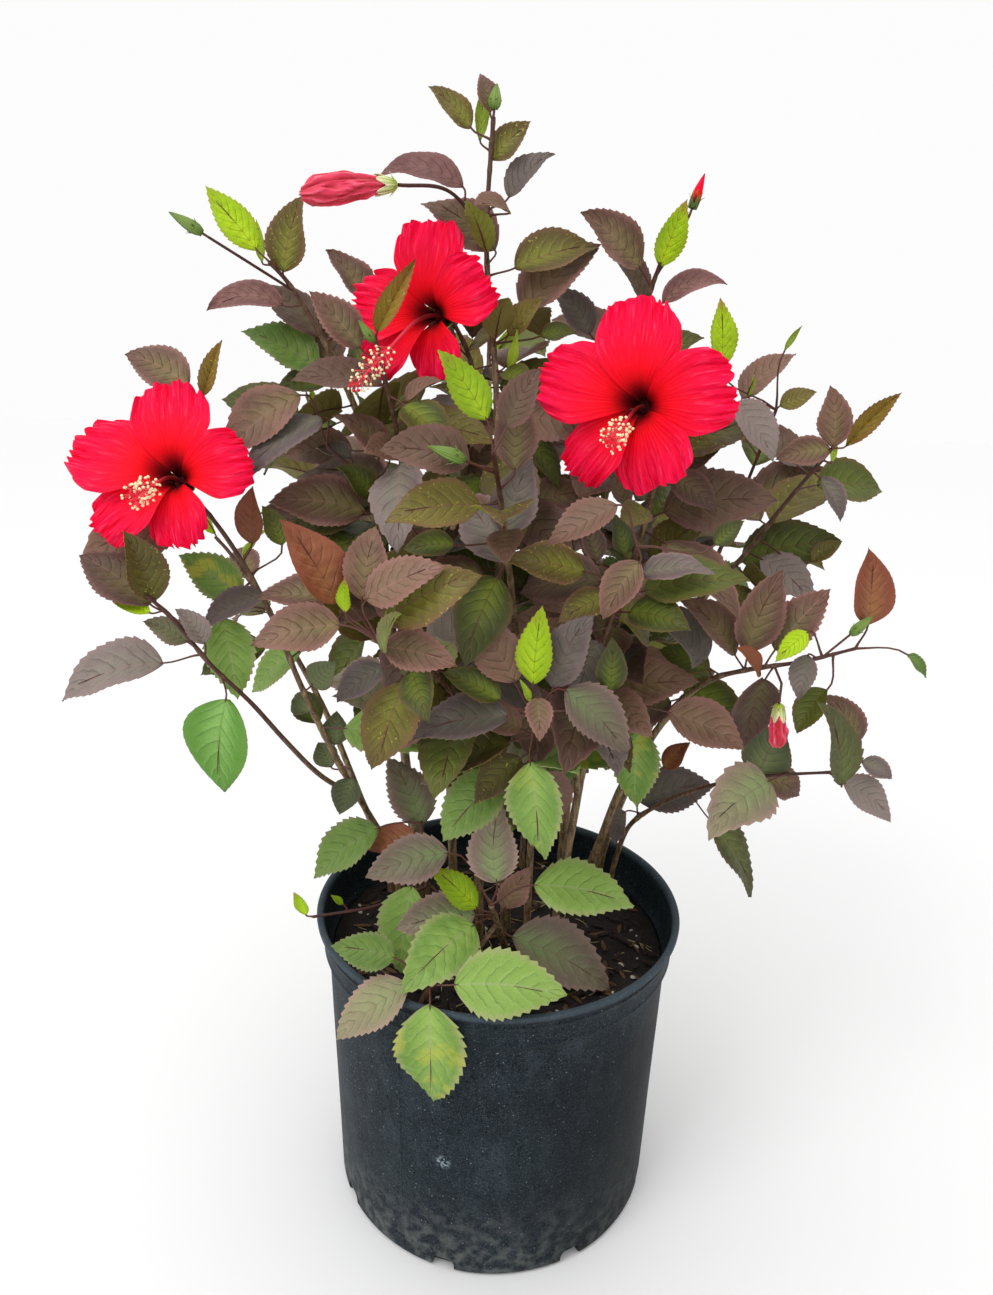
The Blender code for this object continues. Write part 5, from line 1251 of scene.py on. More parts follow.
def seen_places(paths, blooms, leaves):
    """Places that the photograph shows and no small leaf may hide."""
    seen = []
    for name, kept in leaves.items():
        seen += [blade_middle(leaf) for leaf in kept[:len(SIGHTED.get(name, ()))]]
    for bloom in blooms:
        for reach in SEEN_PETAL:
            seen += [bloom.petal_at(index, reach, 0.0)[0] for index in range(PETALS)]
        seen += column_path(bloom, COLUMN_STEPS)[COLUMN_STEPS // 3::3]
    for name, cane, axis, length, _ in SPENT:
        axis = Vector(axis).normalized()
        base = spent_base(paths, name, cane, axis)
        seen += [base + axis * length * share for share in SEEN_PETAL]
    for cane, back, axis, *_ in BUDS:
        seen.append(along(paths[cane][0], back) + Vector(axis).normalized() * BUD_STALK)
    return seen


def hides(leaf, seen):
    """Whether a leaf stands between the eye and one of some places."""
    middle = blade_middle(leaf) - EYE
    for place in seen:
        way = place - EYE
        share = middle.dot(way) / way.length_squared
        if share < HIDING_NEARER and (way * share - middle).length < HIDING_REACH * leaf.length:
            return True
    return False


def filler_leaf(space, node, path, place, seen, draws):
    """A small leaf that shows its face to the front and hides no seen place, or none."""
    root = along(path, place[0] / 1000)
    sway = Vector((draws.uniform(-1, 1), draws.uniform(-1, 1), draws.uniform(-0.5, 1))) * FILLER_SWAY
    return turned_leaf(space, node, root, place[1:], (FRONT + sway).normalized(), seen)


def filler_leaves(space, paths, blooms, leaves):
    """Small leaves of each cane, set where there is room, the largest first."""
    draws = random.Random(FILLER_SEED)
    seen = seen_places(paths, blooms, leaves)
    small = {name: [] for name in leaves}
    for lengths in FILLER_LENGTHS:
        for name, count in FILLERS.items():
            path = paths[name][0]
            reach = sum((b - a).length for a, b in zip(path, path[1:]) if a.z > SOIL_TOP)
            step = (reach - FILLER_FROM) * FILLER_SHARE / count
            for k in range(count):
                back = FILLER_FROM + step * (k + draws.random())
                height = along(path, back).z
                kinds = FILLER_KINDS if height > LOW_LEAVES else FILLER_LOW_KINDS
                place = (back * 1000, draws.uniform(0, 360), draws.uniform(*FILLER_RISE),
                         draws.uniform(*lengths), kinds[draws.randrange(len(kinds))])
                if not FILLER_HEIGHTS[0] < height < FILLER_HEIGHTS[1]:
                    continue
                leaf = filler_leaf(space, cane_node(name), path, place, seen, draws)
                if leaf:
                    small[name].append(leaf)
    return small


def srgb(colour):
    """A colour as it looks, out of 255, in linear light less what the sky's reflection adds."""
    shares = [value / 255 for value in colour]
    linear = [s / 12.92 if s <= 0.04045 else ((s + 0.055) / 1.055) ** 2.4 for s in shares]
    return (*[max(s - SKY_SHEEN, s * 0.3) for s in linear], 1.0)


class Look:
    """A material in the making, with short calls for its nodes."""

    def __init__(self, name, roughness, sockets=()):
        self.made = bpy.data.materials.new(name)
        self.made.use_nodes = True
        self.tree = self.made.node_tree
        self.shader = self.tree.nodes["Principled BSDF"]
        self.shader.inputs["Roughness"].default_value = roughness
        for socket, value in sockets:
            self.shader.inputs[socket].default_value = value
        self.coordinates = self.tree.nodes.new("ShaderNodeTexCoord").outputs["Object"]

    def give(self, value, socket):
        """Set a socket from another node, from a colour that it looks like, or to a number."""
        if isinstance(value, bpy.types.NodeSocket):
            self.tree.links.new(value, socket)
        elif isinstance(value, tuple) and socket.type == "RGBA":
            socket.default_value = srgb(value)
        else:
            socket.default_value = value

    def math(self, operation, *values):
        node = self.tree.nodes.new("ShaderNodeMath")
        node.operation = operation
        for value, socket in zip(values, node.inputs):
            self.give(value, socket)
        return node.outputs[0]

    def plus(self, *values):
        return self.math("ADD", *values)

    def minus(self, *values):
        return self.math("SUBTRACT", *values)

    def times(self, *values):
        return self.math("MULTIPLY", *values)

    def mix(self, share, first, second):
        """First colour where share is 0, second where it is 1."""
        node = self.tree.nodes.new("ShaderNodeMix")
        node.data_type = "RGBA"
        self.give(share, node.inputs[0])
        self.give(first, node.inputs[6])
        self.give(second, node.inputs[7])
        return node.outputs[2]

    def tint(self, colour, tone, share, strength=None):
        """A colour with a tone over it, by a share of its own and at most so strong."""
        if strength is not None:
            share = self.times(share, strength)
        return self.mix(share, colour, tone)

    def step(self, value, low, high):
        """0 below low, 1 above high and a soft rise between; low may be the larger."""
        node = self.tree.nodes.new("ShaderNodeMapRange")
        node.interpolation_type = "SMOOTHSTEP"
        self.give(value, node.inputs["Value"])
        node.inputs["From Min"].default_value = low
        node.inputs["From Max"].default_value = high
        return node.outputs["Result"]

    def split(self, vector):
        """The three numbers of a vector."""
        parts = self.tree.nodes.new("ShaderNodeSeparateXYZ")
        self.tree.links.new(vector, parts.inputs[0])
        return parts.outputs

    def places(self):
        """The three numbers of a surface place, and the draw of its leaf or piece."""
        place = self.tree.nodes.new("ShaderNodeAttribute")
        place.attribute_name = "place"
        draw = self.tree.nodes.new("ShaderNodeAttribute")
        draw.attribute_name = "draw"
        return (*self.split(place.outputs["Vector"]), draw.outputs["Fac"])

    def noise(self, scale, detail=3.0, at=None, stretch=None):
        """Soft noise from 0 to 1, per metre of the piece unless a vector is given."""
        node = self.tree.nodes.new("ShaderNodeTexNoise")
        vector = at or self.coordinates
        if stretch:
            scaled = self.tree.nodes.new("ShaderNodeMapping")
            scaled.inputs["Scale"].default_value = stretch
            self.tree.links.new(vector, scaled.inputs["Vector"])
            vector = scaled.outputs[0]
        self.tree.links.new(vector, node.inputs["Vector"])
        node.inputs["Scale"].default_value = scale
        node.inputs["Detail"].default_value = detail
        return node.outputs[0]

    def patches(self, scale, low, high, detail=3.0):
        """Soft patches of noise, 0 where it is below low and 1 where it is above high."""
        return self.step(self.noise(scale, detail), low, high)

    def cells(self, scale, at=None, feature="DISTANCE_TO_EDGE"):
        """Distance to the edge of, or to the middle of, the nearest of many small cells."""
        node = self.tree.nodes.new("ShaderNodeTexVoronoi")
        node.feature = feature
        self.tree.links.new(at or self.coordinates, node.inputs["Vector"])
        node.inputs["Scale"].default_value = scale
        return node.outputs["Distance"]

    def near(self, point, reach, core):
        """1 within core of a point of the piece, 0 beyond reach of it."""
        away = self.tree.nodes.new("ShaderNodeVectorMath")
        away.operation = "DISTANCE"
        self.tree.links.new(self.coordinates, away.inputs[0])
        away.inputs[1].default_value = point
        return self.step(away.outputs["Value"], reach, core)

    def vector(self, *parts):
        node = self.tree.nodes.new("ShaderNodeCombineXYZ")
        for value, socket in zip(parts, node.inputs):
            self.give(value, socket)
        return node.outputs[0]

    def finish(self, colour, height=None, depth=0.0003, rough=None):
        """Wire the colour, the relief of so many metres and a varied roughness."""
        self.give(colour, self.shader.inputs["Base Color"])
        if height is not None:
            bump = self.tree.nodes.new("ShaderNodeBump")
            bump.inputs["Distance"].default_value = depth
            self.give(height, bump.inputs["Height"])
            self.tree.links.new(bump.outputs[0], self.shader.inputs["Normal"])
        if rough is not None:
            self.give(rough, self.shader.inputs["Roughness"])
        return self.made


def vein_lines(look, along_blade, across_blade):
    """Lines and bands of the side veins, the midrib's line, and the share of the way out."""
    out = look.math("ABSOLUTE", across_blade)
    run = look.minus(along_blade, look.times(look.math("POWER", out, VEIN_BEND), VEIN_SLOPE))
    run = look.plus(run, look.times(look.noise(60, 2.0), VEIN_WANDER))
    band = look.math("FRACT", look.math("DIVIDE", look.minus(run, VEIN_FIRST), VEIN_STEP))
    band = look.minus(band, 0.5)
    inside = look.step(out, 0.98, 0.45)
    line = look.times(look.step(look.math("ABSOLUTE", band), 0.42, 0.50), inside)
    line = look.times(line, look.patches(90, 0.15, 0.65, 2.0))
    return line, look.times(band, inside), look.step(out, 0.060, 0.015), out


def leaf_tones(kind):
    """The six colours of one kind of leaf, in its own light."""
    light = LEAF_LIGHT.get(kind, 1.0)
    return [tuple(min(255, round(c * light)) for c in colour) for colour in LEAF_COLOURS[kind]]


def leaf_look(kind):
    """Blade of one kind of leaf: two tones in patches, painted light and shade on the quilting, edge and
    underside.
    """
    body, second, wash, edge, vein, under = leaf_tones(kind)
    strength = VEIN_STRENGTH.get(kind, 0.5)
    look = Look("leaf_" + kind, 0.46, (("Specular IOR Level", 0.34),))
    along_blade, across_blade, side, draw = look.places()
    line, band, midrib, out = vein_lines(look, along_blade, across_blade)
    tone = look.plus(look.noise(52, 5.0), look.times(look.minus(draw, 0.5), 0.7))
    colour = look.mix(look.step(tone, 0.26, 0.74), body, second)
    middle = look.times(look.step(out, 0.80, 0.0), look.step(along_blade, 0.95, 0.1))
    middle = look.times(middle, look.step(look.plus(look.noise(46, 3.0), draw), 0.4, 1.3))
    colour = look.tint(colour, wash, middle)
    tip = look.times(look.step(along_blade, 0.62, 0.98), TIP_SHARE.get(kind, 0.0))
    colour = look.tint(colour, edge, look.math("MAXIMUM", look.step(out, 0.72, 1.0), tip), 0.8)
    # Painted highlight on one side of the bulges between side veins and painted shade on the other, along the
    # vein
    painted_bulge_light = look.times(look.step(band, 0.05, 0.48), look.patches(80, 0.25, 0.7))
    colour = look.tint(colour, tuple(min(255, c + BULGE_HIGHLIGHT_LIFT) for c in wash), painted_bulge_light, BULGE_LIGHT)
    colour = look.tint(colour, vein, look.step(band, -0.10, -0.48), strength * BAND_SHADE)
    net = look.cells(46, look.vector(along_blade, look.times(across_blade, 0.32), draw))
    net = look.times(look.step(net, 0.12, 0.0), 0.30)
    colour = look.tint(colour, vein, look.math("MAXIMUM", look.times(line, strength), net))
    colour = look.tint(colour, MIDRIB_TONES.get(kind, edge), midrib, 0.6)
    deep = look.step(look.math("FRACT", look.times(draw, 7.3)), 0.35, 1.0)
    colour = look.tint(colour, tuple(round(c * DEEP_TONE) for c in second), deep, DEEPEST)
    back = look.tint(under, UNDER_VEIN, look.math("MAXIMUM", line, midrib), 0.6)
    colour = look.mix(side, colour, back)
    if kind == "lime":
        ends = look.times(look.step(along_blade, 0.70, 0.98), look.patches(90, 0.35, 0.6))
        colour = look.tint(colour, LIME_END, ends, 0.7)
    if kind in SPECKLED:
        specks = look.times(look.patches(560, 0.66, 0.72, 1.0), look.patches(70, 0.42, 0.62))
        colour = look.tint(colour, LEAF_SPECK, specks, 0.6)
    if kind == "green":
        patches = look.times(look.patches(58, 0.54, 0.66), look.step(draw, 0.45, 0.85))
        colour = look.tint(colour, LEAF_PATCH, patches, 0.55)
    relief = look.plus(look.times(line, -1.0), look.times(look.noise(700, 2.0), 0.6))
    return look.finish(colour, relief, 0.00030, look.patches(70, -0.9, 1.6))


def bark_look():
    """Bark: dark red on young wood, tan with pale corky marks on old wood."""
    look = Look("bark", 0.6)
    radius = look.places()[2]
    streaks = look.noise(420, 4.0, stretch=(1.0, 1.0, 0.16))
    old = look.mix(look.step(streaks, 0.36, 0.66), BARK["dark"], BARK["old"])
    old = look.tint(old, BARK["warts"], look.patches(820, 0.62, 0.70, 1.0), 0.6)
    young = look.mix(look.noise(150), BARK["young"], BARK["young brown"])
    return look.finish(look.mix(look.step(radius, 1.1, 2.7), young, old), look.noise(700), 0.0004)


def petal_look():
    """Vivid red, pinker outwards, with fine darker rays, painted highlights and shade on the outer crinkles,
    and a crimson throat deepened by painted shade.
    """
    look = Look("petal", 0.6, (("Specular IOR Level", 0.10),))
    reach, across, side, draw = look.places()
    place = look.times(look.plus(across, look.times(look.noise(70), 0.16)), 2 * math.pi * PETAL_VEINS)
    rays = look.step(look.math("SINE", place), 0.2, 1.0)
    fine = look.step(look.math("SINE", look.times(place, 2.7)), 0.4, 1.0)
    rays = look.times(look.plus(rays, look.times(fine, 0.35)), look.patches(110, 0.30, 0.72))
    rays = look.times(look.times(rays, look.step(reach, 0.20, 0.8)), 0.28)
    run = look.vector(look.times(across, 19.0), look.times(reach, 5.0), look.times(draw, 40.0))
    crinkle = look.noise(1.0, 5.0, run)
    outer = look.step(reach, 0.38, 0.88)
    colour = look.mix(look.step(reach, 0.34, 1.0), PETAL["inner"], PETAL["outer"])
    colour = look.tint(colour, PETAL["rays"], rays)
    # Painted highlights on the ridges of the outer crinkles and painted shade in their troughs, following the
    # crinkles' relief
    colour = look.tint(colour, PETAL["fold highlights"], look.times(look.step(crinkle, 0.52, 0.74), outer), 0.52)
    colour = look.tint(colour, PETAL["hollow shade"], look.times(look.step(crinkle, 0.46, 0.28), outer), 0.55)
    # The bloom's own dark crimson eye, with painted shade of the deep throat in its darkest tones
    for start, full, tone in THROAT:
        colour = look.tint(colour, tone, look.step(reach, start, full))
    colour = look.tint(colour, PETAL["under"], side, 0.5)
    relief = look.plus(rays, look.times(crinkle, look.times(outer, 2.4)))
    return look.finish(colour, relief, 0.00060)


def plain_look(name, first, second, patches, grain, roughness, depth):
    """Two tones of one stuff in soft patches, with a fine grain."""
    look = Look(name, roughness)
    return look.finish(look.mix(look.noise(patches), first, second), look.noise(grain), depth)


def column_look():
    """Staminal column: dark crimson in the throat, partly painted shade of the deep hole, rose red towards
    its end.
    """
    look = Look("column", 0.5)
    reach = look.places()[1]
    colour = look.mix(look.noise(300), COLUMN["dark"], COLUMN["rose"])
    # Dark crimson where the column leaves the throat, partly painted shade of the deep hole
    colour = look.tint(colour, COLUMN["throat"], look.step(reach, 0.040, 0.020))
    return look.finish(colour, look.noise(1500), 0.0001)


def calyx_look(name, foot, tip):
    """Green cup, paler towards the points of its lobes, with fine ribs."""
    look = Look(name, 0.5)
    reach, turn = look.places()[:2]
    ribs = look.math("SINE", look.times(turn, 2 * math.pi * CALYX_RIBS))
    colour = look.tint(look.mix(reach, foot, tip), CALYX["ribs"], look.step(ribs, 0.5, 1.0), 0.35)
    return look.finish(colour, ribs, 0.0002)


def spent_look():
    """Crumpled petals: crimson, with painted pink highlights on the ridges of the crumples and painted shade
    in their troughs.
    """
    look = Look("spent_petal", 0.6, (("Sheen Weight", 0.2),))
    fold = look.places()[1]
    # Darker as painted shade where the crumples sink, lighter as painted highlight on their ridges
    colour = look.mix(look.step(fold, -0.8, 0.5), SPENT_PETAL["hollow shade"], SPENT_PETAL["body"])
    colour = look.tint(colour, SPENT_PETAL["fold highlights"], look.step(fold, 0.3, 1.0), 0.6)
    return look.finish(colour, look.noise(520), 0.0004)


def pot_look():
    """Matt black-blue plastic with dust, water marks, specks, a worn lip and painted shade on its right side.
    """
    look = Look("pot_plastic", 0.6, (("Specular IOR Level", 0.07),))
    across, _, height = look.split(look.coordinates)
    streaks = look.noise(90, 6.0, stretch=(1.0, 1.0, 0.45))
    colour = look.mix(look.noise(14, 4.0), PLASTIC["dark"], PLASTIC["body"])
    colour = look.tint(colour, PLASTIC["streaks"], look.step(streaks, 0.45, 0.75), 0.30)
    colour = look.tint(colour, PLASTIC["grain"], look.patches(1100, 0.52, 0.70, 2.0), 0.38)
    colour = look.tint(colour, PLASTIC["pits"], look.patches(420, 0.44, 0.32), 0.7)
    worn = look.step(height, POT_HEIGHT - 0.006, POT_HEIGHT - 0.001)
    colour = look.tint(colour, PLASTIC["worn"], worn, 0.4)
    dust = look.times(look.step(height, 0.085, 0.0), look.patches(120, 0.38, 0.70, 5.0))
    colour = look.tint(colour, PLASTIC["dust"], dust, 0.65)
    specks = look.step(look.cells(260, feature="F1"), 0.15, 0.08)
    specks = look.times(specks, look.patches(130, 0.48, 0.62, 2.0))
    colour = look.tint(colour, PLASTIC["specks"], specks, 0.8)
    scuff = look.times(look.near(SCUFF_PLACE, 0.0072, 0.001), look.patches(420, 0.46, 0.56))
    colour = look.tint(colour, PLASTIC["scuff"], scuff, 0.8)
    # Painted shade on the right side of the pot, below its band
    painted_right_shade = look.step(height, POT_HEIGHT - 0.026, POT_HEIGHT - 0.080)
    painted_right_shade = look.times(look.step(across, *PAINTED_SHADE_SIDE), painted_right_shade)
    colour = look.tint(colour, PLASTIC["painted_right_shade"], painted_right_shade, 0.62)
    relief = look.plus(look.noise(500), look.times(streaks, 0.6))
    rough = look.plus(look.times(look.noise(24), 0.22), 0.42)
    return look.finish(colour, relief, 0.00022, rough)


def soil_look():
    """Dark damp mix with a coarse grain."""
    look = Look("potting_mix", 0.95)
    colour = look.mix(look.noise(320, 5.0), SOIL["damp"], SOIL["dry"])
    return look.finish(colour, look.noise(600, 4.0), 0.0012)


def make_looks():
    """Every material of the plant and the mix, by name."""
    looks = {kind: leaf_look(kind) for kind in LEAF_COLOURS}
    looks["bark"] = bark_look()
    looks["petal"] = petal_look()
    looks["spent"] = spent_look()
    looks["calyx"] = calyx_look("calyx", CALYX["foot"], CALYX["points"])
    looks["spent_calyx"] = calyx_look("spent_calyx", CALYX["spent foot"], CALYX["spent points"])
    looks["column"] = column_look()
    looks["soil"] = soil_look()
    for name, row in PLAIN_STUFFS.items():
        looks[name] = plain_look(name, *row)
    return looks


class Shape:
    """Points, faces and looks of a piece in the making."""

    def __init__(self):
        self.points, self.faces, self.looks, self.places, self.draws, self.used = [], [], [], [], [], []

    def add(self, body, look, places=None, draw=0.0):
        """Add the points and faces of a body in one look, with each point's surface place."""
        points, faces = body
        start = len(self.points)
        if look not in self.used:
            self.used.append(look)
        self.points += [tuple(point) for point in points]
        self.faces += [tuple(start + i for i in face) for face in faces]
        self.looks += [self.used.index(look)] * len(faces)
        self.places += [tuple(place) for place in places or [(0.0, 0.0, 0.0)] * len(points)]
        self.draws += [draw] * len(points)

    def build(self, name, node, slot):
        """The finished piece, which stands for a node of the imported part."""
        mesh = bpy.data.meshes.new(name)
        mesh.from_pydata(self.points, [], self.faces)
        mesh.polygons.foreach_set("material_index", self.looks)
        place = mesh.attributes.new("place", "FLOAT_VECTOR", "POINT")
        place.data.foreach_set("vector", np.array(self.places, np.float32).ravel())
        mesh.attributes.new("draw", "FLOAT", "POINT").data.foreach_set("value", self.draws)
        for look in self.used:
            mesh.materials.append(look)
        mesh.shade_smooth()
        mesh.set_sharp_from_angle(angle=RIM_ANGLE)
        return shown(bpy.data.objects.new(name, mesh), node)


def shown(piece, node):
    """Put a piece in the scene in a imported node's stead, riding on the part."""
    bpy.context.scene.collection.objects.link(piece)
    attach(piece, "root")
    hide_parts(node)
    return piece


def closed_sheet(top, bottom):
    """Points and faces of a thin body between two grids of rows, columns and coordinates."""
    rows, columns = top.shape[:2]
    index = np.arange(rows * columns).reshape(rows, columns)
    a, b, c, d = index[:-1, :-1], index[1:, :-1], index[1:, 1:], index[:-1, 1:]
    upper = np.stack([a, b, c, d], axis=-1).reshape(-1, 4)
    lower = np.stack([a, d, c, b], axis=-1).reshape(-1, 4) + rows * columns
    loop = np.concatenate([index[:, 0], index[-1, 1:], index[::-1, -1][1:], index[0, ::-1][1:-1]])
    after = np.roll(loop, -1)
    rim = np.stack([after, loop, loop + rows * columns, after + rows * columns], axis=-1)
    points = np.concatenate([top.reshape(-1, 3), bottom.reshape(-1, 3)])
    return points.tolist(), np.concatenate([upper, lower, rim]).tolist()


def sheet_places(reach, across):
    """Surface places of a closed sheet: along it, across it, and 1 on its underside."""
    top = np.stack([reach, across, np.zeros_like(reach)], axis=-1).reshape(-1, 3)
    return np.concatenate([top, top + np.array([0, 0, 1.0])]).tolist()


def leaf_rows(teeth):
    """Shares of a blade's length to build at, each with the height of its edge's tooth."""
    step = (TEETH_TO - TEETH_FROM) / teeth
    rows = [(0.0, 0.0), (0.025, 0.0), (0.06, 0.0)]
    for k in range(teeth):
        rows += [(TEETH_FROM + step * (k + phase), height) for phase, height in TOOTH]
    rows += [(TEETH_TO, 0.0), (0.97, 0.0), (0.988, 0.0), (1.0, 0.0)]
    return np.array(rows).T


def leaf_frames(leaf, u):
    """Midrib points of a leaf, and directions along, across and out, for many shares at once."""
    turned = leaf.rise - leaf.droop * u
    flat = np.array(heading(leaf.azimuth, 0))
    up = np.array([0.0, 0.0, 1.0])
    level = (math.sin(leaf.rise) - np.sin(turned)) / leaf.droop * leaf.length
    height = (np.cos(turned) - math.cos(leaf.rise)) / leaf.droop * leaf.length
    middle = np.array(leaf.foot) + np.outer(level, flat) + np.outer(height, up)
    ahead = np.outer(np.cos(turned), flat) + np.outer(np.sin(turned), up)
    face = np.array(leaf.face)
    out = face - ahead * (ahead @ face)[:, None]
    steep = np.linalg.norm(out, axis=1) < FACE_LEAST
    out[steep] = (np.outer(-np.sin(turned), flat) + np.outer(np.cos(turned), up))[steep]
    out /= np.linalg.norm(out, axis=1)[:, None]
    return middle, ahead, np.cross(out, ahead), out


def fine_blade(shape, leaf, look, draws, teeth, inner):
    """Blade of a leaf: toothed, folded at its midrib, quilted between its veins and waved."""
    u, tooth = leaf_rows(teeth)
    rows = u[:, None]
    middle, _, across, out = leaf_frames(leaf, u)
    fold = FOLD + draws.uniform(0, MORE_FOLD) + FOLDED.get(leaf.kind, 0.0)
    twist = draws.uniform(-TWIST, TWIST) * rows ** 1.5
    level, steep = np.cos(twist), np.sin(twist)
    across, out = across * level + out * steep, out * level - across * steep
    middle = middle + across * (draws.uniform(-SIDE_BEND, SIDE_BEND) * leaf.length * rows ** 2)
    middle = middle - out * (draws.uniform(0, TIP_DIP) * leaf.length * rows ** 3)
    half = 0.5 * leaf.width * np.sin(math.pi * np.clip(u, 0, 1) ** LEAF_BELLY).clip(0) ** LEAF_POINT
    half = np.maximum(half, np.where(u < 0.5, PETIOLE_WIDTH * 0.5, LEAST_HALF))
    depth = TOOTH_DEPTH * leaf.width * SMOOTH_EDGED.get(leaf.kind, 1.0)
    depth = np.minimum(depth, half * TOOTH_MOST) * (tooth - TOOTH_MIDDLE) * (u > TEETH_FROM)
    edge = np.maximum(half + depth, LEAST_HALF)
    one_side = np.concatenate([np.outer(half, inner), edge[:, None]], axis=1)
    v = np.concatenate([-one_side[:, ::-1], np.zeros((len(u), 1)), one_side], axis=1)
    share = v / edge[:, None]
    lift = blade_lift(leaf, rows, v, share, fold, draws)
    centre = middle[:, None, :] + across[:, None, :] * (v * math.cos(fold))[:, :, None]
    centre = centre + out[:, None, :] * lift[:, :, None]
    rise = out[:, None, :] * (LEAF_THICK / 2)
    places = sheet_places(np.broadcast_to(rows, v.shape), share)
    shape.add(closed_sheet(centre + rise, centre - rise), look, places, draws.random())


def blade_lift(leaf, rows, v, share, fold, draws):
    """How far a blade's points stand out of its plane: fold, waves, quilting, groove and roll."""
    out_share = np.abs(share)
    lift = np.abs(v) * math.sin(fold)
    start = np.where(v > 0, draws.uniform(0, ROUND), draws.uniform(0, ROUND))
    waves = draws.uniform(*WAVES)
    height = WAVE * leaf.length * draws.uniform(*WAVE_STRENGTH) * out_share ** 2
    lift = lift + height * np.sin(ROUND * waves * rows + start)
    run = rows - VEIN_SLOPE * out_share ** VEIN_BEND - VEIN_FIRST
    quilt = -np.cos(2 * math.pi * run / VEIN_STEP) * np.sin(math.pi * out_share.clip(0, 1)) ** 0.7
    lift = lift + QUILT * leaf.length * quilt * (1 - rows ** 4)
    lift = lift - MIDRIB_GROOVE * np.exp(-(v / MIDRIB_WIDTH) ** 2)
    return lift - draws.uniform(*EDGE_ROLL) * leaf.width * out_share ** 3


def nearest_point(points, place):
    """The point of a list that is nearest to a place."""
    return min(points, key=lambda point: (point - place).length_squared)


def fine_petiole(shape, leaf, start, look):
    """Petiole from the cane's middle to the blade, going on as the midrib under it."""
    middle, ahead, _, out = leaf_frames(leaf, np.array((0.0,) + MIDRIB_SHARES))
    reach = (leaf.foot - start).length
    first = start + (leaf.foot - start) * 0.35 + Vector((0, 0, reach * 0.05))
    second = leaf.foot - Vector(ahead[0]) * reach * 0.35
    points, radii = [], []
    for k in range(PETIOLE_STEPS + 1):
        t = k / PETIOLE_STEPS
        s = 1 - t
        points.append(start * s ** 3 + first * 3 * s * s * t + second * 3 * s * t * t + leaf.foot * t ** 3)
        radii.append(PETIOLE_RADIUS * (1 + (PETIOLE_BASE - 1) * max(0.0, 1 - 3 * t)))
    for k, share in enumerate(MIDRIB_SHARES, 1):
        radius = PETIOLE_RADIUS * (1 - share) ** 0.8
        under = LEAF_THICK * 0.5 + MIDRIB_GROOVE + radius * 0.45
        points.append(Vector(middle[k] - out[k] * under))
        radii.append(radius)
    shape.add(tube(points, radii, PETIOLE_SIDES), look)


def fine_path(path, radii):
    """Close points on a smooth curve through a cane's own points, and its radius at each."""
    ends = [2 * path[0] - path[1]] + path + [2 * path[-1] - path[-2]]
    runs = [(b - a).length for a, b in zip(ends, ends[1:])]
    speeds = []
    for i in range(1, len(ends) - 1):
        before, after = (ends[i] - ends[i - 1]) / runs[i - 1], (ends[i + 1] - ends[i]) / runs[i]
        speeds.append((before * runs[i] + after * runs[i - 1]) / (runs[i - 1] + runs[i]))
    points, widths = [], []
    for i, run in enumerate(runs[1:-1]):
        count = max(int(run / RING_STEP), 1)
        for k in range(count):
            t = k / count
            a, c = 2 * t ** 3 - 3 * t * t + 1, 3 * t * t - 2 * t ** 3
            b, d = t ** 3 - 2 * t * t + t, t ** 3 - t * t
            points.append(path[i] * a + speeds[i] * run * b + path[i + 1] * c + speeds[i + 1] * run * d)
            widths.append(radii[i] + (radii[i + 1] - radii[i]) * t)
    return points + [path[-1].copy()], widths + [radii[-1]]


def fine_cane(shape, points, widths, roots, look):
    """Cane with a swelling at each leaf's root."""
    radii, places = [], []
    for point, width in zip(points, widths):
        swell = sum(math.exp(-((point - root).length / NODE_REACH) ** 2) for root in roots)
        uneven = CANE_UNEVEN * noise.noise(point * CANE_LUMPS)
        radii.append(width * (1 + NODE_SWELL * min(swell, 1.0) + uneven))
        places += [(0.0, k / CANE_SIDES, radii[-1] * 1000) for k in range(CANE_SIDES)]
    shape.add(tube(points, radii, CANE_SIDES), look, places)


def small_sheet(shape, base, way, out, length, width, curl, look):
    """Small pointed blade, such as a bract or a sepal's lobe, bent outwards along its length."""
    s = np.linspace(0, 1, SHEET_ROWS)
    half = 0.5 * width * np.sin(math.pi * (0.12 + 0.88 * s) ** 0.8).clip(0.04) ** 0.8
    across = np.array(way.cross(out).normalized())
    steps = np.stack([np.cos(curl * s), np.sin(curl * s)], axis=1) * length / (SHEET_ROWS - 1)
    moved = np.cumsum(steps, axis=0) - steps[0]
    middle = np.array(base) + np.outer(moved[:, 0], np.array(way)) + np.outer(moved[:, 1], np.array(out))
    grid = middle[:, None, :] + np.outer(half, (1, 0, -1))[:, :, None] * across
    rise = np.array(out) * (SHEET_THICK / 2)
    places = sheet_places(np.repeat(s[:, None], 3, axis=1), np.tile((-1.0, 0.0, 1.0), (SHEET_ROWS, 1)))
    shape.add(closed_sheet(grid + rise, grid - rise), look, places)


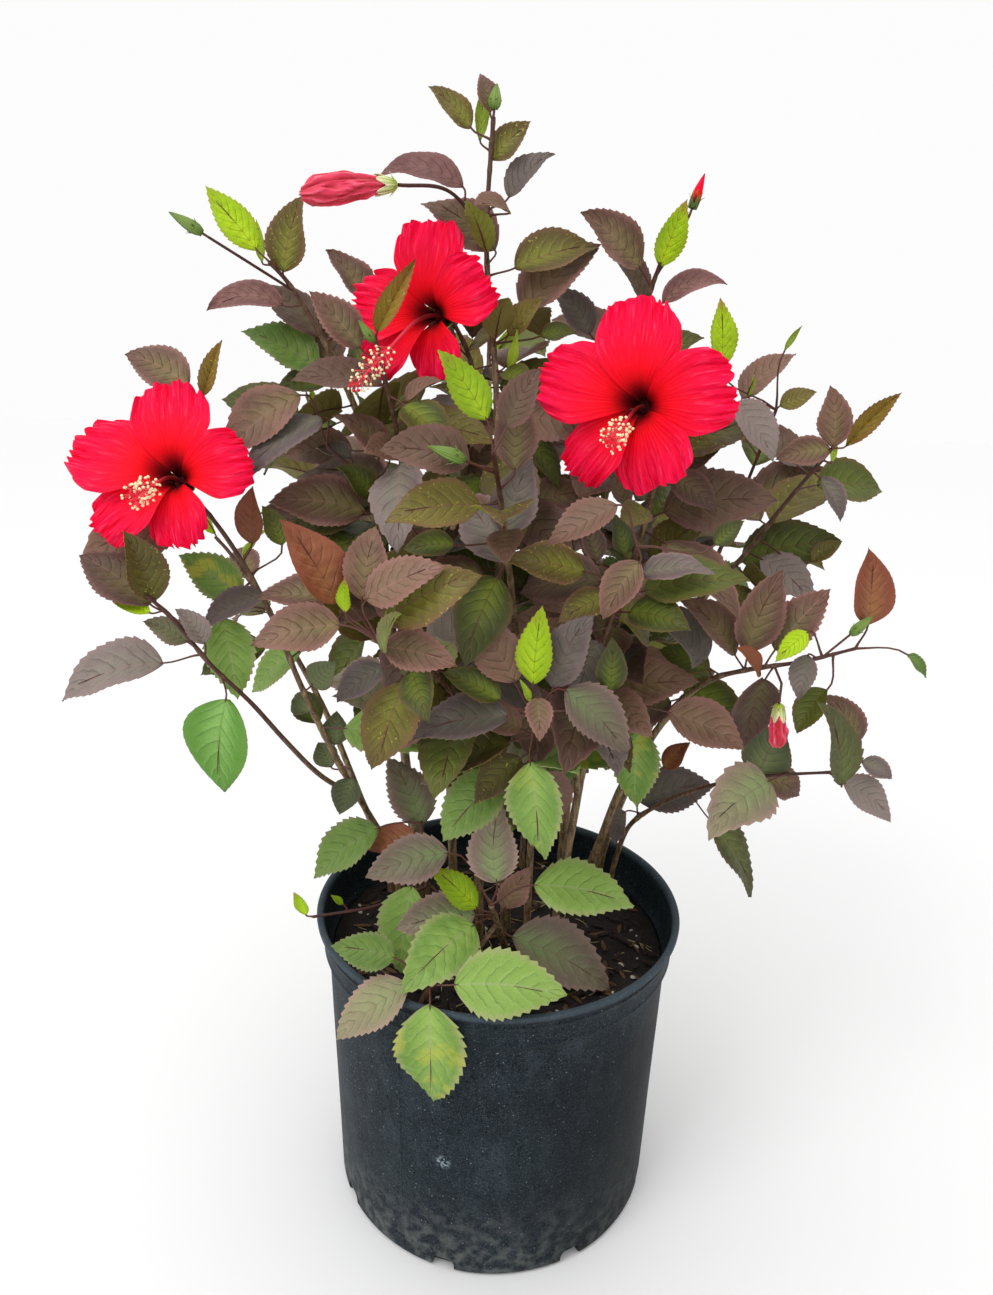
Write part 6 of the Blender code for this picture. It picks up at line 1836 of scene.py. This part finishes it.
def fine_bud(shape, base, axis, length, radius, cup_look, tip_look):
    """Bud with five ribs in a whorl of narrow bracts; its point may show petals."""
    side, up = basis(axis)
    rings, places = [], []
    for share, width in BUD_OUTLINE:
        ring = []
        for turn, way in round_ways(side, up, BUD_SIDES):
            reach = radius * width * (1 + BUD_RIB * math.cos(PETALS * turn + 2 * share))
            ring.append(base + axis * length * share + way * reach)
            places.append((share, turn / (2 * math.pi), 0.0))
        rings.append(ring)
    shape.add(skin(rings), tip_look or cup_look, places)
    for _, out in round_ways(side, up, BUD_BRACTS):
        small_sheet(shape, base + out * radius * 0.5, axis, out, length * 0.42, radius * 0.5, 0.7, cup_look)
    if tip_look:
        for _, out in round_ways(side, up, PETALS):
            foot = base + out * radius * 0.85
            small_sheet(shape, foot, axis, out, length * 0.5, radius * 1.15, 0.05, cup_look)


def fine_canes(paths, leaves, small, looks):
    """One piece for each cane with its shoots, leaves and buds."""
    shapes, curves = {}, {}
    draws = random.Random(LEAF_SEED)
    for name, points, *_ in CANES:
        path, radii = paths[name]
        if isinstance(points[0][0], str):
            path = [nearest_point(curves[points[0][0]], path[0])] + path[1:]
        curve, widths = fine_path(path, radii)
        curves[name] = curve
        grown = leaves[name] + small[name]
        roots = [nearest_point(curve, leaf.root) for leaf in grown]
        shape = shapes.setdefault(cane_node(name), Shape())
        fine_cane(shape, curve, widths, roots, looks["bark"])
        for index, (leaf, root) in enumerate(zip(grown, roots)):
            fine_petiole(shape, leaf, root, looks["petiole"])
            teeth, inner = TEETH_SMALL if leaf.length < SMALL_FROM else TEETH_LARGE, ACROSS
            if index >= len(leaves[name]):
                teeth, inner = INNER_TEETH, INNER_ACROSS
            fine_blade(shape, leaf, looks[leaf.kind], draws, teeth, inner)
    fine_stalks(shapes, curves, paths, looks)
    for name, shape in shapes.items():
        shape.build(name + "_grown", name, "cane_and_leaf")


def fine_stalks(shapes, curves, paths, looks):
    """The buds on their stalks, and the stalk of the hanging spent bloom."""
    for cane, back, axis, length, radius in BUDS:
        axis = Vector(axis).normalized()
        foot = along(paths[cane][0], back)
        end = foot + axis * (BUD_STALK if back else BUD_STALK_SHORT)
        shape = shapes[cane_node(cane)]
        stalk = [nearest_point(curves[cane], foot), end + axis * BUD_STALK_INSIDE]
        shape.add(tube(stalk, [BUD_STALK_RADIUS] * 2, STALK_SIDES), looks["petiole"])
        tip = looks["petal"] if cane == RED_BUD else None
        fine_bud(shape, end, axis, length, radius, looks["calyx"], tip)
    stalk = tube(spent_stalk(paths), [SPENT_STALK_RADIUS] * 3, STALK_SIDES)
    shapes["cane_right_low"].add(stalk, looks["petiole"])


def petal_crown(t, phase, draws):
    """How far a petal reaches at each place across it: a scalloped end with some notches."""
    crown = PETAL_SHOULDER + PETAL_CROWN * (1 - t ** 4)
    scallop = 0.5 * math.pi * CRENATIONS * (t + 0.06 * np.sin(7 * t + phase[1])) + phase[0]
    scallop = np.abs(np.sin(scallop)) ** 0.8 - 0.7
    crown = crown + CRENATION_DEPTH * scallop * (0.6 + 0.4 * np.sin(4 * t + phase[5]))
    crown = crown + PETAL_LEAN * np.sin(3.4 * t + phase[6])
    for _ in range(NOTCHES):
        depth = draws.uniform(*NOTCH_DEPTH)
        crown = crown - depth * np.exp(-((t - draws.uniform(*NOTCH_PLACES)) / NOTCH_WIDTH) ** 2)
    return crown


def petal_spine(bloom, long_share, u):
    """Height, radius and slope of a petal's middle for many shares of its length at once."""
    table = np.linspace(0, 1.06, 64)
    columns = zip(*[bloom.spine(share, long_share) for share in table])
    return [np.interp(u, table, column)[:, :, None] for column in columns]


def petal_lift(rows, columns, phase):
    """How far a petal stands out of its fan: ruffle, frill, rays, cup and turned-back end."""
    lift = RUFFLE * rows ** 3 * np.sin(2 * math.pi * RUFFLES * columns + 1.5 * rows + phase[2])
    frill = 2 * math.pi * FRILLS * columns + 1.2 * np.sin(5 * columns + phase[1]) + phase[3]
    lift = lift + FRILL * np.clip((rows - 0.55) / 0.45, 0, 1) ** 2 * np.sin(frill)
    rays = np.sin(2 * math.pi * PETAL_VEINS * columns + 0.6 * np.sin(9 * rows))
    lift = lift + PETAL_VEIN_DEPTH * rays * rows ** 0.5
    lift = lift + PETAL_CUP * columns ** 2 * rows * (1 - rows)
    turned_back = np.clip((rows - 0.72) / 0.28, 0, 1) ** 2
    return lift - PETAL_REFLEX * turned_back * (0.6 + 0.4 * np.cos(3 * columns + phase[4]))


def fine_petal(shape, bloom, index, look, draws):
    """One petal: a fan with a scalloped, ruffled end and fine rays."""
    turn, long_share, wide_share = bloom.petals[index]
    s = np.linspace(0, 1, PETAL_ROWS) ** 0.9
    t = np.linspace(-1, 1, PETAL_COLUMNS)
    rows, columns = s[:, None], t[None, :]
    phase = [draws.uniform(0, ROUND) for _ in range(8)]
    u = np.outer(s, petal_crown(t, phase, draws))
    width = 0.045 + 0.955 * np.sin(0.5 * math.pi * np.minimum(s / PETAL_WIDEST, 1) ** PETAL_FLARE)
    width = width * (1 - 0.05 * s ** 10)
    v = np.outer(width, t) + PETAL_SKEW * math.sin(phase[7]) * rows ** 2 * (1 - columns ** 2)
    height, radius, slope = petal_spine(bloom, long_share, u)
    radial, axis = np.array(bloom.way(math.radians(turn))), np.array(bloom.axis)
    side = np.cross(axis, radial)
    out = axis * np.sin(slope) - radial * np.cos(slope)
    across = side * math.cos(PETAL_ROLL) + out * math.sin(PETAL_ROLL)
    out = out * math.cos(PETAL_ROLL) - side * math.sin(PETAL_ROLL)
    half = 0.5 * PETAL_WIDTH * bloom.petal * wide_share
    centre = np.array(bloom.base) + axis * height + radial * radius + across * (v * half)[:, :, None]
    centre = centre + out * petal_lift(rows, columns, phase)[:, :, None]
    rise = out * (PETAL_THICK / 2)
    points, faces = closed_sheet(centre - rise, centre + rise)
    places = sheet_places(np.broadcast_to(rows, u.shape), np.broadcast_to(columns, u.shape))
    under_first = places[u.size:] + places[:u.size]
    shape.add((points, [face[::-1] for face in faces]), look, under_first, draws.random())


def ellipsoid(middle, axis, long_radius, radius, rows=5, sides=8):
    """Small round body, longer or shorter along its axis."""
    side, up = basis(axis)
    rings = []
    for i in range(1, rows + 1):
        lean = math.pi * i / (rows + 1)
        foot = middle - axis * long_radius * math.cos(lean)
        rings.append([foot + way * radius * math.sin(lean) for _, way in round_ways(side, up, sides)])
    return skin(rings)


def bent_thread(start, way, bend, length, radius):
    """Thin thread that leaves along way and turns towards bend, with its end and last way."""
    points, way = [start], way.normalized()
    for _ in range(THREAD_STEPS):
        way = (way + bend * THREAD_BEND).normalized()
        points.append(points[-1] + way * length / THREAD_STEPS)
    return tube(points, [radius] * len(points), THREAD_SIDES), points[-1], way


def fine_column(bloom, looks):
    """Staminal column with its filaments, anthers, style branches and stigma pads."""
    shape = Shape()
    draws = random.Random(bloom.name)
    path = column_path(bloom, COLUMN_STEPS)
    shares = [k / COLUMN_STEPS for k in range(COLUMN_STEPS + 1)]
    radii = [COLUMN_RADIUS * (1 - 0.5 * max(0.0, share - 0.15) / 0.85) for share in shares]
    places = [(share, bloom.column * share, 0.0) for share in shares for _ in range(COLUMN_FINE_SIDES)]
    shape.add(tube(path, radii, COLUMN_FINE_SIDES), looks["column"], places)
    for k in range(STAMENS):
        share = STAMENS_FROM + STAMENS_SPAN * (k + draws.random()) / STAMENS
        start = along(path, bloom.column * (1 - share))
        ahead = (along(path, bloom.column * (1 - share) - 0.002) - start).normalized()
        side, up = basis(ahead)
        turn = STAMEN_TURN * k + draws.uniform(-0.3, 0.3)
        way = side * math.cos(turn) + up * math.sin(turn) + ahead * STAMEN_LEAN
        length = draws.uniform(*FILAMENT_LENGTH)
        thread, end, last = bent_thread(start, way, ahead, length, FILAMENT_RADIUS)
        shape.add(thread, looks["filament"])
        lying = last.cross(Vector((draws.uniform(-1, 1), draws.uniform(-1, 1), 1))).normalized()
        shape.add(ellipsoid(end, lying, *ANTHER), looks["anther"], draw=draws.random())
    ahead = (path[-1] - path[-2]).normalized()
    for _, out in round_ways(*basis(ahead), STIGMAS, STIGMA_FIRST):
        way = out * STIGMA_LEAN + ahead
        thread, end, last = bent_thread(path[-1], way, way - ahead, STIGMA_LENGTH, STIGMA_RADIUS)
        shape.add(thread, looks["column"], [(1.0, bloom.column, 0.0)] * len(thread[0]))
        shape.add(ellipsoid(end, last, STIGMA_PAD * 0.75, STIGMA_PAD, 6, 10), looks["stigma"])
    shape.build(bloom.name + "_stamens", bloom.name + "_column", "column")


def fine_corolla(bloom, looks):
    """Five petals round a short tube."""
    shape = Shape()
    draws = random.Random(bloom.name + "_petals")
    heights = (HUB_FROM, (HUB_FROM + HUB_TO) / 2, HUB_TO)
    middle = [bloom.base + bloom.axis * height for height in heights]
    shape.add(tube(middle, [HUB_RADIUS * share for share in HUB_TAPER], HUB_SIDES), looks["petal"])
    for index in range(PETALS):
        fine_petal(shape, bloom, index, looks["petal"], draws)
    shape.build(bloom.name + "_corolla", bloom.name + "_petals", "petal")


def fine_calyx(name, base, axis, scale, cup, tall=1.0, swell=CALYX_SWELL, wide=1.0):
    """Five-lobed cup with a whorl of narrow bracts under it."""
    shape = Shape()
    side, up = basis(axis)
    (point_radius, point_height), (notch_radius, notch_height) = CALYX_OUTSIDE
    rings, places = [], []
    walls = [(share, 1.0) for share in np.linspace(0, 1, 9)]
    walls += [(share, CALYX_INSET) for share in np.linspace(1, 0.12, 7)]
    for share, inset in walls:
        ring = []
        for turn, way in round_ways(side, up, CALYX_SIDES):
            lobe = abs(math.cos(PETALS * turn / 2)) ** 1.4
            top = notch_height + (point_height - notch_height) * lobe
            mouth = (notch_radius + (point_radius - notch_radius) * lobe) * wide
            reach = (CALYX_FOOT_RADIUS + (mouth - CALYX_FOOT_RADIUS) * share ** swell) * inset
            height = (GAP + (top - GAP) * share) * tall + (CALYX_WALL if inset < 1 else 0.0)
            ring.append(base + (way * reach + axis * height) * scale)
            places.append((share, turn / (2 * math.pi), 0.0))
        rings.append(ring)
    shape.add(skin(rings), cup, places)
    for _, out in round_ways(side, up, CALYX_BRACTS, math.pi / CALYX_BRACTS):
        foot = base + out * CALYX_FOOT_RADIUS * scale * 0.9 + axis * 0.0006
        way = (axis + out).normalized()
        small_sheet(shape, foot, way, out, BRACT_LENGTH * scale, BRACT_WIDTH, BRACT_CURL, cup)
    shape.build(name + "_sepals", name + "_calyx", "calyx")


def fine_spent(name, base, axis, length, radius, look):
    """Rolled-up petals of a spent bloom, twisted, furrowed along their length and sagging."""
    shape = Shape()
    side, up = basis(axis)
    start = base + axis * (CALYX_FLOOR * spent_cup(radius) + GAP)
    shares, widths = zip(*SPENT_OUTLINE)
    sag = Vector((0, 0, -SPENT_SAG * length * (1 - abs(axis.z))))
    rings, places = [], []
    for share in [i / (SPENT_ROWS - 1) for i in range(SPENT_ROWS)]:
        width = radius * float(np.interp(share, shares, widths))
        ring = []
        for turn, way in round_ways(side, up, SPENT_SIDES):
            place = Vector((math.cos(turn), math.sin(turn), share * 2.2))
            wander = noise.noise(place * 1.6)
            fold = 0.65 * math.sin(7 * turn + 3.2 * share + 4.5 * wander)
            fold += 0.35 * math.sin(17 * turn - 3 * share + 6 * noise.noise(place * 2.7))
            reach = width * (0.88 + 0.17 * fold * min(share * 3, 1) + 0.24 * wander * min(share * 4, 1))
            ragged = 0.09 * length * wander * max(0.0, share - 0.75) / 0.25
            ring.append(start + axis * (length * share + ragged) + way * reach + sag * share ** 2)
            places.append((share, fold, 0.0))
        rings.append(ring)
    shape.add(skin(rings), look, places)
    shape.build(name + "_rolled", name + "_petals", "spent_petal")


def stepped(radius, height, steps):
    """Points of an outline, as steps out and up from one of its corners."""
    return [(radius + out, height + up) for out, up in steps]


def pot_outline():
    """The pot's outline in full: rounded foot, wall, flared band with beads, lip and inside."""
    shoulder = POT_HEIGHT - BAND_HEIGHT
    wider = BODY_TOP_RADIUS - BASE_RADIUS
    rows = [(BASE_RADIUS - BASE_CHAMFER, 0.0)]
    for k in range(1, FOOT_STEPS + 1):
        turn = math.pi / 2 * k / FOOT_STEPS
        rows.append((BASE_RADIUS - BASE_CHAMFER * (1 - math.sin(turn)), BASE_CHAMFER * (1 - math.cos(turn))))
    rise = shoulder - WALL_SHORT - BASE_CHAMFER
    for share in [k / WALL_STEPS for k in range(1, WALL_STEPS + 1)]:
        rows.append((BASE_RADIUS + wider * share, BASE_CHAMFER + rise * share))
    rows += stepped(BODY_TOP_RADIUS, shoulder, [(0.0008, -0.0012)])
    rows += stepped(BAND_FOOT_RADIUS, shoulder, LOW_BEAD)
    flare = (RIM_RADIUS - BAND_INSET - BAND_FOOT_RADIUS) / (BAND_HEIGHT - BAND_SHORT)
    band = [(flare * (height - LOW_BEAD[-1][1]), height) for height in BAND_ROWS]
    rows += stepped(BAND_FOOT_RADIUS, shoulder, band)
    edge = BAND_FOOT_RADIUS + band[-1][0]
    rows += stepped(edge, shoulder, HIGH_BEAD)
    rows += stepped(RIM_RADIUS, POT_HEIGHT, LIP)
    rows += stepped(edge - WALL, shoulder, [(0.0, 0.0150)])
    rows += stepped(BAND_FOOT_RADIUS - WALL, shoulder, [(0.0, 0.0020), (-0.0010, -0.0012)])
    rows += stepped(BODY_TOP_RADIUS - WALL, shoulder, [(0.0, -INSIDE_SHORT)])
    low = BASE_CHAMFER + WALL
    rise = shoulder - INSIDE_SHORT - BASE_CHAMFER - WALL
    for share in [1 - k / INSIDE_STEPS for k in range(1, INSIDE_STEPS + 1)]:
        rows.append((BASE_RADIUS - WALL + wider * share, low + rise * share))
    return rows + [(BASE_RADIUS - BASE_CHAMFER, WALL)]


def pot_turns():
    """Angles round the pot, closer together at its two mould seams."""
    turns_round = [2 * math.pi * k / POT_FINE_SIDES for k in range(POT_FINE_SIDES)]
    for seam in SEAMS:
        turns_round = [turn for turn in turns_round if abs(turn - seam) > SEAM_CLEAR]
        turns_round += [seam + side * step for step in SEAM_STEPS for side in (-1, 1)]
    return sorted(turns_round)


def fine_pot(look):
    """Pot with a faintly uneven wall, mould seams and drain holes."""
    shape = Shape()
    rings, places = [], []
    for i, (radius, height) in enumerate(pot_outline()):
        ring = []
        for turn in pot_turns():
            reach = radius
            if SEAM_ROWS[0] < i < SEAM_ROWS[1] and any(abs(turn - seam) < SEAM_WIDTH for seam in SEAMS):
                reach += SEAM_HEIGHT
            if 0 < height < POT_HEIGHT - 0.02:
                place = Vector((math.cos(turn) * 2.2, math.sin(turn) * 2.2, height * 16))
                reach += POT_UNEVEN * noise.noise(place)
            ring.append(Vector((reach * math.cos(turn), reach * math.sin(turn), height)))
            places.append((radius, turn, height))
        rings.append(ring)
    shape.add(skin(rings), look, places)
    pot = shape.build("pot_moulded", "pot", "pot_plastic")
    cutter = drain_cutter()
    change = pot.modifiers.new("drains", "BOOLEAN")
    change.operation = "DIFFERENCE"
    change.solver = "EXACT"
    change.object = cutter
    bpy.context.view_layer.update()
    cut_mesh = bpy.data.meshes.new_from_object(pot.evaluated_get(bpy.context.evaluated_depsgraph_get()))
    pot.modifiers.clear()
    pot.data = cut_mesh
    bpy.data.objects.remove(cutter)
    cut_mesh.set_sharp_from_angle(angle=POT_EDGE_ANGLE)


def drain_cutter():
    """Blocks that cut the drain holes through the foot of the pot."""
    verts, faces = [], []
    deep, wide, high = DRAIN_SIZE
    for k in range(DRAIN_HOLES):
        turn = Matrix.Rotation(math.radians(DRAIN_FIRST_ANGLE + 360 / DRAIN_HOLES * k), 3, "Z")
        rings = []
        for x in (BASE_RADIUS - 0.5 * deep, BASE_RADIUS + 0.5 * deep):
            ring = []
            for i in range(DRAIN_SIDES):
                lean = 2 * math.pi * i / DRAIN_SIDES
                y = math.copysign(abs(math.cos(lean)) ** 0.5, math.cos(lean)) * wide / 2
                z = math.copysign(abs(math.sin(lean)) ** 0.5, math.sin(lean)) * high
                ring.append(turn @ Vector((x, y, z)))
            rings.append(ring)
        ring_verts, ring_faces = skin(rings)
        faces += [tuple(i + len(verts) for i in face) for face in ring_faces]
        verts += ring_verts
    mesh = bpy.data.meshes.new("drain_cutter")
    mesh.from_pydata([tuple(v) for v in verts], [], faces)
    cutter = bpy.data.objects.new("drain_cutter", mesh)
    bpy.context.scene.collection.objects.link(cutter)
    return cutter


def soil_surface(x, y):
    """Height of the potting mix's uneven top."""
    lumps = sum(depth * noise.noise(Vector((x, y, layer)) * scale) for depth, layer, scale in SOIL_LUMPS)
    return soil_height(math.hypot(x, y)) - 0.001 + lumps


def fine_soil(looks):
    """Plug of potting mix, lumpy on top and strewn with chips, straws and crumbs."""
    shape = Shape()
    edge = SOIL_TOP - SOIL_EDGE
    wall = pot_inner_radius(edge)
    angles = [2 * math.pi * k / SOIL_FINE_SIDES for k in range(SOIL_FINE_SIDES)]
    ways = [(math.cos(turn), math.sin(turn)) for turn in angles]
    rings = []
    for radius, height in ((BASE_RADIUS - BASE_CHAMFER - 0.001, WALL + GAP),
                           (BASE_RADIUS - WALL - 0.001, BASE_CHAMFER + WALL + GAP),
                           (wall - 0.0008, edge - 0.004)):
        rings.append([Vector((radius * x, radius * y, height)) for x, y in ways])
    for i in range(SOIL_FINE_RINGS):
        radius = (wall - 0.0012) * (1 - i / SOIL_FINE_RINGS)
        places = [(radius * x, radius * y) for x, y in ways]
        rings.append([Vector((x, y, soil_surface(x, y))) for x, y in places])
    shape.add(skin(rings), looks["soil"])
    draws = random.Random(SOIL_SEED)
    for count, length, width, thick, look in SOIL_BITS:
        for _ in range(count):
            reach = SOIL_STREWN * math.sqrt(draws.random())
            turn = draws.uniform(0, 2 * math.pi)
            x, y = reach * math.cos(turn), reach * math.sin(turn)
            size = draws.uniform(0.45, 1.0)
            middle = Vector((x, y, soil_surface(x, y) + thick * 0.4))
            soil_bit(shape, middle, draws, length * size, width * size, thick * size, looks[look])
    shape.build("potting_mix_strewn", "potting_mix", "potting_mix")


def soil_bit(shape, middle, draws, length, width, thick, look):
    """One rough bit of bark, straw or grit lying on the mix."""
    way = heading(draws.uniform(0, 2 * math.pi), draws.uniform(-0.25, 0.25))
    side = way.cross(Vector((draws.uniform(-0.3, 0.3), draws.uniform(-0.3, 0.3), 1))).normalized()
    up = side.cross(way)
    bow = draws.uniform(-0.12, 0.12) * length
    rings = []
    for share, narrow in SOIL_BIT_OUTLINE:
        ring = []
        for k in range(SOIL_BIT_SIDES):
            turn = 2 * math.pi * k / SOIL_BIT_SIDES
            rough = narrow * draws.uniform(0.75, 1.1)
            aside = math.cos(turn) * width / 2 * rough + bow * share * share * 4
            above = up * math.sin(turn) * thick / 2 * rough
            ring.append(middle + way * length * share + side * aside + above)
        rings.append(ring)
    shape.add(skin(rings), look, draw=draws.random())


def ramp(tree, value, low, high, at_low, at_high):
    """A number that runs from one level to another while a value runs from low to high."""
    node = tree.nodes.new("ShaderNodeMapRange")
    tree.links.new(value, node.inputs["Value"])
    for socket, level in zip(("From Min", "From Max", "To Min", "To Max"), (low, high, at_low, at_high)):
        node.inputs[socket].default_value = level
    return node.outputs["Result"]


def floor_and_light():
    """Plain pale floor, white surroundings and a soft lamp."""
    mesh = bpy.data.meshes.new("floor")
    corners = [(x * FLOOR_REACH, y * FLOOR_REACH, 0) for x, y in ((-1, -1), (1, -1), (1, 1), (-1, 1))]
    mesh.from_pydata(corners, [], [(0, 1, 2, 3)])
    floor = bpy.data.objects.new("floor", mesh)
    bpy.context.scene.collection.objects.link(floor)
    look = Look("floor", 1.0, (("Specular IOR Level", 0.0),))
    look.shader.inputs["Base Color"].default_value = (FLOOR_SHADE, FLOOR_SHADE, FLOOR_SHADE, 1.0)
    mesh.materials.append(look.made)
    world = bpy.data.worlds.new("surroundings")
    bpy.context.scene.world = world
    world.use_nodes = True
    tree = world.node_tree
    parts = tree.nodes.new("ShaderNodeSeparateXYZ")
    tree.links.new(tree.nodes.new("ShaderNodeTexCoord").outputs["Generated"], parts.inputs[0])
    strength = tree.nodes.new("ShaderNodeMath")
    strength.operation = "MULTIPLY"
    tree.links.new(ramp(tree, parts.outputs[2], *SKY_RISE), strength.inputs[0])
    tree.links.new(ramp(tree, parts.outputs[0], *SKY_SHADE), strength.inputs[1])
    tree.links.new(strength.outputs[0], tree.nodes["Background"].inputs["Strength"])
    tree.nodes["Background"].inputs["Color"].default_value = (1.0, 1.0, 1.0, 1.0)
    lamp = bpy.data.lights.new("key", "AREA")
    lamp.size = LAMP_SIZE
    lamp.energy = LAMP_POWER
    light = bpy.data.objects.new("key", lamp)
    bpy.context.scene.collection.objects.link(light)
    light.location = LAMP_PLACE
    light.rotation_mode = "QUATERNION"
    light.rotation_quaternion = (LAMP_AIM - LAMP_PLACE).to_track_quat("-Z", "Y")


def camera():
    """The eye that the plant was sighted from."""
    ahead, right, up = eye_frame()
    lens = bpy.data.cameras.new("camera")
    lens.sensor_fit = "VERTICAL"
    lens.sensor_height = SENSOR_HEIGHT
    lens.lens = SENSOR_HEIGHT * PICTURE_FOCAL / PICTURE_HEIGHT
    eye = bpy.data.objects.new("camera", lens)
    bpy.context.scene.collection.objects.link(eye)
    turn = Matrix((right, up, -ahead)).transposed().to_4x4()
    eye.matrix_world = Matrix.Translation(EYE) @ turn
    bpy.context.scene.camera = eye


def main():
    """Camera, stage and every piece of the plant in its pot."""
    bpy.context.scene.view_settings.view_transform = "Standard"
    camera()
    floor_and_light()
    looks = make_looks()
    paths, blooms, leaves, space = plan()
    small = filler_leaves(space, paths, blooms, leaves)
    fine_pot(pot_look())
    fine_soil(looks)
    fine_canes(paths, leaves, small, looks)
    for bloom in blooms:
        fine_corolla(bloom, looks)
        fine_column(bloom, looks)
        fine_calyx(bloom.name, bloom.base, bloom.axis, 1.0, looks["calyx"])
    for name, cane, axis, length, radius in SPENT:
        axis = Vector(axis).normalized()
        base = spent_base(paths, name, cane, axis)
        fine_spent(name, base, axis, length, radius, looks["spent"])
        fine_calyx(name, base, axis, spent_cup(radius), looks["spent_calyx"], *SPENT_SLEEVES[name])


main()
